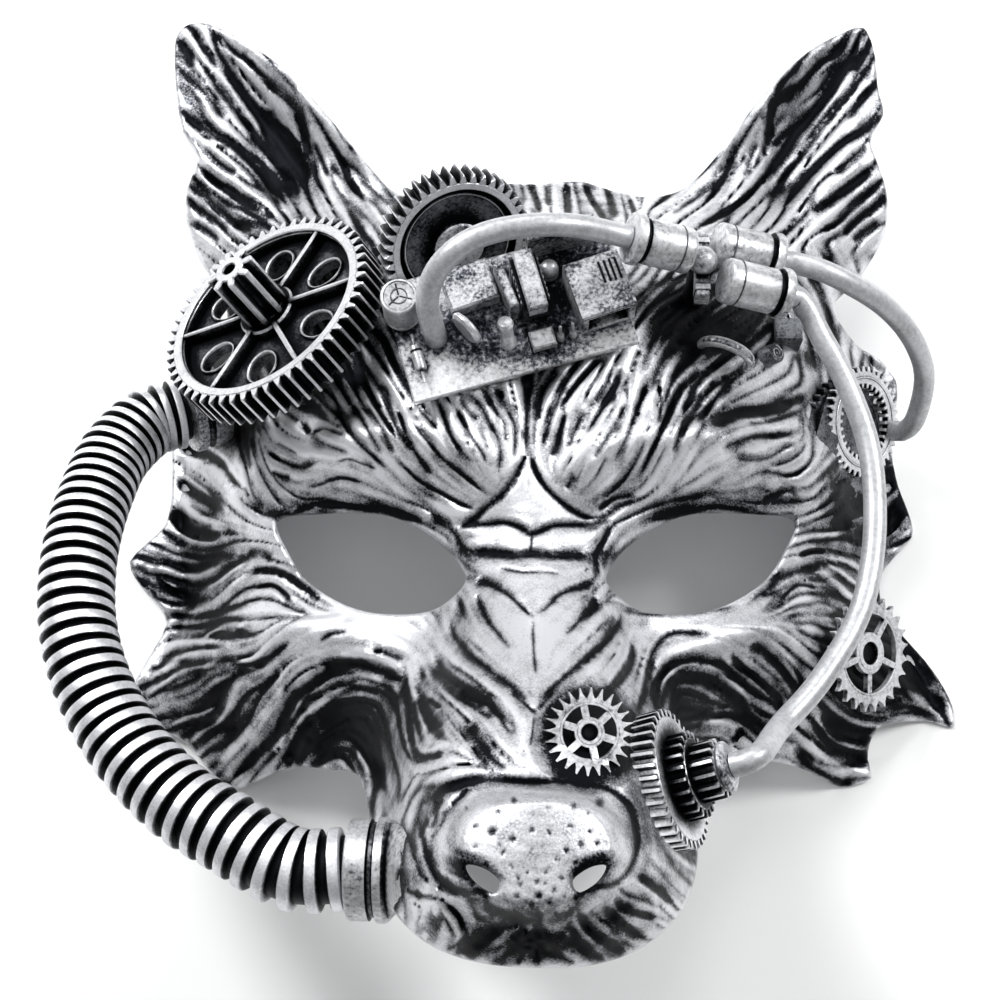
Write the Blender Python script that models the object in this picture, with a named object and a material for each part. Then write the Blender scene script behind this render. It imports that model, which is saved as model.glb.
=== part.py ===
"""A wolf half mask in the steampunk manner, for Blender 4.5.

A thin moulded face carries loose watch and clock wheels, a small circuit board, a three-way tube joint
and a ribbed hose. The mask lies face up on its rim: +Z is the way it faces, +Y points to the ears, +X is
the viewer's right, and the origin is under the middle of the whole mask. Metres throughout.
"""

import math

import bpy
import numpy as np
from mathutils import Matrix, Vector
from mathutils.geometry import delaunay_2d_cdt

# Sizes of the moulded face. Every table of places below holds shares of the first three, counted from the
# centre line, from the level of the eyes' outer corners and from the floor.
HALF_WIDTH = 0.100  # centre line to the rim at the temples
HALF_LENGTH = 0.125  # half the way from the lip to the ear tips
DEPTH = 0.125  # back of the rim to the top edge of the nose
WALL = 0.002
GAP = 0.0003  # clearance between two pieces that touch
PLAN_STEP = 0.0104  # spacing of the face's vertices
MUZZLE_STEP = 0.0068

# The nose pad, a soft block on the end of the muzzle.
NOSE_HALF_WIDTH = 0.0215
NOSE_HALF_LENGTH = 0.0145
NOSE_RISE = 0.0095

# Wheels: radii over the teeth, and widths.
LARGE_RADIUS = 0.0298
LARGE_WIDTH = 0.0095
PINION_RADIUS = 0.0066
PINION_LENGTH = 0.0150
CROWN_RADIUS = 0.0190
CROWN_WIDTH = 0.0070
TEMPLE_RADIUS = 0.0150
TEMPLE_WIDTH = 0.0022
BACK_WHEEL_RADIUS = 0.0165
BACK_WHEEL_WIDTH = 0.0030
CHEEK_RADIUS = 0.0152
MUZZLE_WHEEL_RADIUS = 0.0094
FLAT_WHEEL_WIDTH = 0.0016
SPOKE_HALF_WIDTH = 0.0008
STACK_RADIUS = 0.0157
STACK_WIDTH = 0.0056
TOOTH = 0.0019  # height of a clock tooth
POST_RADIUS = 0.0030

# The circuit board and what stands on it.
BOARD_LENGTH = 0.056
BOARD_WIDTH = 0.031
BOARD_THICKNESS = 0.0015
BOARD_TURN = math.radians(16)
CAN_RADIUS = 0.0045
CAN_HEIGHT = 0.0125
CAN = ((0.92, 0), (0.92, 0.12), (1, 0.16), (1, 0.94), (0.9, 1))  # radius in can radii, level in can heights
DIODE_RADIUS = 0.0015
DISC_RADIUS = 0.0047
BOARD_PIECE_SIDES = 10
# Round pieces, as (radius, height) rows from the foot up.
DIODE = ((0.0004, 0), (0.0004, 0.0030), (0.0014, 0.0034), (0.0014, 0.0094), (0.0004, 0.0098), (0.0004, 0.0125))
DISC = ((0.0026, -0.0011), (0.0046, -0.0008), (0.0046, 0.0008), (0.0026, 0.0011))
RESISTOR = (
    (0.0005, 0), (0.0005, 0.0016), (0.0017, 0.0022), (0.0020, 0.0034), (0.0017, 0.0046), (0.0017, 0.0086),
    (0.0020, 0.0098), (0.0016, 0.0110),
)
PIN = ((0.0009, 0), (0.0009, 0.0022), (0.0004, 0.0028), (0.0004, 0.0062))
DOME = ((0.0023, 0), (0.0023, 0.0032), (0.0019, 0.0043), (0.0010, 0.0050))
# Square pieces, as length, width and height, and what is added to or cut from two of them, as two corners.
COIL_SIZE = (0.0070, 0.0125, 0.0105)
COIL_FOLD = ((-0.0024, -0.0078, 0.0099), (0.0024, 0.0070, 0.0122))
WALL_SIZE = (0.0022, 0.0115, 0.0100)
CHIP_SIZE = (0.0062, 0.0046, 0.0036)
JACK_SIZE = (0.0135, 0.0145, 0.0105)
JACK_MOUTH = ((-0.0050, -0.0080, 0.0014), (0.0050, 0.0030, 0.0082))
BACK_PLATE_SIZE = (0.0175, 0.0024, 0.0125)
LOW_PLATE_SIZE = (0.0120, 0.0105, 0.0052)

# Tubes, the joint and the hose.
TUBE_RADIUS = 0.00275
TUBE_SPACING = 0.0105
TUBE_LEAD = 0.0030  # straight stretch at a tube's end
BARREL_RADIUS = 0.0050
FLANGE_RADIUS = 0.0060
LEFT_BARREL_LENGTH = 0.0155
RIGHT_BARREL_LENGTH = 0.0165
YOKE_SIZE = (0.0034, 0.0165, 0.0062)
BALL_RADIUS = 0.0035
HALF_RING_RADIUS = 0.0072
PLATE_SIZE = (0.0070, 0.0060)
HOSE_RADIUS = 0.0100
HOSE_GROOVE = 0.0011
HOSE_RINGS = 42
HOSE_SIDES = 7
COLLAR_RADIUS = 0.0112
COLLAR_LENGTH = 0.0085
SOCKET_LENGTH = 0.0095

# The rim, clockwise from the top of the forehead: ear, temple, cheek tufts, jaw, lip and back again.
# Columns: x in half widths, y in half lengths.
RIM = (
    (0.00, 0.76), (0.12, 0.768), (0.22, 0.736), (0.30, 0.712), (0.385, 0.72), (0.44, 0.752),
    (0.51, 0.816), (0.60, 0.912), (0.69, 1.00), (0.77, 1.064), (0.86, 1.108), (0.915, 1.12),
    (0.945, 1.06), (0.95, 0.99), (0.965, 0.93), (0.925, 0.864), (0.965, 0.78), (0.975, 0.708),
    (0.95, 0.644), (0.88, 0.56), (0.82, 0.512), (0.87, 0.468), (0.97, 0.43), (1.02, 0.384),
    (1.015, 0.32), (0.995, 0.24), (1.01, 0.136), (1.045, 0.036), (1.00, -0.016), (0.95, -0.064),
    (0.94, -0.128), (0.99, -0.192), (1.06, -0.26), (1.115, -0.336), (1.125, -0.40), (1.05, -0.388),
    (0.92, -0.404), (0.885, -0.456), (0.895, -0.51), (0.81, -0.528), (0.72, -0.504), (0.61, -0.488),
    (0.51, -0.504), (0.44, -0.536), (0.405, -0.60), (0.385, -0.66), (0.365, -0.728), (0.32, -0.808),
    (0.23, -0.872), (0.12, -0.904), (0.00, -0.909), (-0.12, -0.90), (-0.23, -0.868), (-0.32, -0.80),
    (-0.365, -0.72), (-0.39, -0.65), (-0.415, -0.584), (-0.45, -0.528), (-0.53, -0.512),
    (-0.61, -0.50), (-0.70, -0.512), (-0.81, -0.536), (-0.87, -0.50), (-0.96, -0.424),
    (-1.11, -0.404), (-1.08, -0.29), (-1.01, -0.176), (-1.065, -0.11), (-1.12, -0.036),
    (-1.03, 0.044), (-1.015, 0.128), (-1.02, 0.208), (-1.03, 0.30), (-1.01, 0.376), (-0.95, 0.44),
    (-0.86, 0.49), (-0.88, 0.55), (-0.935, 0.62), (-0.97, 0.70), (-0.965, 0.77), (-0.935, 0.824),
    (-0.98, 0.888), (-1.00, 0.968), (-1.01, 1.05), (-1.005, 1.12), (-0.95, 1.14), (-0.84, 1.10),
    (-0.72, 1.024), (-0.62, 0.936), (-0.53, 0.848), (-0.45, 0.772), (-0.38, 0.72), (-0.29, 0.704),
    (-0.20, 0.732), (-0.11, 0.76),
)

# The eye opening on the right, mirrored for the left. Columns as in RIM.
EYE = (
    (0.167, -0.185), (0.20, -0.218), (0.26, -0.234), (0.366, -0.232), (0.47, -0.208), (0.577, -0.148),
    (0.635, -0.08), (0.668, -0.012), (0.57, -0.010), (0.45, -0.018), (0.36, -0.034), (0.27, -0.076),
    (0.205, -0.124),
)

# The nostril on the right, mirrored for the left. Columns as in RIM.
NOSTRIL = ((0.072, -0.778), (0.085, -0.796), (0.122, -0.778), (0.138, -0.754), (0.105, -0.758))

# Cross sections of the face, from the ear tips down to the lip.
# Columns: y in half lengths, height on the centre line, then x and height of the shoulder, the slope,
# the cheek and the rim, with x in half widths and heights in depths.
SECTIONS = (
    (1.128, 0.27, 0.40, 0.28, 0.60, 0.29, 0.85, 0.30, 1.00, 0.26),
    (0.84, 0.24, 0.30, 0.25, 0.45, 0.30, 0.72, 0.29, 0.98, 0.23),
    (0.76, 0.25, 0.28, 0.25, 0.44, 0.30, 0.72, 0.285, 0.97, 0.21),
    (0.688, 0.32, 0.28, 0.31, 0.46, 0.32, 0.72, 0.295, 0.97, 0.18),
    (0.60, 0.42, 0.25, 0.40, 0.50, 0.37, 0.73, 0.29, 0.95, 0.15),
    (0.48, 0.49, 0.25, 0.47, 0.50, 0.40, 0.70, 0.27, 0.90, 0.07),
    (0.36, 0.54, 0.24, 0.52, 0.46, 0.45, 0.70, 0.29, 0.99, 0.00),
    (0.24, 0.57, 0.24, 0.545, 0.46, 0.465, 0.70, 0.30, 0.99, 0.00),
    (0.12, 0.585, 0.22, 0.56, 0.44, 0.475, 0.68, 0.32, 1.00, 0.00),
    (0.00, 0.575, 0.16, 0.535, 0.36, 0.42, 0.66, 0.295, 1.00, 0.00),
    (-0.08, 0.57, 0.14, 0.525, 0.31, 0.425, 0.63, 0.305, 0.98, 0.00),
    (-0.176, 0.60, 0.13, 0.55, 0.26, 0.44, 0.55, 0.335, 0.99, 0.00),
    (-0.256, 0.65, 0.13, 0.595, 0.27, 0.44, 0.52, 0.36, 1.04, 0.00),
    (-0.336, 0.71, 0.13, 0.655, 0.27, 0.47, 0.58, 0.31, 1.09, 0.00),
    (-0.416, 0.785, 0.14, 0.725, 0.28, 0.54, 0.48, 0.30, 1.04, 0.00),
    (-0.48, 0.84, 0.15, 0.785, 0.28, 0.60, 0.43, 0.28, 0.90, 0.00),
    (-0.544, 0.885, 0.16, 0.845, 0.28, 0.67, 0.37, 0.38, 0.80, 0.00),
    (-0.608, 0.92, 0.17, 0.88, 0.28, 0.70, 0.37, 0.45, 0.60, 0.08),
    (-0.672, 0.945, 0.18, 0.90, 0.28, 0.745, 0.36, 0.51, 0.50, 0.24),
    (-0.736, 0.95, 0.19, 0.91, 0.29, 0.77, 0.36, 0.58, 0.46, 0.36),
    (-0.80, 0.945, 0.18, 0.905, 0.27, 0.78, 0.33, 0.65, 0.42, 0.46),
    (-0.856, 0.905, 0.14, 0.88, 0.22, 0.80, 0.29, 0.71, 0.38, 0.54),
    (-0.92, 0.83, 0.08, 0.82, 0.14, 0.79, 0.21, 0.74, 0.30, 0.62),
)

# Swellings and hollows, mirrored to both sides of the face.
# Columns: x in half widths, y in half lengths, long and short radius in half widths, turn of the long
# radius from the x axis in degrees, and rise in depths.
FORMS = (
    (0.36, 0.070, 0.36, 0.12, 12, 0.045),  # brow ridge
    (0.13, 0.030, 0.14, 0.10, 60, 0.025),  # inner knot of the brow
    (0.72, 0.110, 0.20, 0.12, -48, 0.035),  # outer roll of the brow
    (0.43, -0.290, 0.32, 0.08, 17, 0.022),  # bag under the eye
    (0.72, -0.210, 0.24, 0.14, 25, 0.030),  # cheekbone
    (0.47, -0.400, 0.18, 0.12, 10, -0.035),  # hollow of the cheek
    (0.20, 0.250, 0.32, 0.19, 70, 0.026),  # forehead lobe
    (0.00, 0.220, 0.36, 0.07, 90, -0.022),  # crease between the lobes
    (0.74, 0.880, 0.40, 0.13, 66, -0.060),  # hollow of the ear
    (0.63, 0.930, 0.40, 0.08, 45, 0.045),  # inner edge of the ear
    (0.26, -0.800, 0.16, 0.11, 90, 0.025),  # lip over the side teeth
    (0.24, -0.130, 0.12, 0.08, 50, -0.020),  # inner corner of the eye
)

# The hose from the temple socket to the muzzle collar. Columns: x in half widths, y in half lengths,
# z in depths.
HOSE_ROUTE = (
    (-0.935, 0.235, 0.24), (-1.02, 0.205, 0.265), (-1.085, 0.12, 0.315), (-1.11, 0.02, 0.37),
    (-1.12, -0.08, 0.42), (-1.115, -0.18, 0.46), (-1.095, -0.28, 0.488), (-1.05, -0.38, 0.51),
    (-0.98, -0.475, 0.53), (-0.90, -0.55, 0.555), (-0.80, -0.62, 0.58), (-0.69, -0.672, 0.60),
    (-0.57, -0.708, 0.618),
)

# The three smooth tubes, without their ends. Columns as in HOSE_ROUTE.
LINK_ROUTE = (
    (-0.255, 0.28, 0.70), (-0.252, 0.303, 0.765), (-0.222, 0.338, 0.81), (-0.16, 0.372, 0.835),
    (-0.09, 0.392, 0.84), (0.00, 0.404, 0.835), (0.09, 0.412, 0.815),
)
OUTER_ROUTE = (
    (0.69, 0.418, 0.595), (0.77, 0.40, 0.56), (0.855, 0.382, 0.51), (0.935, 0.355, 0.44),
    (0.99, 0.325, 0.365), (1.025, 0.29, 0.28),
)
INNER_ROUTE = (
    (0.665, 0.295, 0.615), (0.715, 0.235, 0.60), (0.755, 0.165, 0.587), (0.79, 0.088, 0.577),
    (0.804, 0.018, 0.573), (0.803, -0.10, 0.573), (0.78, -0.21, 0.577), (0.745, -0.285, 0.585),
    (0.69, -0.355, 0.60), (0.62, -0.43, 0.62), (0.55, -0.485, 0.64),
)

# Finishes: colour, metallic value and roughness.
SILVER = ("antique_silver", (0.52, 0.53, 0.55, 1.0), 0.75, 0.42)
PALE_SILVER = ("pale_silver", (0.66, 0.67, 0.69, 1.0), 0.70, 0.38)
DARK_SILVER = ("dark_silver", (0.30, 0.31, 0.33, 1.0), 0.70, 0.45)


def spot(x, y, z):
    """A point of the tables, given in shares, as a place in metres."""
    return Vector((x * HALF_WIDTH, y * HALF_LENGTH, z * DEPTH))


def monotone(knots, values, at):
    """Read a smooth curve that doesn't overshoot. Knots and values are (K, N) arrays, at is (N,)."""
    knots, values = np.broadcast_arrays(knots, values)
    step = np.diff(knots, axis=0)
    grade = np.diff(values, axis=0) / step
    product = grade[:-1] * grade[1:]
    total = np.where(product > 0, grade[:-1] + grade[1:], 1.0)
    slope = np.zeros(values.shape)
    slope[1:-1] = np.where(product > 0, 2 * product / total, 0.0)
    slope[-1] = grade[-1]
    cell = np.clip((at >= knots[1:-1]).sum(axis=0), 0, len(step) - 1)
    column = np.arange(len(at))
    width, low, high = step[cell, column], values[cell, column], values[cell + 1, column]
    t = np.clip((at - knots[cell, column]) / width, 0, 1)
    start, end = slope[cell, column] * width, slope[cell + 1, column] * width
    ease = t * t * (3 - 2 * t)
    return low + (high - low) * ease + t * (1 - t) * (start * (1 - t) - end * t)


def sections_at(y):
    """Each column of SECTIONS at the places y, as a (columns, N) array."""
    rows = np.array(SECTIONS)[::-1]
    knots = np.repeat(rows[:, :1], len(y), axis=1)
    columns = [monotone(knots, rows[:, i : i + 1], y) for i in range(1, rows.shape[1])]
    return np.array(columns)


def swelling(x, y, form):
    """One row of FORMS, as a rise at the points x, y in metres."""
    centre_x, centre_y, long_radius, short_radius, turn, rise = form
    dx, dy = x - centre_x * HALF_WIDTH, y - centre_y * HALF_LENGTH
    cos, sin = math.cos(math.radians(turn)), math.sin(math.radians(turn))
    along = (dx * cos + dy * sin) / (long_radius * HALF_WIDTH)
    across = (dy * cos - dx * sin) / (short_radius * HALF_WIDTH)
    return rise * DEPTH * np.clip(1 - along**2 - across**2, 0, 1) ** 2


def nose_pad(x, y):
    """The rise of the nose pad, a rounded rectangle in plan."""
    dx, dy = x / NOSE_HALF_WIDTH, (y - NOSE_PLACE.y) / NOSE_HALF_LENGTH
    reach = (np.abs(dx) ** 2.6 + np.abs(dy) ** 2.6) ** (1 / 2.6)
    t = np.clip((1 - reach) / 0.34, 0, 1)
    return NOSE_RISE * t * t * (3 - 2 * t)


def height(x, y):
    """Height of the outside of the face over the plan points x, y, in metres."""
    side = np.abs(x)
    columns = sections_at(y / HALF_LENGTH)
    middle = np.zeros((1, len(x)))
    knots = np.concatenate([middle, columns[1::2]])
    levels = np.concatenate([columns[:1], columns[2::2]])
    level = monotone(knots, levels, side / HALF_WIDTH) * DEPTH
    for form in FORMS:
        level = level + swelling(side, y, form)
    return np.maximum(level + nose_pad(x, y), WALL)


def height_at(x, y):
    """Height of the outside of the face over one plan point."""
    return float(height(np.array([x]), np.array([y]))[0])


def on_face(x, y, rise=0.0):
    """The place over plan point x, y, given in shares, that lies rise above the face."""
    at = spot(x, y, 0)
    return Vector((at.x, at.y, height_at(at.x, at.y) + rise))


def rounded(rows, scale_x, scale_y):
    """A ring through the rows with one point added on each span, bent as its neighbours ask."""
    points = np.array(rows) * (scale_x, scale_y)
    before, after, beyond = (np.roll(points, shift, axis=0) for shift in (1, -1, -2))
    middle = (9 * (points + after) - before - beyond) / 16
    return np.stack([points, middle], axis=1).reshape(-1, 2)


def inside(ring, points):
    """Which of the points lie inside the ring."""
    x, y = points[:, :1], points[:, 1:]
    ax, ay = ring[:, 0], ring[:, 1]
    bx, by = np.roll(ax, -1), np.roll(ay, -1)
    run = np.where(by == ay, 1.0, by - ay)
    crossed = ((ay > y) != (by > y)) & (x < ax + (y - ay) * (bx - ax) / run)
    return crossed.sum(axis=1) % 2 == 1


def clearance(ring, points):
    """Distance from each of the points to the ring."""
    start, along = ring, np.roll(ring, -1, axis=0) - ring
    offset = points[:, None, :] - start
    t = np.clip((offset * along).sum(axis=2) / (along**2).sum(axis=1), 0, 1)
    return np.linalg.norm(offset - t[..., None] * along, axis=2).min(axis=1)


def spread(points, ring, distance):
    """The points, with those on the ring moved outwards by a distance."""
    along = np.roll(ring, -1, axis=0) - np.roll(ring, 1, axis=0)
    outward = np.column_stack([-along[:, 1], along[:, 0]]) / np.linalg.norm(along, axis=1)[:, None]
    moved = points.copy()
    for corner, way in zip(ring, outward):
        moved[np.linalg.norm(points - corner, axis=1) < GAP / 10] = corner + distance * way
    return moved


def triangulated(rings, inner=()):
    """Plan points and the triangles inside the first ring, facing up, with their centres."""
    corners, edges = [], []
    for ring in rings:
        first, count = len(corners), len(ring)
        edges += [(first + i, first + (i + 1) % count) for i in range(count)]
        corners += [Vector(point) for point in ring]
    corners += [Vector(point) for point in inner]
    points, _, triangles, *_ = delaunay_2d_cdt(corners, edges, [], 0, 1e-7)
    points, triangles = np.array(points), np.array(triangles)
    a, b, c = (points[triangles[:, i]] for i in range(3))
    turned = np.cross(b - a, c - a) < 0
    triangles[turned] = triangles[turned][:, ::-1]
    centres = (a + b + c) / 3
    kept = inside(rings[0], centres)
    return points, triangles[kept], centres[kept]


def slab(points, triangles, top, bottom):
    """A solid between two heights over a triangulated plan, as vertices and faces."""
    used, index = np.unique(triangles, return_inverse=True)
    triangles, points = index.reshape(-1, 3), points[used]
    top, bottom = (np.broadcast_to(level, len(points)) if np.ndim(level) == 0 else level[used]
                   for level in (top, bottom))
    count = len(points)
    verts = np.concatenate([np.column_stack([points, top]), np.column_stack([points, bottom])])
    edges = {(a, b) for t in triangles.tolist() for a, b in ((t[0], t[1]), (t[1], t[2]), (t[2], t[0]))}
    walls = [(b, a, a + count, b + count) for a, b in sorted(edges) if (b, a) not in edges]
    faces = triangles.tolist() + (triangles[:, ::-1] + count).tolist() + walls
    return verts.tolist(), faces


def finish_of(look):
    """The material of a finish, made once."""
    name, colour, metallic, roughness = look
    material = bpy.data.materials.get(name)
    if material is None:
        material = bpy.data.materials.new(name)
        material.use_nodes = True
        shader = material.node_tree.nodes["Principled BSDF"]
        shader.inputs["Base Color"].default_value = colour
        shader.inputs["Metallic"].default_value = metallic
        shader.inputs["Roughness"].default_value = roughness
    return material


def add(name, look, shape, place=Matrix.Identity(4), smooth=35):
    """A new object from vertices and faces, standing at place."""
    mesh = bpy.data.meshes.new(name)
    mesh.from_pydata(shape[0], [], shape[1])
    mesh.shade_smooth()
    mesh.set_sharp_from_angle(angle=math.radians(smooth))
    mesh.materials.append(finish_of(look).copy())
    mesh.materials[0].name = name
    body = bpy.data.objects.new(name, mesh)
    bpy.context.scene.collection.objects.link(body)
    body.matrix_world = place
    return body


def combine(body, others, operation):
    """Join the others to the body, or cut them from it, and remove them if they were joined."""
    for other in others:
        step = body.modifiers.new(operation.lower(), "BOOLEAN")
        step.operation = operation
        step.solver = "EXACT"
        step.object = other
    bpy.context.view_layer.update()
    graph = bpy.context.evaluated_depsgraph_get()
    mesh = bpy.data.meshes.new_from_object(body.evaluated_get(graph))
    body.modifiers.clear()
    body.data = mesh
    if operation == "UNION":
        for other in others:
            bpy.data.objects.remove(other)
    return body


def circle(radius, sides, turn=0.0):
    """A ring of points on a circle."""
    angle = 2 * math.pi * np.arange(sides) / sides + turn
    return radius * np.column_stack([np.cos(angle), np.sin(angle)])


def toothed(teeth, tip, tooth, land=0.0):
    """The outline of a toothed wheel. The land is the flat share of a tooth; a tooth with none is pointed."""
    pitch = 2 * math.pi / teeth
    corners = [(-0.5 * land, tip), (0.5 * land, tip), (0.5, tip - tooth)]
    if not land:
        del corners[0]
    rows = [(radius, pitch * (i + share)) for i in range(teeth) for share, radius in corners]
    return np.array([(radius * math.cos(angle), radius * math.sin(angle)) for radius, angle in rows])


def prism(rings, low, high):
    """A plate between two heights with the later rings as holes through it."""
    points, triangles, centres = triangulated(rings)
    for hole in rings[1:]:
        kept = ~inside(hole, centres)
        triangles, centres = triangles[kept], centres[kept]
    return slab(points, triangles, high, low)


def block(low, high):
    """A box between two corners."""
    ring = np.array([(low[0], low[1]), (high[0], low[1]), (high[0], high[1]), (low[0], high[1])])
    return prism([ring], low[2], high[2])


def turned(profile, sides):
    """A solid of revolution about Z. The profile is (radius, height) rows from its foot to its top."""
    verts, faces = [(0, 0, profile[0][1])], []
    for radius, level in profile:
        verts += [(x, y, level) for x, y in circle(radius, sides)]
    verts.append((0, 0, profile[-1][1]))
    for i in range(sides):
        j = (i + 1) % sides
        faces.append((0, 1 + j, 1 + i))
        for row in range(len(profile) - 1):
            low = 1 + row * sides
            faces.append((low + i, low + j, low + sides + j, low + sides + i))
        last = 1 + (len(profile) - 1) * sides
        faces.append((last + i, last + j, len(verts) - 1))
    return verts, faces


def towards(place, axis, spin=0.0):
    """A placement at place whose Z axis lies along axis, turned by spin about it."""
    turn = Vector(axis).to_track_quat("Z", "Y").to_matrix().to_4x4()
    return Matrix.Translation(place) @ turn @ Matrix.Rotation(spin, 4, "Z")


def smooth_route(points, spacing):
    """Points at an even spacing along a smooth curve through the given ones."""
    rows = np.array([tuple(point) for point in points])
    rows = np.concatenate([[2 * rows[0] - rows[1]], rows, [2 * rows[-1] - rows[-2]]])
    t = np.linspace(0, 1, 12, endpoint=False)[:, None]
    fine = []
    for a, b, c, d in zip(rows, rows[1:], rows[2:], rows[3:]):
        fine.append(b + 0.5 * t * (c - a + t * (2 * a - 5 * b + 4 * c - d + t * (3 * (b - c) + d - a))))
    fine = np.concatenate([*fine, rows[-2:-1]])
    reach = np.concatenate([[0], np.cumsum(np.linalg.norm(np.diff(fine, axis=0), axis=1))])
    count = max(2, round(reach[-1] / spacing) + 1)
    even = np.linspace(0, reach[-1], count)
    return np.column_stack([np.interp(even, reach, fine[:, i]) for i in range(3)])


def add_tube(name, look, points):
    """A smooth tube along a route, as a curve with a round bevel and closed ends."""
    curve = bpy.data.curves.new(name, "CURVE")
    curve.dimensions = "3D"
    curve.bevel_depth = TUBE_RADIUS
    curve.bevel_resolution = 2
    curve.use_fill_caps = True
    route = [points[0], *smooth_route(points[1:-1], TUBE_SPACING), points[-1]]
    spline = curve.splines.new("POLY")
    spline.points.add(len(route) - 1)
    for point, place in zip(spline.points, route):
        point.co = (*place, 1)
    curve.materials.append(finish_of(look).copy())
    curve.materials[0].name = name
    tube = bpy.data.objects.new(name, curve)
    bpy.context.scene.collection.objects.link(tube)
    return tube


def leads(end, axis):
    """The first points of a tube that leaves its end square, along the axis."""
    return [end + reach * TUBE_LEAD * axis for reach in (0, 1, 2)]


def ribbed(points, radius, groove, rings, sides):
    """A ribbed hose along a route: two loops for each ring, one on its crest and one in its groove."""
    length = sum((Vector(b) - Vector(a)).length for a, b in zip(points, points[1:]))
    route = smooth_route(points, length / (2 * rings))
    tangents = np.gradient(route, axis=0)
    tangents /= np.linalg.norm(tangents, axis=1)[:, None]
    side = np.cross(tangents[0], (0, 0, 1))
    verts, faces = [tuple(route[0])], []
    for i, (centre, along) in enumerate(zip(route, tangents)):
        side = side - along * side.dot(along)
        side /= np.linalg.norm(side)
        other = np.cross(along, side)
        reach = radius - groove * (i % 2)
        verts += [tuple(centre + x * side + y * other) for x, y in circle(reach, sides)]
    verts.append(tuple(route[-1]))
    for i in range(sides):
        j = (i + 1) % sides
        faces.append((0, 1 + j, 1 + i))
        for low in range(1, 1 + (len(route) - 1) * sides, sides):
            faces.append((low + i, low + j, low + sides + j, low + sides + i))
        last = 1 + (len(route) - 1) * sides
        faces.append((last + i, last + j, len(verts) - 1))
    return verts, faces


def mirrored(rows):
    """The rows of the other side of the face."""
    return [(-x, y) for x, y in rows]


def plan_points(rings):
    """Free points of the face's mesh: closer together on the muzzle, and clear of every ring."""
    grids = []
    for step, on_muzzle in ((PLAN_STEP, False), (MUZZLE_STEP, True)):
        rows = np.arange(-HALF_LENGTH, 1.2 * HALF_LENGTH, step * math.sqrt(0.75))
        columns = np.arange(0, 1.2 * HALF_WIDTH, step)
        half = [(x + (row % 2) * step / 2, y) for row, y in enumerate(rows) for x in columns]
        grid = np.array(half + [(-x, y) for x, y in half if x > 0])
        muzzle = (np.abs(grid[:, 0]) < MUZZLE_REACH.x) & (grid[:, 1] < MUZZLE_REACH.y)
        grid = grid[muzzle == on_muzzle]
        kept = inside(rings[0], grid)
        for ring in rings:
            kept &= clearance(ring, grid) > 0.55 * step
        grids.append(grid[kept])
    return np.concatenate(grids)


def add_face():
    """The moulded face with its eye and nostril openings, and the filled ground below its outside."""
    rim = rounded(RIM, HALF_WIDTH, HALF_LENGTH)
    holes = [rounded(rows, HALF_WIDTH, HALF_LENGTH) for rows in (EYE, mirrored(EYE))]
    holes += [np.array(rows) * (HALF_WIDTH, HALF_LENGTH) for rows in (NOSTRIL, mirrored(NOSTRIL))]
    points, triangles, centres = triangulated([rim, *holes], plan_points([rim, *holes]))
    x, y = points.T
    top = height(x, y)
    probe = 0.001
    lean = np.hypot(height(x + probe, y) - height(x - probe, y), height(x, y + probe) - height(x, y - probe))
    lean = np.sqrt(1 + np.minimum(lean / (2 * probe), 5) ** 2)
    ground = add("ground", SILVER, slab(spread(points, rim, 1.3 * GAP), triangles, top + GAP * lean, -DEPTH))
    ground.hide_render = True
    ground.display_type = "WIRE"
    for hole in holes:
        kept = ~inside(hole, centres)
        triangles, centres = triangles[kept], centres[kept]
    face = add("mask_shell", SILVER, slab(points, triangles, top, np.maximum(top - WALL * lean, 0)), smooth=60)
    return face, ground


def add_large_wheel(ground):
    """The large wheel: a toothed rim, six ribs, a web with six holes, and a long eight-leaf pinion."""
    place = towards(LARGE_PLACE, LARGE_AXIS, math.radians(10))
    tooth = 1.25 * TOOTH
    bore = LARGE_RADIUS - tooth - 0.0024
    rim = add("large_wheel", SILVER, prism(
        [toothed(54, LARGE_RADIUS, tooth), circle(bore, 20)], -LARGE_WIDTH, 0), place)
    holes = []
    for i in range(6):
        centre = Matrix.Rotation(math.radians(60 * i + 30), 2) @ Vector((0.6 * LARGE_RADIUS, 0))
        holes.append(circle(0.0041, 7) + np.array(centre))
    web_low, web_high = -0.75 * LARGE_WIDTH, -0.35 * LARGE_WIDTH
    parts = [add("web", SILVER, prism([circle(bore + 0.0010, 18), *holes], web_low, web_high), place)]
    for i in range(3):
        rib = block((-bore - 0.0006, -0.0007, web_high - 0.0008), (bore + 0.0006, 0.0007, -0.0004))
        parts.append(add("rib", SILVER, rib, place @ Matrix.Rotation(math.radians(60 * i), 4, "Z")))
    hub = [(0.0078, web_low - 0.0006), (0.0078, -0.0009)]
    parts.append(add("hub", SILVER, turned(hub, 12), place))
    leaf = prism([toothed(8, PINION_RADIUS, 0.0024, 0.3), circle(0.0018, 8)], -0.002, PINION_LENGTH)
    parts.append(add("pinion", SILVER, leaf, place))
    post = [(POST_RADIUS, -DEPTH), (POST_RADIUS, web_high - 0.001)]
    parts.append(add("post", SILVER, turned(post, 10), place))
    combine(rim, parts, "UNION")
    return combine(rim, [ground], "DIFFERENCE")


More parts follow.
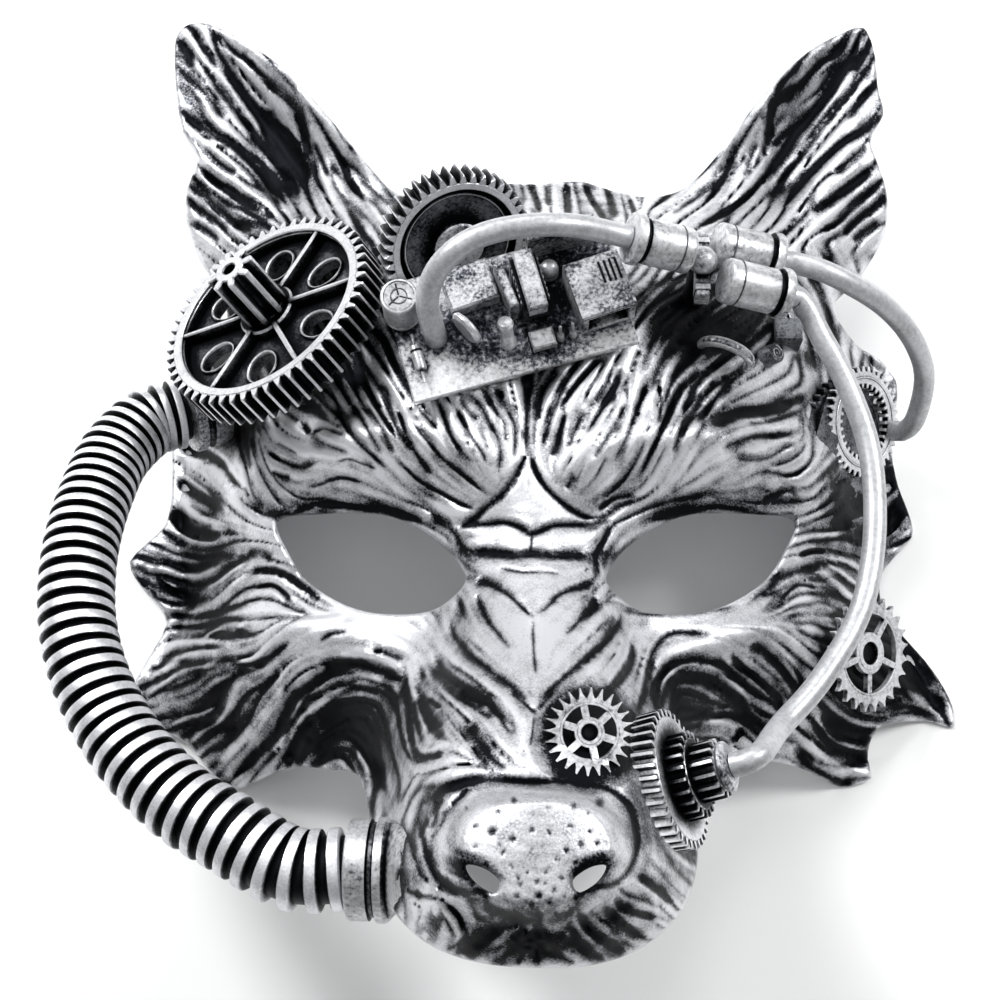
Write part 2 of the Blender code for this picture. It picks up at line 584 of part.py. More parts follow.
def add_crown_wheel(ground):
    """The wheel on the crown, sunk in a flat cut on the head: rim, dished web and a flat boss."""
    place = towards(CROWN_PLACE, CROWN_AXIS)
    bore = CROWN_RADIUS - TOOTH - 0.0020
    rim = add("crown_wheel", SILVER, prism(
        [toothed(36, CROWN_RADIUS, TOOTH), circle(bore, 24)], -CROWN_WIDTH, 0), place)
    web = [(bore + 0.0006, -0.75 * CROWN_WIDTH), (bore + 0.0006, -0.5 * CROWN_WIDTH)]
    step = [(bore - 0.0012, -0.6 * CROWN_WIDTH), (bore - 0.0012, -0.25 * CROWN_WIDTH)]
    boss = [(0.0062, -0.3 * CROWN_WIDTH), (0.0062, 0.12 * CROWN_WIDTH)]
    parts = [add("web", SILVER, turned(rows, 16), place) for rows in (web, step)]
    parts.append(add("boss", SILVER, turned(boss, 12), place))
    combine(rim, parts, "UNION")
    return combine(rim, [ground], "DIFFERENCE")


def window(inner, outer, start, end, bar):
    """The opening between two straight spokes of a wheel, whose middles lie at the angles start and end."""
    rows = []
    for radius, count in ((inner, 3), (outer, 5)):
        trim = math.asin(bar / radius)
        angles = np.linspace(start + trim, end - trim, count)
        arc = radius * np.column_stack([np.cos(angles), np.sin(angles)])
        rows.append(arc if radius == outer else arc[::-1])
    return np.concatenate(rows)


def spoked(name, teeth, radius, spokes, place, hub_radius, rim_width):
    """A thin watch wheel: pointed teeth, straight spokes, and a blind cup behind its open hub."""
    tooth = 1.15 * TOOTH
    pitch = 2 * math.pi / spokes
    windows = [window(hub_radius, radius - tooth - rim_width, pitch * i, pitch * (i + 1), SPOKE_HALF_WIDTH)
               for i in range(spokes)]
    rings = [toothed(teeth, radius, tooth), *windows, circle(0.56 * hub_radius, 10)]
    wheel = add(name, SILVER, prism(rings, -FLAT_WHEEL_WIDTH, 0), place)
    cup = turned([(0.88 * hub_radius, -2 * FLAT_WHEEL_WIDTH), (0.88 * hub_radius, -0.7 * FLAT_WHEEL_WIDTH)], 12)
    return combine(wheel, [add("cup", SILVER, cup, place)], "UNION")


def add_post(wheel, place, reach, radius, ground):
    """Give a wheel the hidden post that it stands on, down to the face."""
    post = add("post", SILVER, turned([(radius, -DEPTH), (radius, -reach)], 10), place)
    combine(wheel, [post], "UNION")
    return combine(wheel, [ground], "DIFFERENCE")


def add_temple_wheels(ground):
    """The two wheels at the right temple: an open ring, and a plain wheel behind it."""
    place = towards(TEMPLE_PLACE, TEMPLE_AXIS)
    inner = 0.60 * TEMPLE_RADIUS
    ring = prism([toothed(40, TEMPLE_RADIUS, 0.7 * TOOTH), circle(inner, 20)], -TEMPLE_WIDTH, 0)
    front = add("temple_ring", SILVER, ring, place)
    behind = place @ Matrix.Translation((BACK_WHEEL_SHIFT.x, BACK_WHEEL_SHIFT.y, -TEMPLE_WIDTH - GAP))
    back = add("temple_back_wheel", DARK_SILVER, prism(
        [toothed(36, BACK_WHEEL_RADIUS, 0.7 * TOOTH)], -BACK_WHEEL_WIDTH, 0), behind)
    add_post(back, behind, 0.5 * BACK_WHEEL_WIDTH, 1.6 * POST_RADIUS, ground)
    return combine(front, [ground], "DIFFERENCE")


def add_cheek_wheel(ground):
    """The five-spoked wheel on the right cheek."""
    place = towards(CHEEK_PLACE, CHEEK_AXIS, math.radians(-18))
    wheel = spoked("cheek_wheel", 24, CHEEK_RADIUS, 5, place, 0.0054, 0.0026)
    return add_post(wheel, place, 1.5 * FLAT_WHEEL_WIDTH, POST_RADIUS, ground)


def add_muzzle_wheel(ground):
    """The six-spoked wheel on the side of the nose."""
    place = towards(MUZZLE_WHEEL_PLACE, MUZZLE_WHEEL_AXIS, math.radians(3))
    wheel = spoked("muzzle_wheel", 24, MUZZLE_WHEEL_RADIUS, 6, place, 0.0032, 0.0014)
    return add_post(wheel, place, 1.5 * FLAT_WHEEL_WIDTH, 0.6 * POST_RADIUS, ground)


def add_wheel_stack(ground):
    """Three wheels in one, on the side of the muzzle, and the washer where the inner tube ends."""
    place = towards(STACK_PLACE, STACK_AXIS)
    stack = add("wheel_stack", SILVER, prism([toothed(36, STACK_RADIUS, 0.7 * TOOTH)], -STACK_WIDTH, 0),
                place)
    middle = prism([toothed(22, 0.62 * STACK_RADIUS, 0.7 * TOOTH)], -0.001, MIDDLE_WHEEL_TOP)
    small = prism([toothed(14, 0.40 * STACK_RADIUS, 0.7 * TOOTH)], -0.001, SMALL_WHEEL_TOP)
    parts = [add("step", SILVER, shape, place) for shape in (middle, small)]
    parts.append(add("post", SILVER, turned([(2 * POST_RADIUS, -0.03), (2 * POST_RADIUS, -0.002)], 14), place))
    combine(stack, parts, "UNION")
    combine(stack, [ground], "DIFFERENCE")
    on_top = place @ Matrix.Translation((0, 0, SMALL_WHEEL_TOP + GAP))
    washer = [(share * TUBE_RADIUS, level * WASHER_HEIGHT) for share, level in WASHER]
    add("stack_washer", PALE_SILVER, turned(washer, 14), on_top)
    return place @ Vector((0, 0, SMALL_WHEEL_TOP + WASHER_HEIGHT + 2 * GAP))


def add_board(ground):
    """The circuit board on its three hidden posts."""
    board = add("circuit_board", PALE_SILVER, block(
        (0, 0, -BOARD_THICKNESS), (BOARD_LENGTH, BOARD_WIDTH, 0)), BOARD_FRAME)
    posts = []
    for x, y in ((0.12, 0.25), (0.88, 0.25), (0.5, 0.78)):
        place = BOARD_FRAME @ Matrix.Translation((x * BOARD_LENGTH, y * BOARD_WIDTH, 0))
        rows = [(POST_RADIUS, -DEPTH), (POST_RADIUS, -0.5 * BOARD_THICKNESS)]
        posts.append(add("post", PALE_SILVER, turned(rows, 8), place))
    combine(board, posts, "UNION")
    return combine(board, [ground], "DIFFERENCE")


def on_board(x, y, turn=0.0, lean=0.0):
    """A place on the board, given as shares of its length and width, turned and leaned in degrees."""
    place = BOARD_FRAME @ Matrix.Translation((x * BOARD_LENGTH, y * BOARD_WIDTH, GAP))
    return place @ Matrix.Rotation(math.radians(turn), 4, "Z") @ Matrix.Rotation(math.radians(lean), 4, "X")


def centred_block(length, width, tall):
    """A box that stands on Z = 0 about the Z axis."""
    return block((-length / 2, -width / 2, 0), (length / 2, width / 2, tall))


def lathed(name, look, profile, place):
    """A round piece of the board."""
    return add(name, look, turned(profile, BOARD_PIECE_SIDES), place)


def boxed(name, look, size, place):
    """A square piece of the board, standing on it."""
    return add(name, look, centred_block(*size), place)


def add_board_parts():
    """What stands on the board: a can, diodes, a resistor, a disc, a coil, a jack and small blocks."""
    can = [(share * CAN_RADIUS, level * CAN_HEIGHT) for share, level in CAN]
    add("capacitor_can", PALE_SILVER, turned(can, 16), on_board(0.055, 0.72))
    lying = Matrix.Translation((0, 0, DIODE_RADIUS)) @ Matrix.Rotation(-math.pi / 2, 4, "X")
    lathed("axial_diode", PALE_SILVER, DIODE, on_board(0.068, 0.12) @ lying)
    upright = Matrix.Translation((0, 0, DISC_RADIUS)) @ Matrix.Rotation(math.pi / 2, 4, "Y")
    lathed("disc_capacitor", SILVER, DISC, on_board(0.30, 0.42, 28) @ upright)
    lathed("standing_resistor", PALE_SILVER, RESISTOR, on_board(0.455, 0.20, 0, -22))
    coil = boxed("coil_block", SILVER, COIL_SIZE, on_board(0.605, 0.60))
    combine(coil, [add("fold", SILVER, block(*COIL_FOLD), on_board(0.605, 0.60))], "UNION")
    boxed("coil_wall", SILVER, WALL_SIZE, on_board(0.505, 0.62, 6))
    boxed("chip_block", PALE_SILVER, CHIP_SIZE, on_board(0.60, 0.20))
    lathed("pin_left", PALE_SILVER, PIN, on_board(0.68, 0.19, 0, -8))
    lathed("pin_right", PALE_SILVER, PIN, on_board(0.735, 0.19, 0, -8))
    lathed("dome_button", PALE_SILVER, DOME, on_board(0.715, 0.74))
    jack = boxed("jack_shell", SILVER, JACK_SIZE, on_board(0.885, 0.42, 3))
    mouth = add("mouth", SILVER, block(*JACK_MOUTH), on_board(0.885, 0.42, 3))
    combine(jack, [mouth], "DIFFERENCE")
    bpy.data.objects.remove(mouth)
    boxed("back_plate", PALE_SILVER, BACK_PLATE_SIZE, on_board(0.80, 0.93))
    boxed("low_plate", PALE_SILVER, LOW_PLATE_SIZE, on_board(0.36, 0.76, 4))


def barrel(length):
    """The profile of a barrel from its open end to its flange, with the dark groove before the flange."""
    groove = length - 0.0020
    return [(0.82 * BARREL_RADIUS, 0), (BARREL_RADIUS, 0.0012), (BARREL_RADIUS, groove - 0.0008),
            (0.90 * BARREL_RADIUS, groove - 0.0006), (0.90 * BARREL_RADIUS, groove),
            (FLANGE_RADIUS, groove + 0.0002), (FLANGE_RADIUS, length - 0.0004), (0.93 * FLANGE_RADIUS, length)]


def add_joint(ground):
    """The three-way tube joint: a barrel on the left, two on the right, and the yoke between them."""
    ends = []
    for name, place, axis, length in (
        ("left_barrel", LEFT_BARREL, LEFT_AXIS, LEFT_BARREL_LENGTH),
        ("upper_barrel", UPPER_BARREL, RIGHT_AXIS, RIGHT_BARREL_LENGTH),
        ("lower_barrel", LOWER_BARREL, RIGHT_AXIS, RIGHT_BARREL_LENGTH),
    ):
        at = towards(place, axis)
        add(name, PALE_SILVER, turned(barrel(length), 12), at)
        ends.append(at @ Vector((0, 0, length + GAP)))
    yoke = add("joint_yoke", SILVER, centred_block(*YOKE_SIZE), Matrix.Translation(YOKE_PLACE))
    middle = YOKE_PLACE + Vector((0, 0, YOKE_SIZE[2] + 0.45 * BALL_RADIUS))
    around = np.linspace(0.35, math.pi - 0.35, 5)
    ball = [(BALL_RADIUS * math.sin(a), -BALL_RADIUS * math.cos(a)) for a in around]
    parts = [add("ball", PALE_SILVER, turned(ball, 10), Matrix.Translation(middle))]
    foot = turned([(POST_RADIUS, -DEPTH), (POST_RADIUS, 0.001)], 12)
    parts.append(add("foot", SILVER, foot, Matrix.Translation(YOKE_PLACE)))
    combine(yoke, parts, "UNION")
    combine(yoke, [ground], "DIFFERENCE")
    return ends


def add_small_fittings(ground):
    """The half ring hooked out of the brow, the square plate and the round screw beside the joint."""
    arc = [HALF_RING_PLACE + HALF_RING_RADIUS * Vector((0.85 * math.cos(a), -0.33 * math.cos(a), math.sin(a)))
           for a in np.linspace(-0.4, math.pi + 0.4, 15)]
    hoop = add("half_ring", PALE_SILVER, ribbed(arc, 0.22 * HALF_RING_RADIUS, 0.0, 5, 8))
    combine(hoop, [ground], "DIFFERENCE")
    plate = add("square_plate", PALE_SILVER, centred_block(*PLATE_SIZE, DEPTH), Matrix.Translation(PLATE_PLACE))
    combine(plate, [ground], "DIFFERENCE")
    head = [(0.0026, -0.02), (0.0026, 0.0), (0.0020, 0.0007)]
    screw = add("round_screw", SILVER, turned(head, 12), towards(SCREW_PLACE, SCREW_AXIS))
    combine(screw, [ground], "DIFFERENCE")


def add_hose(ground):
    """The ribbed hose between its socket at the left temple and its collar on the muzzle."""
    start, end = spot(*HOSE_ROUTE[0]), COLLAR_PLACE
    away = (spot(*HOSE_ROUTE[1]) - start).normalized()
    socket = towards(start - 2 * GAP * away, away)
    rows = [(0.96 * COLLAR_RADIUS, -SOCKET_LENGTH), (COLLAR_RADIUS, -0.001), (0.96 * COLLAR_RADIUS, 0)]
    combine(add("hose_socket", SILVER, turned(rows, 18), socket), [ground], "DIFFERENCE")
    collar = towards(end, COLLAR_AXIS)
    rows = [(0.93 * COLLAR_RADIUS, 0), (COLLAR_RADIUS, 0.0006), (COLLAR_RADIUS, 0.8 * COLLAR_LENGTH),
            (1.04 * COLLAR_RADIUS, COLLAR_LENGTH), (0.7 * COLLAR_RADIUS, 1.7 * COLLAR_LENGTH)]
    combine(add("hose_collar", PALE_SILVER, turned(rows, 20), collar), [ground], "DIFFERENCE")
    route = [start, start + 0.004 * away, *(spot(*row) for row in HOSE_ROUTE[1:])]
    route += [end - 0.010 * COLLAR_AXIS, end - 2 * GAP * COLLAR_AXIS]
    add("ribbed_hose", SILVER, ribbed(route, HOSE_RADIUS, HOSE_GROOVE, HOSE_RINGS, HOSE_SIDES))


def add_tubes(ends, stack_end):
    """The three smooth tubes: board to joint, joint to temple, and joint to the muzzle's wheel stack."""
    from_board = on_board(0.165, 0.46).translation + Vector((0, 0, GAP))
    left, upper, lower = ends
    link = [*leads(from_board, Vector((0, 0, 1))), *(spot(*row) for row in LINK_ROUTE)]
    add_tube("link_tube", PALE_SILVER, [*link, *leads(left, LEFT_AXIS)[::-1]])
    across = TEMPLE_AXIS.cross(Vector((0, 1, 0))).normalized()
    landing = TEMPLE_PLACE - 0.8 * TEMPLE_RADIUS * across * math.copysign(1, -across.x) + 2 * GAP * TEMPLE_AXIS
    outer = [*leads(upper, RIGHT_AXIS), *(spot(*row) for row in OUTER_ROUTE)]
    add_tube("outer_tube", PALE_SILVER, [*outer, *leads(landing, TEMPLE_AXIS)[::-1]])
    inner = [*leads(lower, RIGHT_AXIS), *(spot(*row) for row in INNER_ROUTE)]
    add_tube("inner_tube", PALE_SILVER, [*inner, *leads(stack_end, STACK_AXIS)[::-1]])


# Places and axes of the pieces on the face, worked out from the sizes above.
NOSE_PLACE = spot(0, -0.736, 0)
MUZZLE_REACH = spot(0.46, -0.34, 0)
LARGE_PLACE = on_face(-0.684, 0.378, 0.0235)
LARGE_AXIS = Vector((-0.458, 0.345, 0.813)).normalized()
CROWN_PLACE = on_face(-0.188, 0.458, 0.0145)
CROWN_AXIS = Vector((0.368, -0.73, 0.575)).normalized()
CHEEK_PLACE = on_face(0.866, -0.274, 0.0075)
CHEEK_AXIS = Vector((0.635, -0.173, 0.752)).normalized()
TEMPLE_PLACE = on_face(0.881, 0.228, 0.0095)
TEMPLE_AXIS = Vector((0.666, -0.222, 0.712)).normalized()
BACK_WHEEL_SHIFT = Vector((-0.006, 0.002, 0))
MUZZLE_WHEEL_PLACE = on_face(0.112, -0.529, 0.0030)
MUZZLE_WHEEL_AXIS = Vector((0.11, -0.132, 0.985)).normalized()
STACK_AXIS = Vector((0.892, 0.183, 0.42)).normalized()
STACK_PLACE = spot(0.32, -0.584, 0.688)
MIDDLE_WHEEL_TOP = 0.0042
SMALL_WHEEL_TOP = 0.0098
WASHER_HEIGHT = 0.0018
WASHER = ((1.9, 0), (2.05, 0.3), (2.05, 0.7), (1.7, 1))  # radius in tube radii, level in washer heights
BOARD_FRAME = Matrix.Translation(spot(-0.29, 0.133, 0.615)) @ Matrix.Rotation(BOARD_TURN, 4, "Z")
LEFT_AXIS = Vector((-0.92, 0.07, 0.38)).normalized()
LEFT_BARREL = spot(0.363, 0.406, 0.704)
RIGHT_AXIS = Vector((0.94, -0.10, -0.33)).normalized()
UPPER_BARREL = spot(0.437, 0.452, 0.632)
LOWER_BARREL = spot(0.447, 0.360, 0.676)
YOKE_PLACE = spot(0.400, 0.405, 0.60)
HALF_RING_PLACE = on_face(0.475, 0.285, 0.0015)
PLATE_PLACE = on_face(0.655, 0.375, 0.006) - Vector((0, 0, DEPTH))
SCREW_PLACE = on_face(0.615, 0.315, 0.0035)
SCREW_AXIS = Vector((0.55, 0.15, 0.8)).normalized()
COLLAR_AXIS = Vector((0.985, -0.02, 0.05)).normalized()
COLLAR_PLACE = spot(-0.415, -0.738, 0.624)


def stand_at_origin():
    """Move every piece alike, so that the origin lies under the middle of the whole mask."""
    bpy.context.view_layer.update()
    graph = bpy.context.evaluated_depsgraph_get()
    corners = []
    for piece in bpy.data.objects:
        if not piece.hide_render:
            shape = piece.evaluated_get(graph).to_mesh()
            corners += [piece.matrix_world @ vertex.co for vertex in shape.vertices]
    low, high = np.min(corners, axis=0), np.max(corners, axis=0)
    frame = bpy.data.objects.new("frame", None)
    bpy.context.scene.collection.objects.link(frame)
    frame.location = (-(low[0] + high[0]) / 2, -(low[1] + high[1]) / 2, -low[2])
    for piece in bpy.data.objects:
        if piece != frame:
            piece.parent = frame


def main():
    for old in list(bpy.data.objects):
        bpy.data.objects.remove(old)
    _, ground = add_face()
    add_large_wheel(ground)
    add_crown_wheel(ground)
    add_temple_wheels(ground)
    add_cheek_wheel(ground)
    add_muzzle_wheel(ground)
    stack_end = add_wheel_stack(ground)
    add_board(ground)
    add_board_parts()
    ends = add_joint(ground)
    add_small_fittings(ground)
    add_hose(ground)
    add_tubes(ends, stack_end)
    stand_at_origin()


main()
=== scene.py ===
"""The looks of a steampunk wolf half mask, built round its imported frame.

The mask lies face up on its rim on a white floor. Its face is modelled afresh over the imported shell: the
same rim, openings and sections, with the sculpted hair, folds and pits cut into them. Every wheel, tube
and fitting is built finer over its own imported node. Metres throughout, unless a name says otherwise.
"""

import logging
import math
from collections.abc import Callable, Iterable, Sequence
from dataclasses import dataclass, field
from enum import Enum

import bpy
import numpy as np
from mathutils import Matrix, Vector
from mathutils.geometry import delaunay_2d_cdt

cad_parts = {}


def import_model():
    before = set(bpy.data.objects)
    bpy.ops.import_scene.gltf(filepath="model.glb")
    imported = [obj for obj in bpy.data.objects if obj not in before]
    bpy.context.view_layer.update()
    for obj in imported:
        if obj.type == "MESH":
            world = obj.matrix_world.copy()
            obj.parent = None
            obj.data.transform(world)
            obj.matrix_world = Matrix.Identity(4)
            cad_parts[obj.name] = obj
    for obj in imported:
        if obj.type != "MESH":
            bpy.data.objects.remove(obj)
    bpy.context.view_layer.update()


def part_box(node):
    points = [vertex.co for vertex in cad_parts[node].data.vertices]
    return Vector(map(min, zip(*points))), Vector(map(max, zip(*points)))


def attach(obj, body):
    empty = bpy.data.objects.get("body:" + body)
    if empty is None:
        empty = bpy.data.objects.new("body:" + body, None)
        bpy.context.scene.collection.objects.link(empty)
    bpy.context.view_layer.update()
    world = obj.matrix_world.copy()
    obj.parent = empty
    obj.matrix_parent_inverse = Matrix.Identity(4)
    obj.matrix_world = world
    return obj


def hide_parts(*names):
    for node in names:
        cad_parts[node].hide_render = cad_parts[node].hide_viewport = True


LOG = logging.getLogger("mask")
BODY = "root"

# The lengths that every table of shares is read with, and the thickness of the moulding.
HALF_WIDTH = 0.100
HALF_LENGTH = 0.125
DEPTH = 0.125
WALL = 0.002
GAP = 0.0003
MM = 0.001

Shell = tuple[np.ndarray, list[tuple[int, ...]]]
Row = tuple[float, ...]

# The rim, clockwise from the top of the forehead. Columns: x in half widths, y in half lengths.
RIM: tuple[Row, ...] = (
    (0.00, 0.76), (0.12, 0.768), (0.22, 0.736), (0.30, 0.712), (0.385, 0.72), (0.44, 0.752),
    (0.51, 0.816), (0.60, 0.912), (0.69, 1.00), (0.77, 1.064), (0.86, 1.108), (0.915, 1.12),
    (0.945, 1.06), (0.95, 0.99), (0.965, 0.93), (0.925, 0.864), (0.965, 0.78), (0.975, 0.708),
    (0.95, 0.644), (0.88, 0.56), (0.82, 0.512), (0.87, 0.468), (0.97, 0.43), (1.02, 0.384),
    (1.015, 0.32), (0.995, 0.24), (1.01, 0.136), (1.045, 0.036), (1.00, -0.016), (0.95, -0.064),
    (0.94, -0.128), (0.99, -0.192), (1.06, -0.26), (1.115, -0.336), (1.125, -0.40), (1.05, -0.388),
    (0.92, -0.404), (0.885, -0.456), (0.895, -0.51), (0.81, -0.528), (0.72, -0.504), (0.61, -0.488),
    (0.51, -0.504), (0.44, -0.536), (0.405, -0.60), (0.385, -0.66), (0.365, -0.728), (0.32, -0.808),
    (0.23, -0.872), (0.12, -0.904), (0.00, -0.909), (-0.12, -0.90), (-0.23, -0.868), (-0.32, -0.80),
    (-0.365, -0.72), (-0.39, -0.65), (-0.415, -0.584), (-0.45, -0.528), (-0.53, -0.512),
    (-0.61, -0.50), (-0.70, -0.512), (-0.81, -0.536), (-0.87, -0.50), (-0.96, -0.424),
    (-1.11, -0.404), (-1.08, -0.29), (-1.01, -0.176), (-1.065, -0.11), (-1.12, -0.036),
    (-1.03, 0.044), (-1.015, 0.128), (-1.02, 0.208), (-1.03, 0.30), (-1.01, 0.376), (-0.95, 0.44),
    (-0.86, 0.49), (-0.88, 0.55), (-0.935, 0.62), (-0.97, 0.70), (-0.965, 0.77), (-0.935, 0.824),
    (-0.98, 0.888), (-1.00, 0.968), (-1.01, 1.05), (-1.005, 1.12), (-0.95, 1.14), (-0.84, 1.10),
    (-0.72, 1.024), (-0.62, 0.936), (-0.53, 0.848), (-0.45, 0.772), (-0.38, 0.72), (-0.29, 0.704),
    (-0.20, 0.732), (-0.11, 0.76),
)

# The eye opening and the nostril on the right, mirrored for the left. Columns as in RIM.
EYE: tuple[Row, ...] = (
    (0.167, -0.185), (0.20, -0.218), (0.26, -0.234), (0.366, -0.232), (0.47, -0.208), (0.577, -0.148),
    (0.635, -0.08), (0.668, -0.012), (0.57, -0.010), (0.45, -0.018), (0.36, -0.034), (0.27, -0.076),
    (0.205, -0.124),
)
NOSTRIL: tuple[Row, ...] = (
    (0.072, -0.778), (0.085, -0.796), (0.122, -0.778), (0.138, -0.754), (0.105, -0.758),
)

# Cross sections of the face, from the ear tips down to the lip. Columns: y in half lengths, height on the
# centre line, then x and height of the shoulder, the slope, the cheek and the rim, in half widths and depths.
SECTIONS: tuple[Row, ...] = (
    (1.128, 0.27, 0.40, 0.28, 0.60, 0.29, 0.85, 0.30, 1.00, 0.26),
    (0.84, 0.24, 0.30, 0.25, 0.45, 0.30, 0.72, 0.29, 0.98, 0.23),
    (0.76, 0.25, 0.28, 0.25, 0.44, 0.30, 0.72, 0.285, 0.97, 0.21),
    (0.688, 0.32, 0.28, 0.31, 0.46, 0.32, 0.72, 0.295, 0.97, 0.18),
    (0.60, 0.42, 0.25, 0.40, 0.50, 0.37, 0.73, 0.29, 0.95, 0.15),
    (0.48, 0.49, 0.25, 0.47, 0.50, 0.40, 0.70, 0.27, 0.90, 0.07),
    (0.36, 0.54, 0.24, 0.52, 0.46, 0.45, 0.70, 0.29, 0.99, 0.00),
    (0.24, 0.57, 0.24, 0.545, 0.46, 0.465, 0.70, 0.30, 0.99, 0.00),
    (0.12, 0.585, 0.22, 0.56, 0.44, 0.475, 0.68, 0.32, 1.00, 0.00),
    (0.00, 0.575, 0.16, 0.535, 0.36, 0.42, 0.66, 0.295, 1.00, 0.00),
    (-0.08, 0.57, 0.14, 0.525, 0.31, 0.425, 0.63, 0.305, 0.98, 0.00),
    (-0.176, 0.60, 0.13, 0.55, 0.26, 0.44, 0.55, 0.335, 0.99, 0.00),
    (-0.256, 0.65, 0.13, 0.595, 0.27, 0.44, 0.52, 0.36, 1.04, 0.00),
    (-0.336, 0.71, 0.13, 0.655, 0.27, 0.47, 0.58, 0.31, 1.09, 0.00),
    (-0.416, 0.785, 0.14, 0.725, 0.28, 0.54, 0.48, 0.30, 1.04, 0.00),
    (-0.48, 0.84, 0.15, 0.785, 0.28, 0.60, 0.43, 0.28, 0.90, 0.00),
    (-0.544, 0.885, 0.16, 0.845, 0.28, 0.67, 0.37, 0.38, 0.80, 0.00),
    (-0.608, 0.92, 0.17, 0.88, 0.28, 0.70, 0.37, 0.45, 0.60, 0.08),
    (-0.672, 0.945, 0.18, 0.90, 0.28, 0.745, 0.36, 0.51, 0.50, 0.24),
    (-0.736, 0.95, 0.19, 0.91, 0.29, 0.77, 0.36, 0.58, 0.46, 0.36),
    (-0.80, 0.945, 0.18, 0.905, 0.27, 0.78, 0.33, 0.65, 0.42, 0.46),
    (-0.856, 0.905, 0.14, 0.88, 0.22, 0.80, 0.29, 0.71, 0.38, 0.54),
    (-0.92, 0.83, 0.08, 0.82, 0.14, 0.79, 0.21, 0.74, 0.30, 0.62),
)

# Swellings and hollows, mirrored to both sides of the face. Columns: x in half widths, y in half lengths,
# long and short radius in half widths, turn of the long radius in degrees, and rise in depths.
FORMS: tuple[Row, ...] = (
    (0.36, 0.070, 0.36, 0.12, 12, 0.045),  # brow ridge
    (0.13, 0.030, 0.14, 0.10, 60, 0.025),  # inner knot of the brow
    (0.72, 0.110, 0.20, 0.12, -48, 0.035),  # outer roll of the brow
    (0.43, -0.290, 0.32, 0.08, 17, 0.022),  # bag under the eye
    (0.72, -0.210, 0.24, 0.14, 25, 0.030),  # cheekbone
    (0.47, -0.400, 0.18, 0.12, 10, -0.035),  # hollow of the cheek
    (0.20, 0.250, 0.32, 0.19, 70, 0.026),  # forehead lobe
    (0.00, 0.220, 0.36, 0.07, 90, -0.022),  # crease between the lobes
    (0.74, 0.880, 0.40, 0.13, 66, -0.060),  # hollow of the ear
    (0.63, 0.930, 0.40, 0.08, 45, 0.045),  # inner edge of the ear
    (0.26, -0.800, 0.16, 0.11, 90, 0.025),  # lip over the side teeth
    (0.24, -0.130, 0.12, 0.08, 50, -0.020),  # inner corner of the eye
)


# The hose from the temple socket to the muzzle collar, and the three smooth tubes without their ends.
# Columns: x in half widths, y in half lengths, z in depths.
HOSE_ROUTE: tuple[Row, ...] = (
    (-0.935, 0.235, 0.24), (-1.02, 0.205, 0.265), (-1.085, 0.12, 0.315), (-1.11, 0.02, 0.37),
    (-1.12, -0.08, 0.42), (-1.115, -0.18, 0.46), (-1.095, -0.28, 0.488), (-1.05, -0.38, 0.51),
    (-0.98, -0.475, 0.53), (-0.90, -0.55, 0.555), (-0.80, -0.62, 0.58), (-0.69, -0.672, 0.60),
    (-0.57, -0.708, 0.618),
)
LINK_ROUTE: tuple[Row, ...] = (
    (-0.255, 0.28, 0.70), (-0.252, 0.303, 0.765), (-0.222, 0.338, 0.81), (-0.16, 0.372, 0.835),
    (-0.09, 0.392, 0.84), (0.00, 0.404, 0.835), (0.09, 0.412, 0.815),
)
OUTER_ROUTE: tuple[Row, ...] = (
    (0.69, 0.418, 0.595), (0.77, 0.40, 0.56), (0.855, 0.382, 0.51), (0.935, 0.355, 0.44),
    (0.99, 0.325, 0.365), (1.025, 0.29, 0.28),
)
INNER_ROUTE: tuple[Row, ...] = (
    (0.665, 0.295, 0.615), (0.715, 0.235, 0.60), (0.755, 0.165, 0.587), (0.79, 0.088, 0.577),
    (0.804, 0.018, 0.573), (0.803, -0.10, 0.573), (0.78, -0.21, 0.577), (0.745, -0.285, 0.585),
    (0.69, -0.355, 0.60), (0.62, -0.43, 0.62), (0.55, -0.485, 0.64),
)


class Side(Enum):
    """The side of the face that a chart is cut on."""

    AS_DRAWN = 1
    BOTH = 2


@dataclass(frozen=True)
class Stroke:
    """A groove or a ridge of the sculpted hair, drawn along pixels of the photo.

    Attributes:
        width: width in pixels of its dark line, or of the painted highlight along its crest.
        route: pixels of the photo from its start to its end.
        end_width: the width at its far end.
        side: whether the other side of the face has the same stroke.
        ridge: whether it is a ridge and not a groove.
    """

    width: float
    route: tuple[Row, ...]
    end_width: float
    side: Side
    ridge: bool


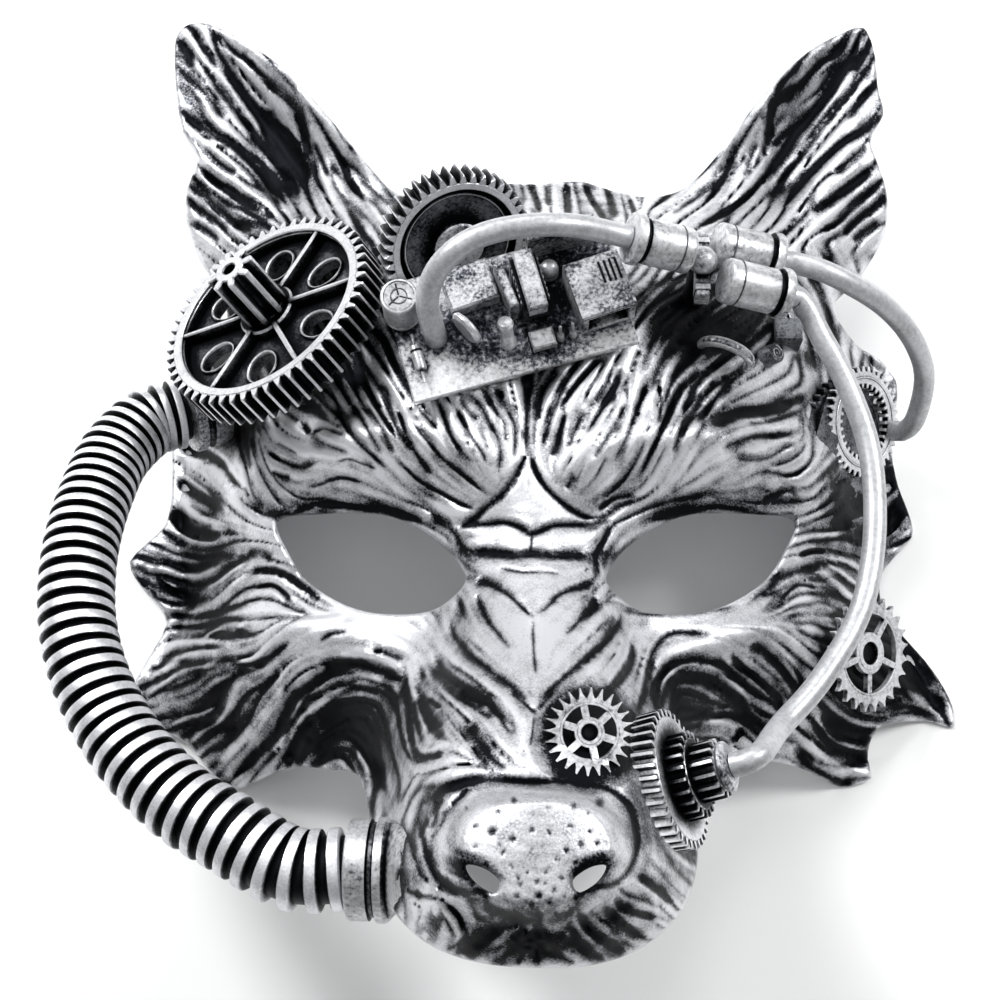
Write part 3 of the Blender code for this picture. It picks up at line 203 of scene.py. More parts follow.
# The charts. A row is a stroke: its width, or its widths at both ends, then the points of its route. All are
# pixels of the photo. First, the grooves of the forehead.
FOREHEAD = (
    (3, (411, 420), (426, 439), (444, 459), (460, 472), (472, 482), (488, 495)),
    (3, (400, 462), (418, 479), (444, 494), (460, 503), (475, 509)),
    (4, (418, 409), (429, 419), (437, 429)),
    (4, (438, 402), (445, 420), (453, 439), (465, 454), (474, 464)),
    (4, (457, 410), (465, 424), (474, 440), (483, 454), (487, 465)),
    (4, (459, 398), (467, 409), (478, 420)),
    (5, (467, 392), (480, 404), (490, 423), (499, 441), (500, 458), (497, 478)),
    (3, (481, 386), (492, 404), (499, 418)),
    (5, (495, 385), (505, 404), (514, 424), (515, 443), (514, 457)),
    (4, (399, 413), (408, 438), (418, 456), (432, 474)),
    (3, (382, 397), (391, 416), (399, 432)),
    (4, (380, 424), (387, 439), (394, 452)),
    (5, (526, 340), (527, 386), (526, 452)),
    (6, (526, 455), (515, 475), (502, 493), (483, 509), (474, 520), (456, 528)),
    (5, (530, 449), (535, 469), (547, 488), (565, 504), (584, 516), (600, 517)),
    (5, (560, 370), (545, 388), (539, 409), (541, 420)),
    (4, (584, 359), (569, 378), (558, 400), (549, 423), (543, 443)),
    (4, (600, 358), (589, 370), (575, 386), (559, 409)),
    (4, (565, 413), (560, 432), (557, 446), (551, 455)),
    (5, (584, 411), (577, 426), (568, 447)),
    ((10, 4), (621, 369), (615, 386), (605, 404), (593, 423), (588, 432)),
    (5, (626, 404), (614, 426), (600, 448), (593, 459)),
    (5, (650, 376), (639, 404), (629, 431), (619, 451), (611, 465)),
    (3, (646, 438), (637, 459), (623, 480), (611, 491), (600, 500)),
    (4, (575, 474), (566, 488)),
    (3, (658, 384), (661, 404), (658, 423)),
    (5, (681, 386), (671, 411), (661, 432), (649, 456), (638, 480)),
    (4, (700, 404), (684, 420), (678, 439), (673, 452)),
    (5, (700, 369), (683, 384)),
    (4, (598, 509), (614, 498), (635, 494)),
)

# Grooves of the crown and of the outer brows, between the wheels and the board.
CROWN = (
    (5, (528, 182), (534, 196), (540, 210)), (4, (546, 184), (548, 206)), (6, (566, 184), (569, 214)),
    (4, (584, 184), (592, 200), (604, 218)), (5, (606, 186), (612, 202), (616, 218)),
    (5, (630, 198), (636, 216)), (4, (500, 176), (506, 200)), (4, (480, 172), (484, 196)),
    (5, (704, 290), (672, 312), (654, 340), (640, 374)), (6, (712, 312), (684, 332), (662, 360), (648, 396)),
    (5, (730, 324), (702, 342), (676, 372), (662, 410)), (6, (745, 340), (722, 360), (698, 382), (682, 416)),
    (5, (762, 358), (734, 378), (712, 402), (698, 424)), (4, (690, 300), (664, 322), (644, 352)),
    (5, (654, 206), (690, 180), (716, 158)), (4, (672, 214), (712, 186), (738, 160)),
    (5, (700, 226), (742, 200), (772, 168)), (5, (760, 250), (800, 220), (820, 190)),
    (5, (800, 262), (822, 300), (832, 340), (836, 388)), (5, (822, 250), (846, 292), (852, 340)),
    (4, (790, 300), (806, 330), (816, 372)), (5, (380, 330), (398, 372), (420, 410)),
    (5, (352, 352), (372, 398), (398, 440)), (4, (400, 310), (414, 350), (430, 380)),
    (5, (250, 392), (246, 430), (250, 470)), (5, (300, 420), (318, 440), (348, 452)),
)

# Grooves of the two brows.
BROWS = (
    (3, (303, 434), (312, 433), (323, 428), (334, 431), (343, 435)),
    (2, (277, 442), (287, 448), (298, 454)),
    (4, (266, 450), (278, 458), (291, 464), (303, 466), (315, 462)),
    (2, (337, 461), (349, 459), (361, 463), (375, 468)),
    (4, (271, 471), (282, 476), (291, 476)),
    (3, (307, 487), (320, 484), (331, 479), (343, 477), (361, 481)),
    (2, (258, 439), (264, 459), (272, 475), (284, 488), (298, 497), (312, 499), (327, 497)),
    (4, (339, 412), (352, 435), (363, 447), (375, 457), (387, 469)),
    (5, (352, 404), (363, 421), (373, 439), (383, 454)),
    (4, (367, 406), (379, 423), (389, 440), (395, 453)),
    (5, (373, 376), (386, 400), (397, 428), (408, 445), (419, 454)),
    (2, (397, 462), (408, 471), (419, 480)),
    (5, (315, 503), (339, 505), (363, 509), (387, 510), (420, 521)),
    (4, (266, 511), (288, 514), (315, 505)),
    (6, (660, 431), (673, 402), (682, 385), (702, 370)),
    (6, (674, 449), (683, 428), (693, 411), (711, 388), (731, 377), (742, 374)),
    (12, (711, 424), (739, 413), (768, 411), (794, 402)),
    (5, (721, 449), (739, 440), (758, 435), (775, 435), (794, 432)),
    (4, (736, 457), (752, 459), (768, 457), (782, 449), (795, 442)),
    (3, (775, 465), (788, 461), (800, 453), (807, 442)),
    (4, (745, 479), (759, 472), (775, 472), (788, 475), (800, 471), (812, 458), (813, 436), (809, 417)),
    (4, (762, 500), (775, 495), (788, 490), (798, 494)),
    (3, (660, 519), (685, 512), (711, 507), (736, 509), (768, 514), (794, 513)),
    (2, (239, 431), (241, 449), (247, 472), (252, 492), (262, 506)),
    (2, (250, 437), (255, 458), (262, 476), (273, 495), (282, 507)),
)

# Grooves of the bridge of the nose and the top of the muzzle.
BRIDGE = (
    (5, (457, 528), (474, 525), (492, 523), (505, 522), (516, 525), (524, 529), (532, 533), (544, 529),
     (554, 525), (571, 524), (591, 524), (608, 520)),
    (3, (532, 533), (531, 550)),
    (8, (466, 551), (474, 553), (497, 553), (516, 555), (532, 553), (550, 555), (571, 555), (588, 555),
     (597, 551)),
    (3, (498, 567), (510, 570), (526, 572), (545, 572), (560, 574)),
    ((8, 3), (474, 582), (486, 582), (497, 587), (508, 594), (517, 602), (526, 611), (534, 618)),
    ((7, 3), (596, 582), (584, 586), (568, 590), (557, 596), (548, 606), (537, 614)),
    (3, (534, 618), (533, 634), (534, 654), (536, 675)),
    (5, (477, 594), (484, 612), (490, 623), (500, 635), (510, 649)),
    ((10, 2), (596, 596), (591, 607), (580, 619), (571, 629), (565, 635)),
    (6, (450, 618), (454, 634), (462, 645), (474, 657), (490, 670), (505, 681), (517, 691), (526, 701),
     (532, 706)),
    ((9, 4), (620, 611), (620, 620), (611, 634), (600, 646), (584, 659), (572, 670), (557, 683),
     (546, 693), (537, 703)),
    (6, (434, 654), (443, 669), (457, 681), (473, 691), (488, 701), (494, 710)),
    (6, (601, 691), (617, 685), (631, 665), (634, 645)),
    (5, (430, 517), (453, 531), (461, 544), (469, 556)),
    (3, (611, 527), (604, 540), (596, 554), (599, 575)),
    ((9, 3), (461, 690), (471, 696), (482, 701), (492, 703), (498, 709), (503, 716), (507, 724)),
    (6, (467, 725), (473, 734), (482, 744), (490, 755), (498, 763), (506, 769)),
    (4, (510, 690), (520, 699), (532, 710), (537, 715)),
    (4, (555, 690), (546, 700), (537, 710)),
    (2, (534, 716), (532, 736), (529, 747)),
    (8, (415, 696), (425, 713), (436, 731)),
    (4, (428, 698), (441, 708)),
    (6, (413, 747), (420, 756), (434, 755), (443, 751)),
)

# Grooves round the nose pad and on it.
NOSE = (
    (5, (423, 850), (422, 833), (424, 812), (430, 800), (441, 791), (453, 787), (467, 783), (482, 780),
     (497, 779), (512, 780), (533, 781), (560, 781), (577, 782), (610, 790), (630, 807), (637, 833),
     (637, 845), (633, 863), (623, 877), (611, 885), (588, 889), (578, 895), (576, 906), (564, 918),
     (552, 930)),
    (5, (424, 839), (428, 859), (437, 879), (451, 888), (469, 892), (483, 892), (489, 903), (501, 912),
     (516, 921), (530, 928)),
    (3, (467, 788), (461, 796), (451, 805)),
    (4, (444, 798), (438, 807), (435, 822), (429, 829)),
    (4, (452, 864), (470, 868), (488, 874)),
    (4, (601, 864), (588, 869), (572, 876)),
)
# Pits of the nose pad. Columns: x and y in pixels of the photo, radius in pixels.
PITS: tuple[Row, ...] = (
    (514, 800, 3.5), (475, 827, 3), (492, 832, 4), (513, 839, 3), (475, 847, 2.5), (532, 830, 3),
    (549, 832, 2.5), (570, 826, 2), (581, 844, 3), (597, 843, 2.5), (607, 844, 2), (566, 850, 3),
    (557, 859, 2), (531, 850, 2), (486, 864, 2), (447, 877, 2), (460, 883, 2), (518, 877, 2),
    (520, 884, 2.5), (550, 902, 3), (565, 896, 2.5), (578, 884, 3), (546, 872, 2.5), (590, 868, 3),
    (512, 866, 2), (575, 862, 2.5), (602, 856, 2), (556, 914, 2.5), (500, 845, 2), (590, 832, 2),
    (562, 878, 3), (528, 872, 2), (584, 898, 2), (570, 908, 2), (545, 884, 2), (498, 812, 2.5), (548, 808, 2),
    (574, 806, 3), (554, 890, 2.5), (504, 895, 2), (517, 896, 3), (539, 896, 4), (537, 882, 3), (532, 905, 3),
    (523, 906, 2), (539, 916, 5), (600, 802, 5), (588, 813, 2.5), (503, 853, 2.5), (466, 808, 2),
)

# Grooves of the left ear, cut on the right ear too.
EAR = (
    (6, (174, 22), (186, 25), (195, 33), (204, 48), (218, 69)),
    ((4, 16), (199, 19), (211, 32), (218, 51), (229, 69), (239, 86), (252, 104), (265, 121), (279, 138),
     (290, 154), (302, 171), (306, 183)),
    ((5, 11), (218, 28), (226, 42), (236, 52), (248, 60), (258, 69), (270, 80), (284, 92), (298, 105),
     (302, 121), (306, 142), (308, 157)),
    (4, (261, 49), (273, 64), (284, 76), (298, 92)),
    (5, (309, 107), (320, 124), (331, 142), (342, 161), (352, 183), (365, 201)),
    (4, (314, 141), (321, 157), (328, 176)),
    (5, (205, 67), (218, 88), (234, 108), (249, 126), (261, 142), (273, 158), (286, 173), (296, 189),
     (299, 199)),
    (6, (177, 64), (188, 76), (201, 88), (212, 102), (224, 120)),
    (5, (179, 39), (186, 51), (193, 67)),
    (7, (179, 105), (193, 120), (211, 132), (229, 142), (243, 154), (258, 168), (273, 186), (287, 205)),
    (4, (204, 146), (215, 158), (227, 168), (237, 173)),
    (7, (202, 168), (214, 180), (229, 190), (243, 201), (261, 211)),
    (5, (189, 179), (204, 193), (220, 208), (236, 223), (251, 230)),
    (5, (185, 195), (199, 207), (214, 218), (229, 234)),
    (5, (193, 220), (208, 230), (220, 240)),
    (5, (256, 104), (273, 118), (287, 132), (299, 146)),
)

# Grooves of the left temple, cut on the right one too.
TEMPLE = (
    ((9, 5), (184, 450), (206, 454), (221, 464), (230, 475), (241, 489)),
    (12, (178, 481), (193, 492), (206, 499), (224, 507)),
    (3, (181, 470), (196, 480), (212, 493), (224, 507)),
    (10, (170, 510), (181, 521), (196, 532), (212, 535), (218, 532)),
    (6, (253, 570), (273, 570), (288, 576), (304, 588), (320, 600)),
    (4, (248, 551), (261, 551), (274, 556)),
    (3, (256, 587), (273, 585), (285, 593), (290, 599)),
    (3, (166, 588), (181, 594), (200, 596)),
    (3, (160, 583), (175, 590), (188, 594)),
)

# Ridges of the left temple, raised on the right one too.
TEMPLE_RIDGES = (
    (6, (174, 450), (186, 458), (206, 464), (218, 476), (230, 487), (239, 498)),
    (4, (200, 443), (212, 450), (226, 460), (233, 472), (245, 486)),
    (10, (169, 486), (181, 498), (192, 510), (206, 521), (227, 528)),
    (4, (163, 513), (170, 524), (181, 535), (196, 542), (215, 543), (218, 539)),
    (4, (146, 538), (160, 542), (170, 547), (186, 553)),
    (6, (126, 562), (137, 562), (150, 568), (166, 570), (181, 576), (196, 577), (212, 571), (227, 562),
     (247, 558)),
    (3, (207, 589), (219, 582), (233, 571), (245, 564)),
    (6, (150, 597), (155, 603), (170, 609), (187, 610), (206, 605), (221, 597), (233, 585), (245, 576),
     (258, 571)),
    (3, (161, 576), (166, 582), (177, 588)),
    (3, (150, 629), (163, 623), (178, 621)),
    (3, (201, 640), (215, 631), (233, 628), (245, 625)),
)

# Grooves, then ridges, of the left cheek.
LEFT_CHEEK = (
    ((8, 14), (231, 780), (256, 755), (275, 738), (286, 715), (294, 698), (311, 685), (332, 670), (357, 664)),
    (4, (281, 738), (294, 719), (305, 700), (319, 692)),
    (8, (290, 763), (296, 744), (305, 725), (315, 717)),
    (4, (231, 664), (248, 664), (265, 660), (277, 652), (290, 641)),
    (4, (210, 637), (223, 631), (235, 628), (248, 633)),
    (4, (319, 641), (332, 633), (347, 631)),
    (5, (372, 652), (387, 652), (404, 660)),
    (8, (319, 664), (351, 662), (382, 670), (404, 681)),
    (5, (404, 673), (408, 704), (410, 730), (414, 750)),
    (3, (319, 759), (332, 750), (349, 750), (357, 759)),
    (2, (225, 746), (246, 725), (260, 698), (273, 681), (277, 670)),
)
LEFT_CHEEK_RIDGES = (
    (6, (134, 677), (155, 662), (172, 645), (193, 641), (220, 643), (239, 645)),
    (5, (134, 681), (162, 670), (180, 658), (206, 652), (220, 652)),
    (4, (145, 696), (164, 683), (185, 670), (206, 666), (223, 660)),
    (5, (151, 708), (172, 704), (193, 698), (214, 683), (231, 675)),
    (3, (172, 725), (189, 717), (204, 713), (218, 706)),
    (4, (191, 742), (204, 731), (220, 721), (229, 708), (239, 687), (256, 681)),
    ((14, 6), (216, 771), (231, 755), (248, 738), (265, 715), (277, 698), (286, 681)),
    (6, (273, 750), (290, 734), (305, 715), (319, 706), (332, 698)),
    (4, (235, 664), (254, 658), (267, 647), (277, 637)),
    (6, (340, 654), (366, 654), (387, 660), (404, 670)),
    (4, (343, 681), (357, 675), (372, 677), (382, 681)),
    (6, (410, 662), (414, 694), (422, 721), (427, 738)),
    (5, (357, 750), (368, 771), (370, 799)),
)

# Grooves, then ridges, of the right cheek.
RIGHT_CHEEK = (
    (7, (655, 708), (657, 685), (669, 667), (692, 660), (715, 662), (738, 676), (756, 692), (774, 701)),
    (4, (632, 639), (630, 655), (616, 678), (605, 692)),
    (5, (710, 634), (692, 632), (669, 634), (655, 648), (648, 667), (644, 692), (637, 715)),
    (6, (676, 676), (699, 676), (719, 685), (735, 699), (754, 719), (774, 729)),
    (6, (731, 653), (742, 667), (756, 678), (774, 694), (784, 706)),
    ((14, 5), (747, 650), (761, 648), (770, 657), (784, 669), (795, 685), (802, 701)),
    (5, (710, 717), (729, 715), (747, 724), (761, 738)),
    (14, (735, 733), (740, 738)),
    (6, (813, 724), (827, 740), (848, 751), (869, 761)),
    (6, (820, 715), (839, 733), (857, 740), (873, 738)),
    (6, (793, 747), (807, 765), (830, 779), (850, 786)),
    (8, (905, 648), (921, 664), (935, 687), (944, 715)),
    (4, (901, 662), (917, 683), (931, 701), (937, 712)),
    (4, (887, 710), (905, 706), (921, 710), (937, 717)),
    (4, (614, 609), (646, 614), (680, 614), (710, 611), (738, 605)),
)
RIGHT_CHEEK_RIDGES = (
    (8, (802, 738), (820, 756), (841, 770), (873, 775)),
    (5, (660, 700), (664, 680), (680, 666), (704, 666), (728, 680), (750, 700)),
    (5, (915, 655), (930, 678), (941, 700)),
    (4, (722, 655), (736, 672), (752, 686), (770, 702)),
    (4, (815, 716), (833, 740), (855, 748), (872, 750)),
    (4, (700, 724), (720, 722), (738, 728)),
)

# Grooves of the flews below the nose.
FLEWS = (
    (7, (637, 875), (655, 887), (667, 897), (673, 903)),
    (5, (617, 887), (629, 895), (647, 901), (655, 906)),
    (6, (613, 899), (623, 908), (639, 914), (653, 916)),
    (9, (605, 905), (613, 918), (627, 930), (645, 938)),
    (8, (580, 916), (590, 930), (603, 940), (619, 948), (627, 952)),
    (7, (568, 934), (578, 944), (592, 954), (607, 962)),
    (5, (548, 946), (560, 956), (576, 964)),
    (9, (501, 926), (489, 936), (473, 948), (463, 956)),
    (6, (524, 936), (513, 948), (501, 958), (489, 964)),
    (5, (435, 914), (430, 926), (426, 934)),
    (5, (400, 867), (398, 891), (394, 916)),
    ((12, 5), (536, 928), (537, 945), (537, 962)),
    (3, (448, 905), (458, 915), (464, 928)),
    (3, (415, 890), (424, 896), (434, 895)),
)


def all_strokes() -> list[Stroke]:
    """Every stroke of the face, chart by chart.

    Returns:
        The strokes, in the order of the charts.
    """
    drawn, both = Side.AS_DRAWN, Side.BOTH
    charts = ((FOREHEAD, drawn, False), (CROWN, drawn, False), (BROWS, drawn, False), (BRIDGE, drawn, False),
              (NOSE, drawn, False), (EAR, both, False), (TEMPLE, both, False), (TEMPLE_RIDGES, both, True),
              (LEFT_CHEEK, drawn, False), (LEFT_CHEEK_RIDGES, drawn, True), (RIGHT_CHEEK, drawn, False),
              (RIGHT_CHEEK_RIDGES, drawn, True), (FLEWS, drawn, False))
    made = []
    for rows, side, ridge in charts:
        for width, *route in rows:
            start, end = width if isinstance(width, tuple) else (width, width)
            made.append(Stroke(start, tuple(route), end, side, ridge))
    return made


# Broad painted shade and painted light: darker in hollows and creases and where the wheels, the board and the
# joint shade the face, lighter on the forehead, the brows and the bridge. Columns: x and y in pixels, long
# and short radius in pixels, turn in degrees, shade.
SHADES: tuple[Row, ...] = (
    (350, 512, 105, 20, 4, 0.30),  # between the left brow and its eye
    (715, 505, 115, 20, -2, 0.40),  # and between the right ones
    (185, 575, 85, 75, 0, 0.46),  # temple tufts
    (215, 700, 95, 75, -30, 0.44),  # lower tufts
    (880, 560, 80, 80, 0, 0.44),  # right temple
    (290, 320, 125, 110, -30, 0.55),  # in the shade of the large wheel
    (670, 780, 60, 110, 0, 0.42),  # of the three wheels
    (330, 760, 60, 120, 20, 0.42),  # beside the muzzle, on the left
    (555, 835, 110, 72, 0, 0.14),  # nose pad
    (589, 735, 52, 52, 0, 0.80),  # under the wheel on the muzzle
    (476, 872, 34, 22, 35, 0.50),  # round the left nostril
    (592, 872, 34, 22, -35, 0.50),  # round the right nostril
    (470, 450, 110, 60, 20, -0.10),  # forehead
    (600, 440, 110, 70, -20, -0.10),
    (330, 455, 90, 40, 8, -0.14),  # brows
    (745, 450, 95, 42, 0, -0.10),
    (528, 600, 45, 70, 0, -0.06),  # bridge
    (880, 690, 90, 80, 0, 0.2),  # outer right cheek
    (351, 719, 34, 24, 0, 0.75),  # hollow of the cheek
    (385, 735, 40, 60, 0, 0.40),  # and the slope beside it
    (215, 420, 60, 50, 0, 0.55),  # under the large wheel
    (290, 165, 55, 28, 55, 0.45),  # hollow of the ear
    (245, 190, 70, 40, 45, 0.15),
    (536, 948, 34, 22, 0, 0.55),  # split of the lip
    (412, 860, 18, 46, 0, 0.35),  # side of the muzzle
    (536, 925, 120, 34, 0, 0.22),  # lip
    (470, 740, 30, 60, -25, 0.15),  # fold between the muzzle and its side
    (720, 700, 75, 48, 20, 0.34),  # hollow of the right cheek
    (840, 745, 60, 40, 20, 0.30),
    (869, 655, 52, 56, 0, 0.85),  # painted shade behind the cheek wheel
    (870, 490, 55, 60, 0, 0.80),  # and behind the temple wheels
    (715, 315, 90, 55, 0, 0.75),  # and under the joint and its tubes
    (520, 330, 150, 40, -12, 0.80),  # and under the board
    (465, 255, 95, 30, 0, 0.75),
    (350, 620, 70, 16, 20, -0.30),  # bag under the eye, bright
    (310, 600, 60, 14, 28, -0.20),
    (536, 640, 60, 36, 0, -0.12),
)

# Hollows under the flat wheels, darkened with painted shade. Columns: x, y and radius in pixels, depth in
# metres.
HOLLOWS: tuple[Row, ...] = ((589, 735, 50, 0.0012), (869, 660, 50, 0.0004))

# Calm areas. Columns: x, y, half width and half height in pixels, and the share of the strands left there.
CALM: tuple[Row, ...] = (
    (562, 835, 120, 80, 0.0),  # nose pad
    (530, 600, 62, 105, 0.10),  # bridge
    (530, 520, 75, 40, 0.10),
    (375, 640, 110, 34, 0.25),  # under the left eye
    (700, 630, 95, 34, 0.25),  # under the right eye
    (589, 735, 75, 75, 0.0),  # under the wheel on the muzzle
    (340, 470, 110, 50, 0.6),  # left brow
    (735, 465, 120, 48, 0.6),  # right brow
    (480, 460, 90, 60, 0.75),  # forehead
    (610, 450, 90, 60, 0.75),
)


def spot(x: float, y: float, z: float) -> Vector:
    """A point of the tables, given in shares, as a place in metres."""
    return Vector((x * HALF_WIDTH, y * HALF_LENGTH, z * DEPTH))


def monotone(knots: np.ndarray, values: np.ndarray, at: np.ndarray) -> np.ndarray:
    """Read smooth curves that don't overshoot.

    Args:
        knots: (K, N) places of each curve's known values.
        values: (K, N) known values.
        at: (N,) places to read.

    Returns:
        The (N,) values there.
    """
    knots, values = np.broadcast_arrays(knots, values)
    step = np.diff(knots, axis=0)
    grade = np.diff(values, axis=0) / step
    product = grade[:-1] * grade[1:]
    total = np.where(product > 0, grade[:-1] + grade[1:], 1.0)
    slope = np.zeros(values.shape)
    slope[1:-1] = np.where(product > 0, 2 * product / total, 0.0)
    slope[-1] = grade[-1]
    cell = np.clip((at >= knots[1:-1]).sum(axis=0), 0, len(step) - 1)
    column = np.arange(len(at))
    width, low, high = step[cell, column], values[cell, column], values[cell + 1, column]
    t = np.clip((at - knots[cell, column]) / width, 0, 1)
    start, end = slope[cell, column] * width, slope[cell + 1, column] * width
    ease = t * t * (3 - 2 * t)
    return low + (high - low) * ease + t * (1 - t) * (start * (1 - t) - end * t)


def rounded(rows: Sequence[Row], scale: Row, passes: int = 1) -> np.ndarray:
    """A ring through rows of shares, with points added on each span as its neighbours ask.

    Args:
        rows: corners of the ring.
        scale: metres to a share, across and along.
        passes: how often the points are doubled.

    Returns:
        The (N, 2) ring in metres.
    """
    points = np.array(rows) * scale
    for _ in range(passes):
        before, after, beyond = (np.roll(points, shift, axis=0) for shift in (1, -1, -2))
        middle = (9 * (points + after) - before - beyond) / 16
        points = np.stack([points, middle], axis=1).reshape(-1, 2)
    return points


def mirrored(ring: np.ndarray) -> np.ndarray:
    """The ring of the other side of the face."""
    return (ring * (-1, 1))[::-1]


def inside(ring: np.ndarray, points: np.ndarray) -> np.ndarray:
    """Which of the plan points lie inside the ring.

    Args:
        ring: the ring, in metres.
        points: (N, 2) plan points.

    Returns:
        True for each point that does.
    """
    found = np.zeros(len(points), bool)
    for (ax, ay), (bx, by) in zip(ring, np.roll(ring, -1, axis=0)):
        if ay != by:
            x = ax + (points[:, 1] - ay) * (bx - ax) / (by - ay)
            found ^= ((ay > points[:, 1]) != (by > points[:, 1])) & (points[:, 0] < x)
    return found


def between(rings: Sequence[np.ndarray], points: np.ndarray) -> np.ndarray:
    """Which of the plan points lie inside the first ring and outside the others.

    Args:
        rings: the outline, then the holes.
        points: (N, 2) plan points.

    Returns:
        True for each point that does.
    """
    found = inside(rings[0], points)
    for ring in rings[1:]:
        found &= ~inside(ring, points)
    return found


def oval(x: np.ndarray, y: np.ndarray, centre: Row, radii: Row, turn: float = 0.0) -> np.ndarray:
    """How far out of an oval points lie, squared: 0 at its middle and 1 on its outline.

    Args:
        x: the points' first coordinates.
        y: their second coordinates.
        centre: the oval's middle.
        radii: its two radii.
        turn: turn of the first radius, in degrees.

    Returns:
        One value for each point.
    """
    dx, dy = x - centre[0], y - centre[1]
    cos, sin = math.cos(math.radians(turn)), math.sin(math.radians(turn))
    return ((dx * cos + dy * sin) / radii[0]) ** 2 + ((dy * cos - dx * sin) / radii[1]) ** 2


def nearest(route: np.ndarray, points: np.ndarray) -> tuple[np.ndarray, np.ndarray]:
    """Distance from each point to a line of straight spans, and how far along it the nearest place lies.

    Args:
        route: (K, 2) corners of the line.
        points: (N, 2) points.

    Returns:
        The (N,) distances, and the (N,) shares of the line's length.
    """
    spans = np.diff(route, axis=0)
    lengths = np.linalg.norm(spans, axis=1)
    starts = np.concatenate([[0], np.cumsum(lengths)])
    best, share = np.full(len(points), np.inf), np.zeros(len(points))
    for corner, span, length, start in zip(route, spans, lengths, starts):
        offset = points - corner
        t = np.clip(offset @ span / length**2, 0, 1)
        distance = np.linalg.norm(offset - t[:, None] * span, axis=1)
        nearer = distance < best
        best[nearer], share[nearer] = distance[nearer], (start + t[nearer] * length) / starts[-1]
    return best, share


def clearance(ring: np.ndarray, points: np.ndarray) -> np.ndarray:
    """Distance from each plan point to the ring."""
    return nearest(np.concatenate([ring, ring[:1]]), points)[0]


def smooth_route(points: Iterable[Sequence[float]], spacing: float) -> np.ndarray:
    """Points at an even spacing along a smooth curve through the given ones.

    Args:
        points: places that the curve goes through, in two or three dimensions.
        spacing: wanted distance between neighbours.

    Returns:
        The (N, 2) or (N, 3) points, with the first and last as given.
    """
    rows = np.array([tuple(point) for point in points], float)
    rows = np.concatenate([[2 * rows[0] - rows[1]], rows, [2 * rows[-1] - rows[-2]]])
    t = np.linspace(0, 1, 12, endpoint=False)[:, None]
    fine = []
    for a, b, c, d in zip(rows, rows[1:], rows[2:], rows[3:]):
        fine.append(b + 0.5 * t * (c - a + t * (2 * a - 5 * b + 4 * c - d + t * (3 * (b - c) + d - a))))
    curve = np.concatenate([*fine, rows[-2:-1]])
    reach = np.concatenate([[0], np.cumsum(np.linalg.norm(np.diff(curve, axis=0), axis=1))])
    even = np.linspace(0, reach[-1], max(2, round(reach[-1] / spacing) + 1))
    return np.column_stack([np.interp(even, reach, curve[:, i]) for i in range(curve.shape[1])])


@dataclass(frozen=True)
class PhotoView:
    """The camera of the photo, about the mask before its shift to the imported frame. Millimetres and pixels.

    Attributes:
        distance: from the camera to the point it looks at.
        target_height: height of that point above the table.
        elevation: angle of the camera above the table, in degrees.
        focal: focal length in pixels.
        middle: pixel that the camera's axis goes through.
        picture: side of the photo in pixels.
        sensor: width of the film in millimetres.
        passes: how often the height under a pixel is tried.
        damping: share of the way to the new height at each try.
    """

    distance: float = 450.0
    target_height: float = 50.0
    elevation: float = 75.0
    focal: float = 1800.0
    middle: tuple[float, float] = (536.0, 500.0)
    picture: float = 1000.0
    sensor: float = 36.0
    passes: int = 14
    damping: float = 0.6

    def _turn(self) -> tuple[float, float]:
        """Sine and cosine of the elevation."""
        return math.sin(math.radians(self.elevation)), math.cos(math.radians(self.elevation))

    def pixels(self, places: np.ndarray) -> np.ndarray:
        """Where places show in the photo.

        Args:
            places: (N, 3) places in metres.

        Returns:
            Their (N, 2) pixels.
        """
        sin, cos = self._turn()
        x, y, z = (places / MM).T
        z = z - self.target_height
        away = self.distance - (z * sin - y * cos)
        up = y * sin + z * cos
        right, down = self.middle
        return np.column_stack([right + self.focal * x / away, down - self.focal * up / away])

    def plan(self, pixels: np.ndarray, height: Callable[[np.ndarray, np.ndarray], np.ndarray]) -> np.ndarray:
        """Where pixels of the photo lie on the face, found by trying heights in turn.

        Args:
            pixels: (N, 2) pixels.
            height: the height of the face over plan points.

        Returns:
            Their (N, 2) plan points in metres.
        """
        sin, cos = self._turn()
        rise = (self.middle[1] - pixels[:, 1]) / self.focal
        z = np.zeros(len(pixels))
        for _ in range(self.passes):
            y = (rise * (self.distance - z * sin) - z * cos) / (sin - rise * cos)
            x = (pixels[:, 0] - self.middle[0]) * (self.distance - (z * sin - y * cos)) / self.focal
            z += self.damping * (height(x * MM, y * MM) / MM - self.target_height - z)
        return np.column_stack([x, y]) * MM

    def add_camera(self, shift: Vector) -> None:
        """Stand the scene's camera where the photo was taken from.

        Args:
            shift: way from the tables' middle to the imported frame's.
        """
        camera = bpy.data.cameras.new("photo_camera")
        camera.sensor_width = self.sensor
        camera.lens = self.sensor * self.focal / self.picture
        camera.shift_x = -(self.middle[0] - self.picture / 2) / self.picture
        camera.clip_start = 0.01
        stand = bpy.data.objects.new("photo_camera", camera)
        bpy.context.scene.collection.objects.link(stand)
        sin, cos = self._turn()
        target = shift + Vector((0, 0, self.target_height * MM))
        stand.location = target + self.distance * MM * Vector((0, -cos, sin))
        stand.rotation_euler = (math.radians(90 - self.elevation), 0, 0)
        bpy.context.scene.camera = stand


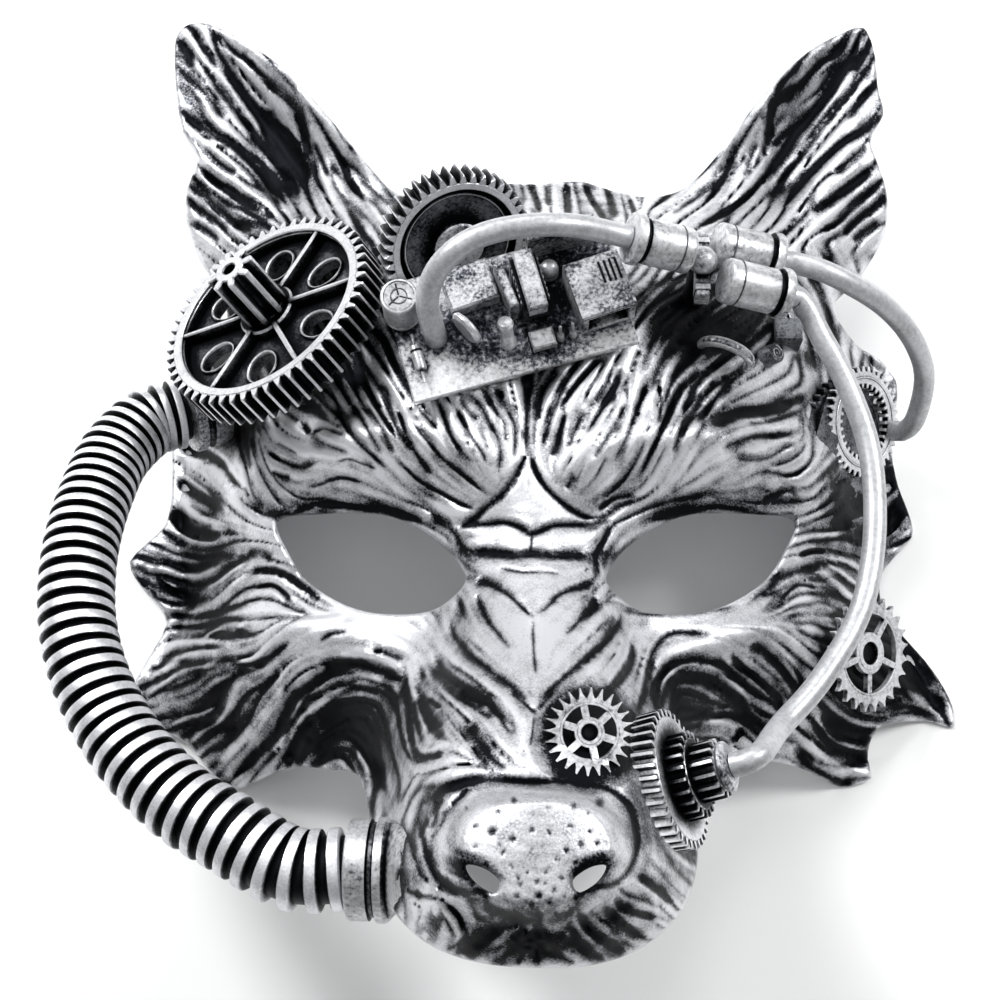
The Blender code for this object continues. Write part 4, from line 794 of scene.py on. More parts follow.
@dataclass(frozen=True)
class FaceForm:
    """The smooth outside of the face, and what is asked of it by the pieces that stand on it.

    Attributes:
        nose_half_width: half the width of the nose pad.
        nose_half_length: half its length.
        nose_rise: height of the pad over the muzzle.
        nose_level: its middle, in half lengths of the face.
        nose_edge: share of the pad over which its edge rises.
        nose_square: how square its outline is; 2 would be round.
        probe: longest way and step of the search for the face behind a piece.
        missed: the way taken where that search finds none.
    """

    nose_half_width: float = 0.0215
    nose_half_length: float = 0.0145
    nose_rise: float = 0.0095
    nose_level: float = -0.736
    nose_edge: float = 0.34
    nose_square: float = 2.6
    probe: Row = (0.08, 0.0002)
    missed: float = 0.02

    def swelling(self, x: np.ndarray, y: np.ndarray, form: Row) -> np.ndarray:
        """One row of FORMS, as a rise at the plan points.

        Args:
            x: first coordinates of the points.
            y: their second coordinates.
            form: the row.

        Returns:
            The rise at each point, in metres.
        """
        centre_x, centre_y, long_radius, short_radius, turn, rise = form
        reach = oval(x, y, (centre_x * HALF_WIDTH, centre_y * HALF_LENGTH),
                     (long_radius * HALF_WIDTH, short_radius * HALF_WIDTH), turn)
        return rise * DEPTH * np.clip(1 - reach, 0, 1) ** 2

    def nose_reach(self, x: np.ndarray, y: np.ndarray) -> np.ndarray:
        """How far out of the nose pad each plan point lies: 0 at its middle and 1 on its outline."""
        dx, dy = x / self.nose_half_width, (y - self.nose_level * HALF_LENGTH) / self.nose_half_length
        return (np.abs(dx) ** self.nose_square + np.abs(dy) ** self.nose_square) ** (1 / self.nose_square)

    def height(self, x: np.ndarray, y: np.ndarray) -> np.ndarray:
        """Height of the outside of the face over the plan points x, y, in metres.

        Args:
            x: first coordinates of the points.
            y: their second coordinates.

        Returns:
            One height for each point.
        """
        rows = np.array(SECTIONS)[::-1]
        knots = np.repeat(rows[:, :1], len(y), axis=1)
        columns = np.array([monotone(knots, rows[:, i : i + 1], y / HALF_LENGTH) for i in range(1, 10)])
        ways = np.concatenate([np.zeros((1, len(x))), columns[1::2]])
        levels = np.concatenate([columns[:1], columns[2::2]])
        side = np.abs(x)
        level = monotone(ways, levels, side / HALF_WIDTH) * DEPTH
        for form in FORMS:
            level = level + self.swelling(side, y, form)
        t = np.clip((1 - self.nose_reach(x, y)) / self.nose_edge, 0, 1)
        return np.maximum(level + self.nose_rise * t * t * (3 - 2 * t), WALL)

    def on_face(self, x: float, y: float, rise: float = 0.0) -> Vector:
        """The place over plan point x, y, given in shares, that lies rise above the face.

        Args:
            x: share of the half width.
            y: share of the half length.
            rise: metres above the face.

        Returns:
            The place in metres.
        """
        at = spot(x, y, 0)
        level = self.height(np.array([at.x]), np.array([at.y]))[0]
        return Vector((at.x, at.y, float(level) + rise))

    def reach(self, place: Vector, axis: Vector) -> float:
        """How far back along its axis a piece standing at place meets the face.

        Args:
            place: where the piece stands.
            axis: its axis.

        Returns:
            The way back in metres.
        """
        steps = np.arange(0, *self.probe)
        line = np.array(place)[None, :] - steps[:, None] * np.array(axis)[None, :]
        under = line[:, 2] < self.height(line[:, 0], line[:, 1])
        return float(steps[np.argmax(under)]) if under.any() else self.missed

    def settled(self, points: np.ndarray) -> np.ndarray:
        """The points, with those under the face lifted into its wall, where they don't show.

        Args:
            points: (N, 3) points.

        Returns:
            The points, some of them higher.
        """
        rim = rounded(RIM, (HALF_WIDTH, HALF_LENGTH))
        moved = points.copy()
        floor = self.height(points[:, 0], points[:, 1]) - 0.5 * WALL
        low = (points[:, 2] < floor) & inside(rim, points[:, :2])
        moved[low, 2] = floor[low]
        return moved


class Tree:
    """A short way to write a node tree: each call adds a node and links or sets its inputs."""

    def __init__(self, tree: bpy.types.NodeTree) -> None:
        """Start on a tree with nothing in it."""
        self.tree = tree
        tree.nodes.clear()

    def add(self, kind: str, inputs: dict | None = None, **settings: object) -> bpy.types.Node:
        """Add a node.

        Args:
            kind: Blender's name for the node's type.
            inputs: sockets by name or number, each with a value or the socket that feeds it.
            settings: properties of the node.

        Returns:
            The node.
        """
        node = self.tree.nodes.new(kind)
        for name, value in settings.items():
            setattr(node, name, value)
        for name, value in (inputs or {}).items():
            if isinstance(value, bpy.types.NodeSocket):
                self.tree.links.new(value, node.inputs[name])
            else:
                node.inputs[name].default_value = value
        return node

    def math(self, operation: str, *values: object, clamp: bool = False) -> bpy.types.NodeSocket:
        """The result of a math node on values or sockets."""
        node = self.add("ShaderNodeMath", dict(enumerate(values)), operation=operation, use_clamp=clamp)
        return node.outputs[0]


@dataclass(frozen=True)
class Paint:
    """Silver paint brushed over a near-black wash, so that hollows and corners stay dark.

    Attributes:
        name: name of the material.
        bright: colour of the brushed crests, as grey with a slight tint.
        middle: colour where the wash shows through.
        dark: colour of the wash itself.
        metallic: metallic value.
        roughness: roughness on the crests.
        wash: how much of the wash shows everywhere; on the face and the board the attribute adds painted
            shade and light.
        speckle: how broken its edge is.
        grain: features of the speckle in a metre.
        reach: how far from a corner the wash lies, in metres.
        attribute: mesh attribute that holds the wash with painted shade and painted light, if there is one.
        soak: how strongly the wash gathers in corners.
        cast: height of the cast surface's grain, in metres.
    """

    name: str
    bright: Row = (0.74, 0.76, 0.79)
    middle: Row = (0.16, 0.17, 0.19)
    dark: Row = (0.004, 0.0045, 0.006)
    metallic: float = 0.55
    roughness: float = 0.38
    wash: float = 0.0
    speckle: float = 0.5
    grain: float = 1500.0
    reach: float = 0.0012
    attribute: str = ""
    soak: float = 1.5
    cast: float = 0.00006

    def material(self) -> bpy.types.Material:
        """The paint's node material, made once.

        Returns:
            The material.
        """
        found = bpy.data.materials.get(self.name)
        if found is not None:
            return found
        material = bpy.data.materials.new(self.name)
        material.use_nodes = True
        tree = Tree(material.node_tree)
        place = tree.add("ShaderNodeTexCoord").outputs["Object"]
        fine, broad = (tree.add("ShaderNodeTexNoise", {"Vector": place, "Scale": scale, "Detail": 3.0,
                                                       "Roughness": detail}).outputs["Fac"]
                       for scale, detail in ((self.grain, 0.7), (self.grain / 9, 0.6)))
        wash: object = self.wash
        # The attribute brings in the wash of the face and of the board, with their painted shade and painted
        # light.
        if self.attribute:
            held = tree.add("ShaderNodeAttribute", attribute_name=self.attribute).outputs["Fac"]
            wash = tree.math("ADD", held, self.wash)
        hollow = tree.add("ShaderNodeAmbientOcclusion", {"Distance": self.reach}, only_local=True,
                          samples=8).outputs["AO"]
        hollow = tree.math("MULTIPLY", tree.math("SUBTRACT", 1.0, hollow), self.soak)
        wash = tree.math("ADD", wash, hollow)
        broken = tree.math("MULTIPLY", tree.math("SUBTRACT", fine, 0.5), self.speckle)
        patchy = tree.math("MULTIPLY", tree.math("SUBTRACT", broad, 0.5), 0.8 * self.speckle)
        wash = tree.math("ADD", tree.math("ADD", wash, broken), patchy, clamp=True)
        ramp = tree.add("ShaderNodeValToRGB", {"Fac": wash})
        stops = ((0.0, self.bright), (0.26, tuple(0.66 * c for c in self.bright)), (0.50, self.middle),
                 (0.70, self.dark))
        ramp.color_ramp.elements[1].position = stops[-1][0]
        for _ in stops[2:]:
            ramp.color_ramp.elements.new(0.5)
        for element, (position, colour) in zip(ramp.color_ramp.elements, stops):
            element.position = position
            element.color = (*colour, 1)
        rough = tree.add("ShaderNodeMapRange", {"Value": wash, "To Min": self.roughness,
                                                "To Max": 0.55}).outputs["Result"]
        metal = tree.add("ShaderNodeMapRange", {"Value": wash, "From Min": 0.3, "From Max": 0.65,
                                                "To Min": self.metallic, "To Max": 0.95}).outputs["Result"]
        bump = tree.add("ShaderNodeBump", {"Height": fine, "Distance": self.cast, "Strength": 1.0})
        shader = tree.add("ShaderNodeBsdfPrincipled", {
            "Base Color": ramp.outputs["Color"], "Metallic": metal, "Roughness": rough,
            "Normal": bump.outputs["Normal"]})
        tree.add("ShaderNodeOutputMaterial", {"Surface": shader.outputs["BSDF"]})
        return material


# The finishes. The mask and its wheels share one silver, the tubes are paler, and the wash is near black.
MASK_PAINT = Paint("antique_silver_face", bright=(0.72, 0.73, 0.76), middle=(0.17, 0.175, 0.19),
                   attribute="wash", wash=0.10, reach=0.0035, grain=1900.0, speckle=0.85, cast=0.00008,
                   metallic=0.60, roughness=0.36, soak=1.0)
CAST_PAINT = Paint("antique_silver_parts", bright=(0.70, 0.71, 0.74), middle=(0.08, 0.085, 0.10), wash=0.30,
                   speckle=1.40, grain=1200.0, reach=0.0045, soak=2.0, metallic=0.65)
WHEEL_PAINT = Paint("antique_silver_wheels", bright=(0.84, 0.85, 0.88), middle=(0.08, 0.085, 0.10), wash=0.10,
                    reach=0.0055, speckle=0.70, soak=2.3, metallic=0.70, roughness=0.32)
WORN_PAINT = Paint("worn_silver", bright=(0.80, 0.81, 0.84), middle=(0.12, 0.125, 0.14), wash=0.16,
                   reach=0.0030, speckle=1.2, grain=900.0, metallic=0.65, roughness=0.34)
HOSE_PAINT = Paint("antique_silver_hose", bright=(0.84, 0.85, 0.88), middle=(0.10, 0.105, 0.12), wash=0.07,
                   reach=0.0030, speckle=0.66, roughness=0.32, metallic=0.65, soak=2.0)
DARK_PAINT = Paint("dark_silver", bright=(0.20, 0.21, 0.23), middle=(0.02, 0.021, 0.026), wash=0.34,
                   reach=0.0040, speckle=1.1, metallic=0.6)
BLACK_PAINT = Paint("black_wash", bright=(0.010, 0.011, 0.014), middle=(0.005, 0.0055, 0.007), wash=0.35,
                    metallic=0.8, roughness=0.45)
PALE_PAINT = Paint("pale_silver", bright=(0.68, 0.69, 0.71), middle=(0.10, 0.105, 0.12), wash=0.17,
                   speckle=1.05, grain=900.0, roughness=0.34, metallic=0.6, cast=0.00005, reach=0.0030)
TUBE_PAINT = Paint("tube_silver", bright=(0.52, 0.53, 0.55), middle=(0.16, 0.165, 0.18), wash=0.10,
                   speckle=0.72, grain=900.0, roughness=0.40, metallic=0.5, cast=0.00003, reach=0.0020)
BOARD_PAINT = Paint("board_silver", bright=(0.72, 0.73, 0.75), middle=(0.07, 0.075, 0.09), wash=0.14,
                    attribute="wash", speckle=1.25, grain=900.0, roughness=0.34, metallic=0.6, cast=0.0001)


Part = tuple[Shell, Paint]


def placed(shell: Shell, place: Matrix) -> Shell:
    """The shell moved by a placement."""
    turn = np.array(place)
    return shell[0] @ turn[:3, :3].T + turn[:3, 3], shell[1]


def stood(parts: Iterable[Part], place: Matrix) -> list[Part]:
    """Painted shells moved by a placement."""
    return [(placed(shell, place), paint) for shell, paint in parts]


@dataclass
class Workshop:
    """Turns closed shells, built about the middle of the tables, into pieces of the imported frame.

    Attributes:
        form: the face that hides what lies under it.
        shift: way from the tables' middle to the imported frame's.
    """

    form: FaceForm
    shift: Vector

    def make(self, node: str, parts: Sequence[Part], smooth: float = 35.0, settle: bool = True,
             attributes: dict[str, np.ndarray] | None = None) -> bpy.types.Object:
        """Finish one piece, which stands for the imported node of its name.

        Args:
            node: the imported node.
            parts: closed shells with the paint of each.
            smooth: greatest angle in degrees across which the shading is smooth.
            settle: whether what lies under the face is lifted into its wall.
            attributes: values to store on its vertices.

        Returns:
            The finished object.
        """
        paints: list[Paint] = []
        points, faces, slots, start = [], [], [], 0
        for (verts, polygons), paint in parts:
            if paint not in paints:
                paints.append(paint)
            points.append(verts)
            faces += [tuple(start + i for i in polygon) for polygon in polygons]
            slots += [paints.index(paint)] * len(polygons)
            start += len(verts)
        places = np.concatenate(points)
        if settle:
            places = self.form.settled(places)
        mesh = bpy.data.meshes.new(f"visual_{node}")
        mesh.from_pydata((places + np.array(self.shift)).tolist(), [], faces)
        for paint in paints:
            mesh.materials.append(paint.material())
        mesh.polygons.foreach_set("material_index", slots)
        for name, values in (attributes or {}).items():
            mesh.attributes.new(name, "FLOAT", "POINT").data.foreach_set("value", values)
        mesh.shade_smooth()
        mesh.set_sharp_from_angle(angle=math.radians(smooth))
        piece = bpy.data.objects.new(f"visual_{node}", mesh)
        bpy.context.scene.collection.objects.link(piece)
        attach(piece, BODY)
        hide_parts(node)
        LOG.info("%s: %d vertices, %d faces", node, len(places), len(faces))
        return piece


@dataclass(frozen=True)
class Gouge:
    """The tool that the strokes are cut with. Its shares are of a stroke's width, its margins in pixels.

    Attributes:
        step: pixels between the points at which a stroke is read.
        reach: share and margin of the widest thing it does.
        ends: share of a stroke's length over which each end tapers, and the square of the least taper.
        core: share and margin of the sharp cut, and its part of the depth.
        slope: share and margin of the slope beside it, its power, and its part of the depth.
        line: fullness, share and margin of a groove's dark line of wash, and of a ridge's painted highlight.
        shade_halo: share and margin of the painted shade beside a groove, its strength per pixel of width,
            and the greatest width.
        swell: width of a ridge of full height, and the most that a wider one is higher.
    """

    step: float = 4.0
    reach: Row = (2.1, 5.0)
    ends: Row = (0.14, 0.04)
    core: Row = (0.8, 0.8, 0.7)
    slope: Row = (2.0, 5.0, 1.6, 0.45)
    line: Row = (1.45, 0.42, 0.5)
    shade_halo: Row = (1.6, 4.0, 0.035, 8.0)
    swell: Row = (6.0, 1.3)

    def profile(self, distance: np.ndarray, width: np.ndarray, taper: np.ndarray) -> np.ndarray:
        """The cross section of a stroke.

        Args:
            distance: pixels from its middle.
            width: its width there.
            taper: its taper there.

        Returns:
            Its share of the full depth or height.
        """
        (share, margin, deep), (wide, edge, power, shallow) = self.core, self.slope
        sharp = np.clip(1 - (distance / (share * width * taper + margin)) ** 2, 0, 1) ** 2
        broad = np.clip(1 - distance / (wide * width + edge), 0, 1) ** power
        return (deep * sharp + shallow * broad) * taper

    def drawn(self, distance: np.ndarray, width: np.ndarray, taper: np.ndarray) -> np.ndarray:
        """The strength of a stroke's line of wash or light, for what profile takes."""
        full, share, margin = self.line
        return np.clip(full - distance / (share * width * taper + margin), 0, 1) * taper

    def soft(self, distance: np.ndarray, width: np.ndarray, taper: np.ndarray) -> np.ndarray:
        """The strength of the painted shade beside a groove, for what profile takes."""
        share, margin, wash, widest = self.shade_halo
        fall = np.clip(1 - distance / (share * width + margin), 0, 1)
        return wash * np.minimum(width, widest) * taper * fall


@dataclass
class HairField:
    """Strands of sculpted hair over the picture plane, drawn out along the way the strokes run.

    Attributes:
        form: the face that the hair is cut on.
        view: the camera whose picture the field covers.
        charts: the strokes that the strands follow.
        cell: pixels to each cell of the field.
        size: cells along each side.
        strand: cells between two grooves.
        fine_strand: cells between two streaks of the brushed paint.
        steps: cells that a strand is drawn out, each way.
        spread: how far a stroke's way reaches, in waves across the picture.
        band: spread of the strands' widths, as a share.
        groove: half width of the dark groove, in deviations of the field.
        shade: wash in the groove, and the fainter painted shade beside it, which turns to painted light on
            the crests.
        slope: half width of that painted shade.
        round: how full the strands are between the grooves.
        level: share of the strands' height that lies under the smooth face.
        rise: height of a strand.
        streak: depth of the brushed streaks in the wash.
        streak_left: share of the streaks that is left on a calm area.
        seed: seed of the noise the strands grow from.
    """

    form: FaceForm
    view: PhotoView
    charts: Sequence[Stroke]
    cell: float = 2.0
    size: int = 512
    strand: float = 7.2
    fine_strand: float = 2.6
    steps: int = 26
    spread: float = 2.0
    band: float = 0.24
    groove: float = 0.40
    shade: Row = (0.34, 0.12)
    slope: float = 1.1
    round: float = 1.5
    level: float = 0.6
    rise: float = 0.0012
    streak: float = 0.11
    streak_left: float = 0.35
    seed: int = 7

    def flow(self) -> tuple[np.ndarray, np.ndarray]:
        """The way the hair runs in each cell, as the two parts of a unit vector.

        Returns:
            The first part and the second part of the vectors, (size, size) each.
        """
        sums = np.zeros((2, self.size, self.size))
        for stroke in self.charts:
            routes = [smooth_route(stroke.route, self.cell)]
            if stroke.side is Side.BOTH:
                plan = self.view.plan(routes[0], self.form.height)
                places = np.column_stack([-plan[:, 0], plan[:, 1], self.form.height(plan[:, 0], plan[:, 1])])
                routes.append(self.view.pixels(places))
            for route in routes:
                along = np.gradient(route, axis=0)
                turn = 2 * np.arctan2(along[:, 1], along[:, 0])
                column, row = np.clip(route / self.cell, 0, self.size - 1).astype(int).T
                np.add.at(sums[0], (row, column), np.cos(turn))
                np.add.at(sums[1], (row, column), np.sin(turn))
        steps = np.fft.fftfreq(self.size, 1 / self.size)
        spread = np.fft.fft2((steps[:, None] ** 2 + steps[None, :] ** 2 + self.spread**2) ** -1.5)
        cos, sin = (np.fft.ifft2(np.fft.fft2(part) * spread).real for part in sums)
        turn = np.arctan2(sin, cos) / 2
        return np.cos(turn), np.sin(turn)

    def strands(self, fine: bool = False) -> np.ndarray:
        """The field the strands are cut from: noise of one size, smeared along the flow.

        Args:
            fine: make the narrow streaks of the paint instead.

        Returns:
            A (size, size) array of even spread round nought, which crosses nought in each groove.
        """
        noise = np.random.default_rng(self.seed + fine).normal(size=(self.size, self.size))
        wave = 1 / (2 * (self.fine_strand if fine else self.strand))
        count = np.fft.fftfreq(self.size)
        band = np.exp(-(((np.hypot(count[:, None], count[None, :]) - wave) / (self.band * wave)) ** 2) / 2)
        noise = np.fft.ifft2(np.fft.fft2(noise) * band).real
        flow_x, flow_y = self.flow()
        total = noise.copy()
        rows, columns = np.mgrid[0: self.size, 0: self.size].astype(float)
        for way in (1, -1):
            x, y = columns.copy(), rows.copy()
            last_x, last_y = way * flow_x, way * flow_y
            for step in range(self.steps):
                at = (np.clip(np.round(y), 0, self.size - 1).astype(int),
                      np.clip(np.round(x), 0, self.size - 1).astype(int))
                turn_x, turn_y = flow_x[at], flow_y[at]
                flip = np.where(turn_x * last_x + turn_y * last_y < 0, -1, 1)
                last_x, last_y = flip * turn_x, flip * turn_y
                x, y = x + last_x, y + last_y
                total += self.sampled(noise, np.stack([x, y], axis=-1) * self.cell) * (1 - step / self.steps)
        return total / total.std()

    def sampled(self, grid: np.ndarray, pixels: np.ndarray) -> np.ndarray:
        """Values of a field at places in the picture.

        Args:
            grid: the field.
            pixels: (..., 2) picture coordinates.

        Returns:
            One value for each place.
        """
        x, y = np.clip(np.moveaxis(pixels, -1, 0) / self.cell, 0, self.size - 1.001)
        column, row = x.astype(int), y.astype(int)
        x, y = x - column, y - row
        upper = grid[row, column] * (1 - x) + grid[row, column + 1] * x
        lower = grid[row + 1, column] * (1 - x) + grid[row + 1, column + 1] * x
        return upper * (1 - y) + lower * y

    def cut(self, drawn: np.ndarray, calm: np.ndarray) -> tuple[np.ndarray, np.ndarray]:
        """The strands at places of the face.

        Args:
            drawn: (N, 2) pixels of the places.
            calm: share of the strands left at each place.

        Returns:
            How far the strands rise there, in metres, and their wash, with painted shade and painted light on
            them.
        """
        across = self.sampled(self.strands(), drawn)
        streaks = self.sampled(self.strands(fine=True), drawn)
        deep, faint = self.shade
        groove = deep * np.exp(-((across / self.groove) ** 2)) + faint * np.exp(-((across / self.slope) ** 2))
        crest = 1 - np.exp(-self.round * np.abs(across))
        # Painted shade on the strands' flanks and painted light on their crests, besides the wash in the
        # grooves.
        wash = calm * (groove - faint * (crest - 0.5))
        wash += self.streak * (self.streak_left + (1 - self.streak_left) * calm) * streaks
        return self.rise * calm * (crest - self.level), wash


@dataclass
class MaskFace:
    """The moulded face with its sculpted hair.

    Attributes:
        form: the smooth face.
        view: the camera through which the charts are read.
        fine: spacing of the outside's vertices on the forehead, the brows and the muzzle.
        coarse: their spacing on the ears and cheeks.
        inner_step: spacing of the inside's vertices.
        cell: side of the cells that keep the grid off the points along the strokes.
        cells: number of those cells along each side of the plan.
        roll: radius of the rolled edges round the rim and the openings.
        plain: width of the edge without sculpture.
        fade: width over which the sculpture then grows.
        depth: depth of a groove for each pixel of its width.
        deepest: greatest depth of a groove.
        ridge: height of a ridge of middling width.
        pit: depth of a pit for each pixel of its radius.
        line: wash in a groove's dark line.
        crest: how far the painted highlight along a ridge lifts the wash.
        rim_highlight: how far the painted highlight along the rolled edges lifts the wash, and over what
            width.
        shades: least and greatest wash that the broad painted shade and painted light give.
        inner_wash: wash on the inside.
        gouge: the tool that cuts the strokes.
        charts: every stroke.
        hair: the strands between them.
    """

    form: FaceForm
    view: PhotoView
    fine: float = 0.00058
    coarse: float = 0.00062
    inner_step: float = 0.006
    cell: float = 0.00025
    cells: int = 1300
    roll: float = 0.0011
    plain: float = 0.0008
    fade: float = 0.003
    depth: float = 0.00019
    deepest: float = 0.0015
    ridge: float = 0.0009
    pit: float = 0.00014
    line: float = 0.50
    crest: float = 0.55
    rim_highlight: Row = (0.25, 0.0009)
    shades: Row = (-0.3, 0.8)
    inner_wash: float = 0.1
    gouge: Gouge = Gouge()
    charts: list[Stroke] = field(default_factory=all_strokes)
    hair: HairField = field(init=False)

    def __post_init__(self) -> None:
        """Lay the strands along the strokes."""
        self.hair = HairField(self.form, self.view, self.charts)

    def rings(self) -> list[np.ndarray]:
        """The rim, the two eye openings and the two nostrils, as rings in metres.

        Returns:
            The five rings.
        """
        scale = (HALF_WIDTH, HALF_LENGTH)
        made = [rounded(RIM, scale, 2)]
        made[0] = np.clip(made[0], rounded(RIM, scale).min(axis=0), rounded(RIM, scale).max(axis=0))
        for rows in (EYE, NOSTRIL):
            ring = rounded(rows, scale, 2)
            made += [ring, mirrored(ring)]
        return made

    def grid(self, step: float) -> np.ndarray:
        """Plan points of an even triangle grid over the whole mask.

        Args:
            step: distance between neighbours.

        Returns:
            The (N, 2) points.
        """
        rows = np.arange(-HALF_LENGTH, 1.2 * HALF_LENGTH, step * math.sqrt(0.75))
        columns = np.arange(-1.2 * HALF_WIDTH, 1.2 * HALF_WIDTH, step)
        x, y = np.meshgrid(columns, rows)
        return np.column_stack([(x + (np.arange(len(rows)) % 2)[:, None] * step / 2).ravel(), y.ravel()])

    def guides(self) -> np.ndarray:
        """Plan points along the strokes and beside them, so that the mesh follows each one.

        Returns:
            The (N, 2) points.
        """
        made = []
        for stroke in self.charts:
            route = smooth_route(stroke.route, 2.6)
            along = np.gradient(route, axis=0)
            aside = np.column_stack([-along[:, 1], along[:, 0]]) / np.linalg.norm(along, axis=1)[:, None]
            reach = 0.8 * stroke.width + 0.8
            pixels = np.concatenate([route, route + reach * aside, route - reach * aside])
            plan = self.view.plan(pixels, self.form.height)
            made.append(plan)
            if stroke.side is Side.BOTH:
                made.append(plan * (-1, 1))
        points = np.concatenate(made)
        cells = np.round(points / (0.6 * self.fine)).astype(int)
        _, kept = np.unique(cells, axis=0, return_index=True)
        return points[kept]

    def clear(self, points: np.ndarray, rings: Sequence[np.ndarray], room: float) -> np.ndarray:
        """The points inside the rim and outside the openings, with room to every ring.

        Args:
            points: (N, 2) plan points.
            rings: the rim, then the openings.
            room: least distance to a ring.

        Returns:
            The points that are left.
        """
        points = points[between(rings, points)]
        gaps = np.min([clearance(ring, points) for ring in rings], axis=0)
        return points[gaps > room]

    def outer_points(self, rings: Sequence[np.ndarray]) -> np.ndarray:
        """Free plan points of the outside: a grid that gives way to the points along the strokes.

        Args:
            rings: the rim, then the openings.

        Returns:
            The (N, 2) points.
        """
        guides = self.clear(self.guides(), rings, 0.45 * self.fine)
        near, middle = np.zeros((self.cells, self.cells), bool), self.cells // 2
        at = np.round(guides / self.cell).astype(int) + middle
        for dx in range(-2, 3):
            for dy in range(-2, 3):
                if abs(dx) + abs(dy) < 4:
                    near[at[:, 0] + dx, at[:, 1] + dy] = True
        grids = []
        for step, in_core in ((self.fine, True), (self.coarse, False)):
            points = self.grid(step)
            core = (np.abs(points[:, 0]) < 0.62 * HALF_WIDTH) & (points[:, 1] < 0.56 * HALF_LENGTH)
            points = points[core == in_core]
            at = np.round(points / self.cell).astype(int) + middle
            points = points[~near[at[:, 0], at[:, 1]]]
            grids.append(self.clear(points, rings, 0.6 * step))
        return np.concatenate([guides, *grids])

    def triangles(self, rings: Sequence[np.ndarray], inner: np.ndarray) -> tuple[np.ndarray, np.ndarray]:
        """Triangulate the face in plan.

        Args:
            rings: the rim, then the openings.
            inner: free points.

        Returns:
            The plan points, and the triangles on them, facing up.
        """
        corners, edges = [], []
        for ring in rings:
            first, count = len(corners), len(ring)
            edges += [(first + i, first + (i + 1) % count) for i in range(count)]
            corners += [Vector(point) for point in ring]
        corners += [Vector(point) for point in inner]
        points, _, found, *_ = delaunay_2d_cdt(corners, edges, [], 0, 1e-8)
        points, found = np.array(points), np.array(found)
        a, b, c = (points[found[:, i]] for i in range(3))
        turned = np.cross(b - a, c - a) < 0
        found[turned] = found[turned][:, ::-1]
        return points, found[between(rings, (a + b + c) / 3)]

    def carved(self, places: np.ndarray, drawn: np.ndarray) -> tuple[np.ndarray, ...]:
        """What the strokes make at places of the smooth face.

        Args:
            places: (N, 3) places on the face.
            drawn: their (N, 2) pixels.

        Returns:
            Depth of the grooves and height of the ridges in metres, then the grooves' dark lines, the painted
            highlights along the ridges and the painted shade beside the grooves, from 0 to 1.
        """
        flipped, tool = self.view.pixels(places * (-1, 1, 1)), self.gouge
        end, least = tool.ends
        cut, lift, dark, light, shade_halo = np.zeros((5, len(places)))
        for stroke in self.charts:
            route = smooth_route(stroke.route, tool.step)
            side = np.sign(np.mean(route[:, 0]) - self.view.middle[0])
            views = [(drawn, np.ones(len(places), bool))]
            if stroke.side is Side.BOTH:
                views = [(drawn, places[:, 0] * side > 0), (flipped, places[:, 0] * side < 0)]
            margin = tool.reach[0] * max(stroke.width, stroke.end_width) + tool.reach[1]
            low, high = route.min(axis=0) - margin, route.max(axis=0) + margin
            for pixels, allowed in views:
                near = np.flatnonzero(allowed & ((pixels > low) & (pixels < high)).all(axis=1))
                if not len(near):
                    continue
                distance, share = nearest(route, pixels[near])
                width = stroke.width + (stroke.end_width - stroke.width) * share
                taper = np.sqrt(np.clip(np.minimum(share, 1 - share) / end, least, 1))
                core, line = (form(distance, width, taper) for form in (tool.profile, tool.drawn))
                if stroke.ridge:
                    tall = self.ridge * np.minimum(width / tool.swell[0], tool.swell[1])
                    lift[near] = np.maximum(lift[near], tall * core)
                    light[near] = np.maximum(light[near], line)
                else:
                    cut[near] = np.maximum(cut[near], np.minimum(self.depth * width, self.deepest) * core)
                    dark[near] = np.maximum(dark[near], line)
                    shade_halo[near] = np.maximum(shade_halo[near], tool.soft(distance, width, taper))
        return cut, lift, dark, light, shade_halo

    def relief(self, places: np.ndarray) -> tuple[np.ndarray, np.ndarray]:
        """The sculpture over places of the smooth face: strokes, pits, hollows and strands.

        Args:
            places: (N, 3) places on the face.

        Returns:
            How far each one rises, in metres, and how much wash, painted shade and painted light lies there.
        """
        drawn = self.view.pixels(places)
        x, y = drawn.T
        cut, lift, dark, light, shade_halo = self.carved(places, drawn)
        for *centre, radius in PITS:
            core = np.clip(1 - oval(x, y, centre, (1.2 * radius, 1.2 * radius)), 0, 1)
            cut = np.maximum(cut, self.pit * radius * core)
            dark = np.maximum(dark, 0.9 * core)
        # Each hollow is sunk, and darkened with painted shade under its wheel.
        for *centre, radius, deep in HOLLOWS:
            reach = np.clip(1.25 - np.sqrt(oval(x, y, centre, (radius, radius))), 0, 0.25) / 0.25
            lift = lift * (1 - reach)
            cut = np.maximum(cut, deep * reach)
            dark = np.maximum(dark, 0.75 * reach)
        shade, calm = np.zeros(len(places)), np.ones(len(places))
        for *centre, long_radius, short_radius, turn, value in SHADES:
            reach = oval(x, y, centre, (long_radius, short_radius), turn)
            shade += value * np.clip(1.25 * (1 - reach), 0, 1)
        for *centre, long_radius, short_radius, left in CALM:
            reach = oval(x, y, centre, (long_radius, short_radius))
            calm = np.minimum(calm, left + (1 - left) * np.clip(1.6 * (reach - 0.55), 0, 1))
        strand, wash = self.hair.cut(drawn, calm)
        # Painted shade and light from SHADES, the wash in the grooves, the painted shade beside them and the
        # painted highlight along the ridges.
        wash += np.clip(shade, *self.shades) + self.line * dark + shade_halo - self.crest * light
        return strand + lift - cut, wash

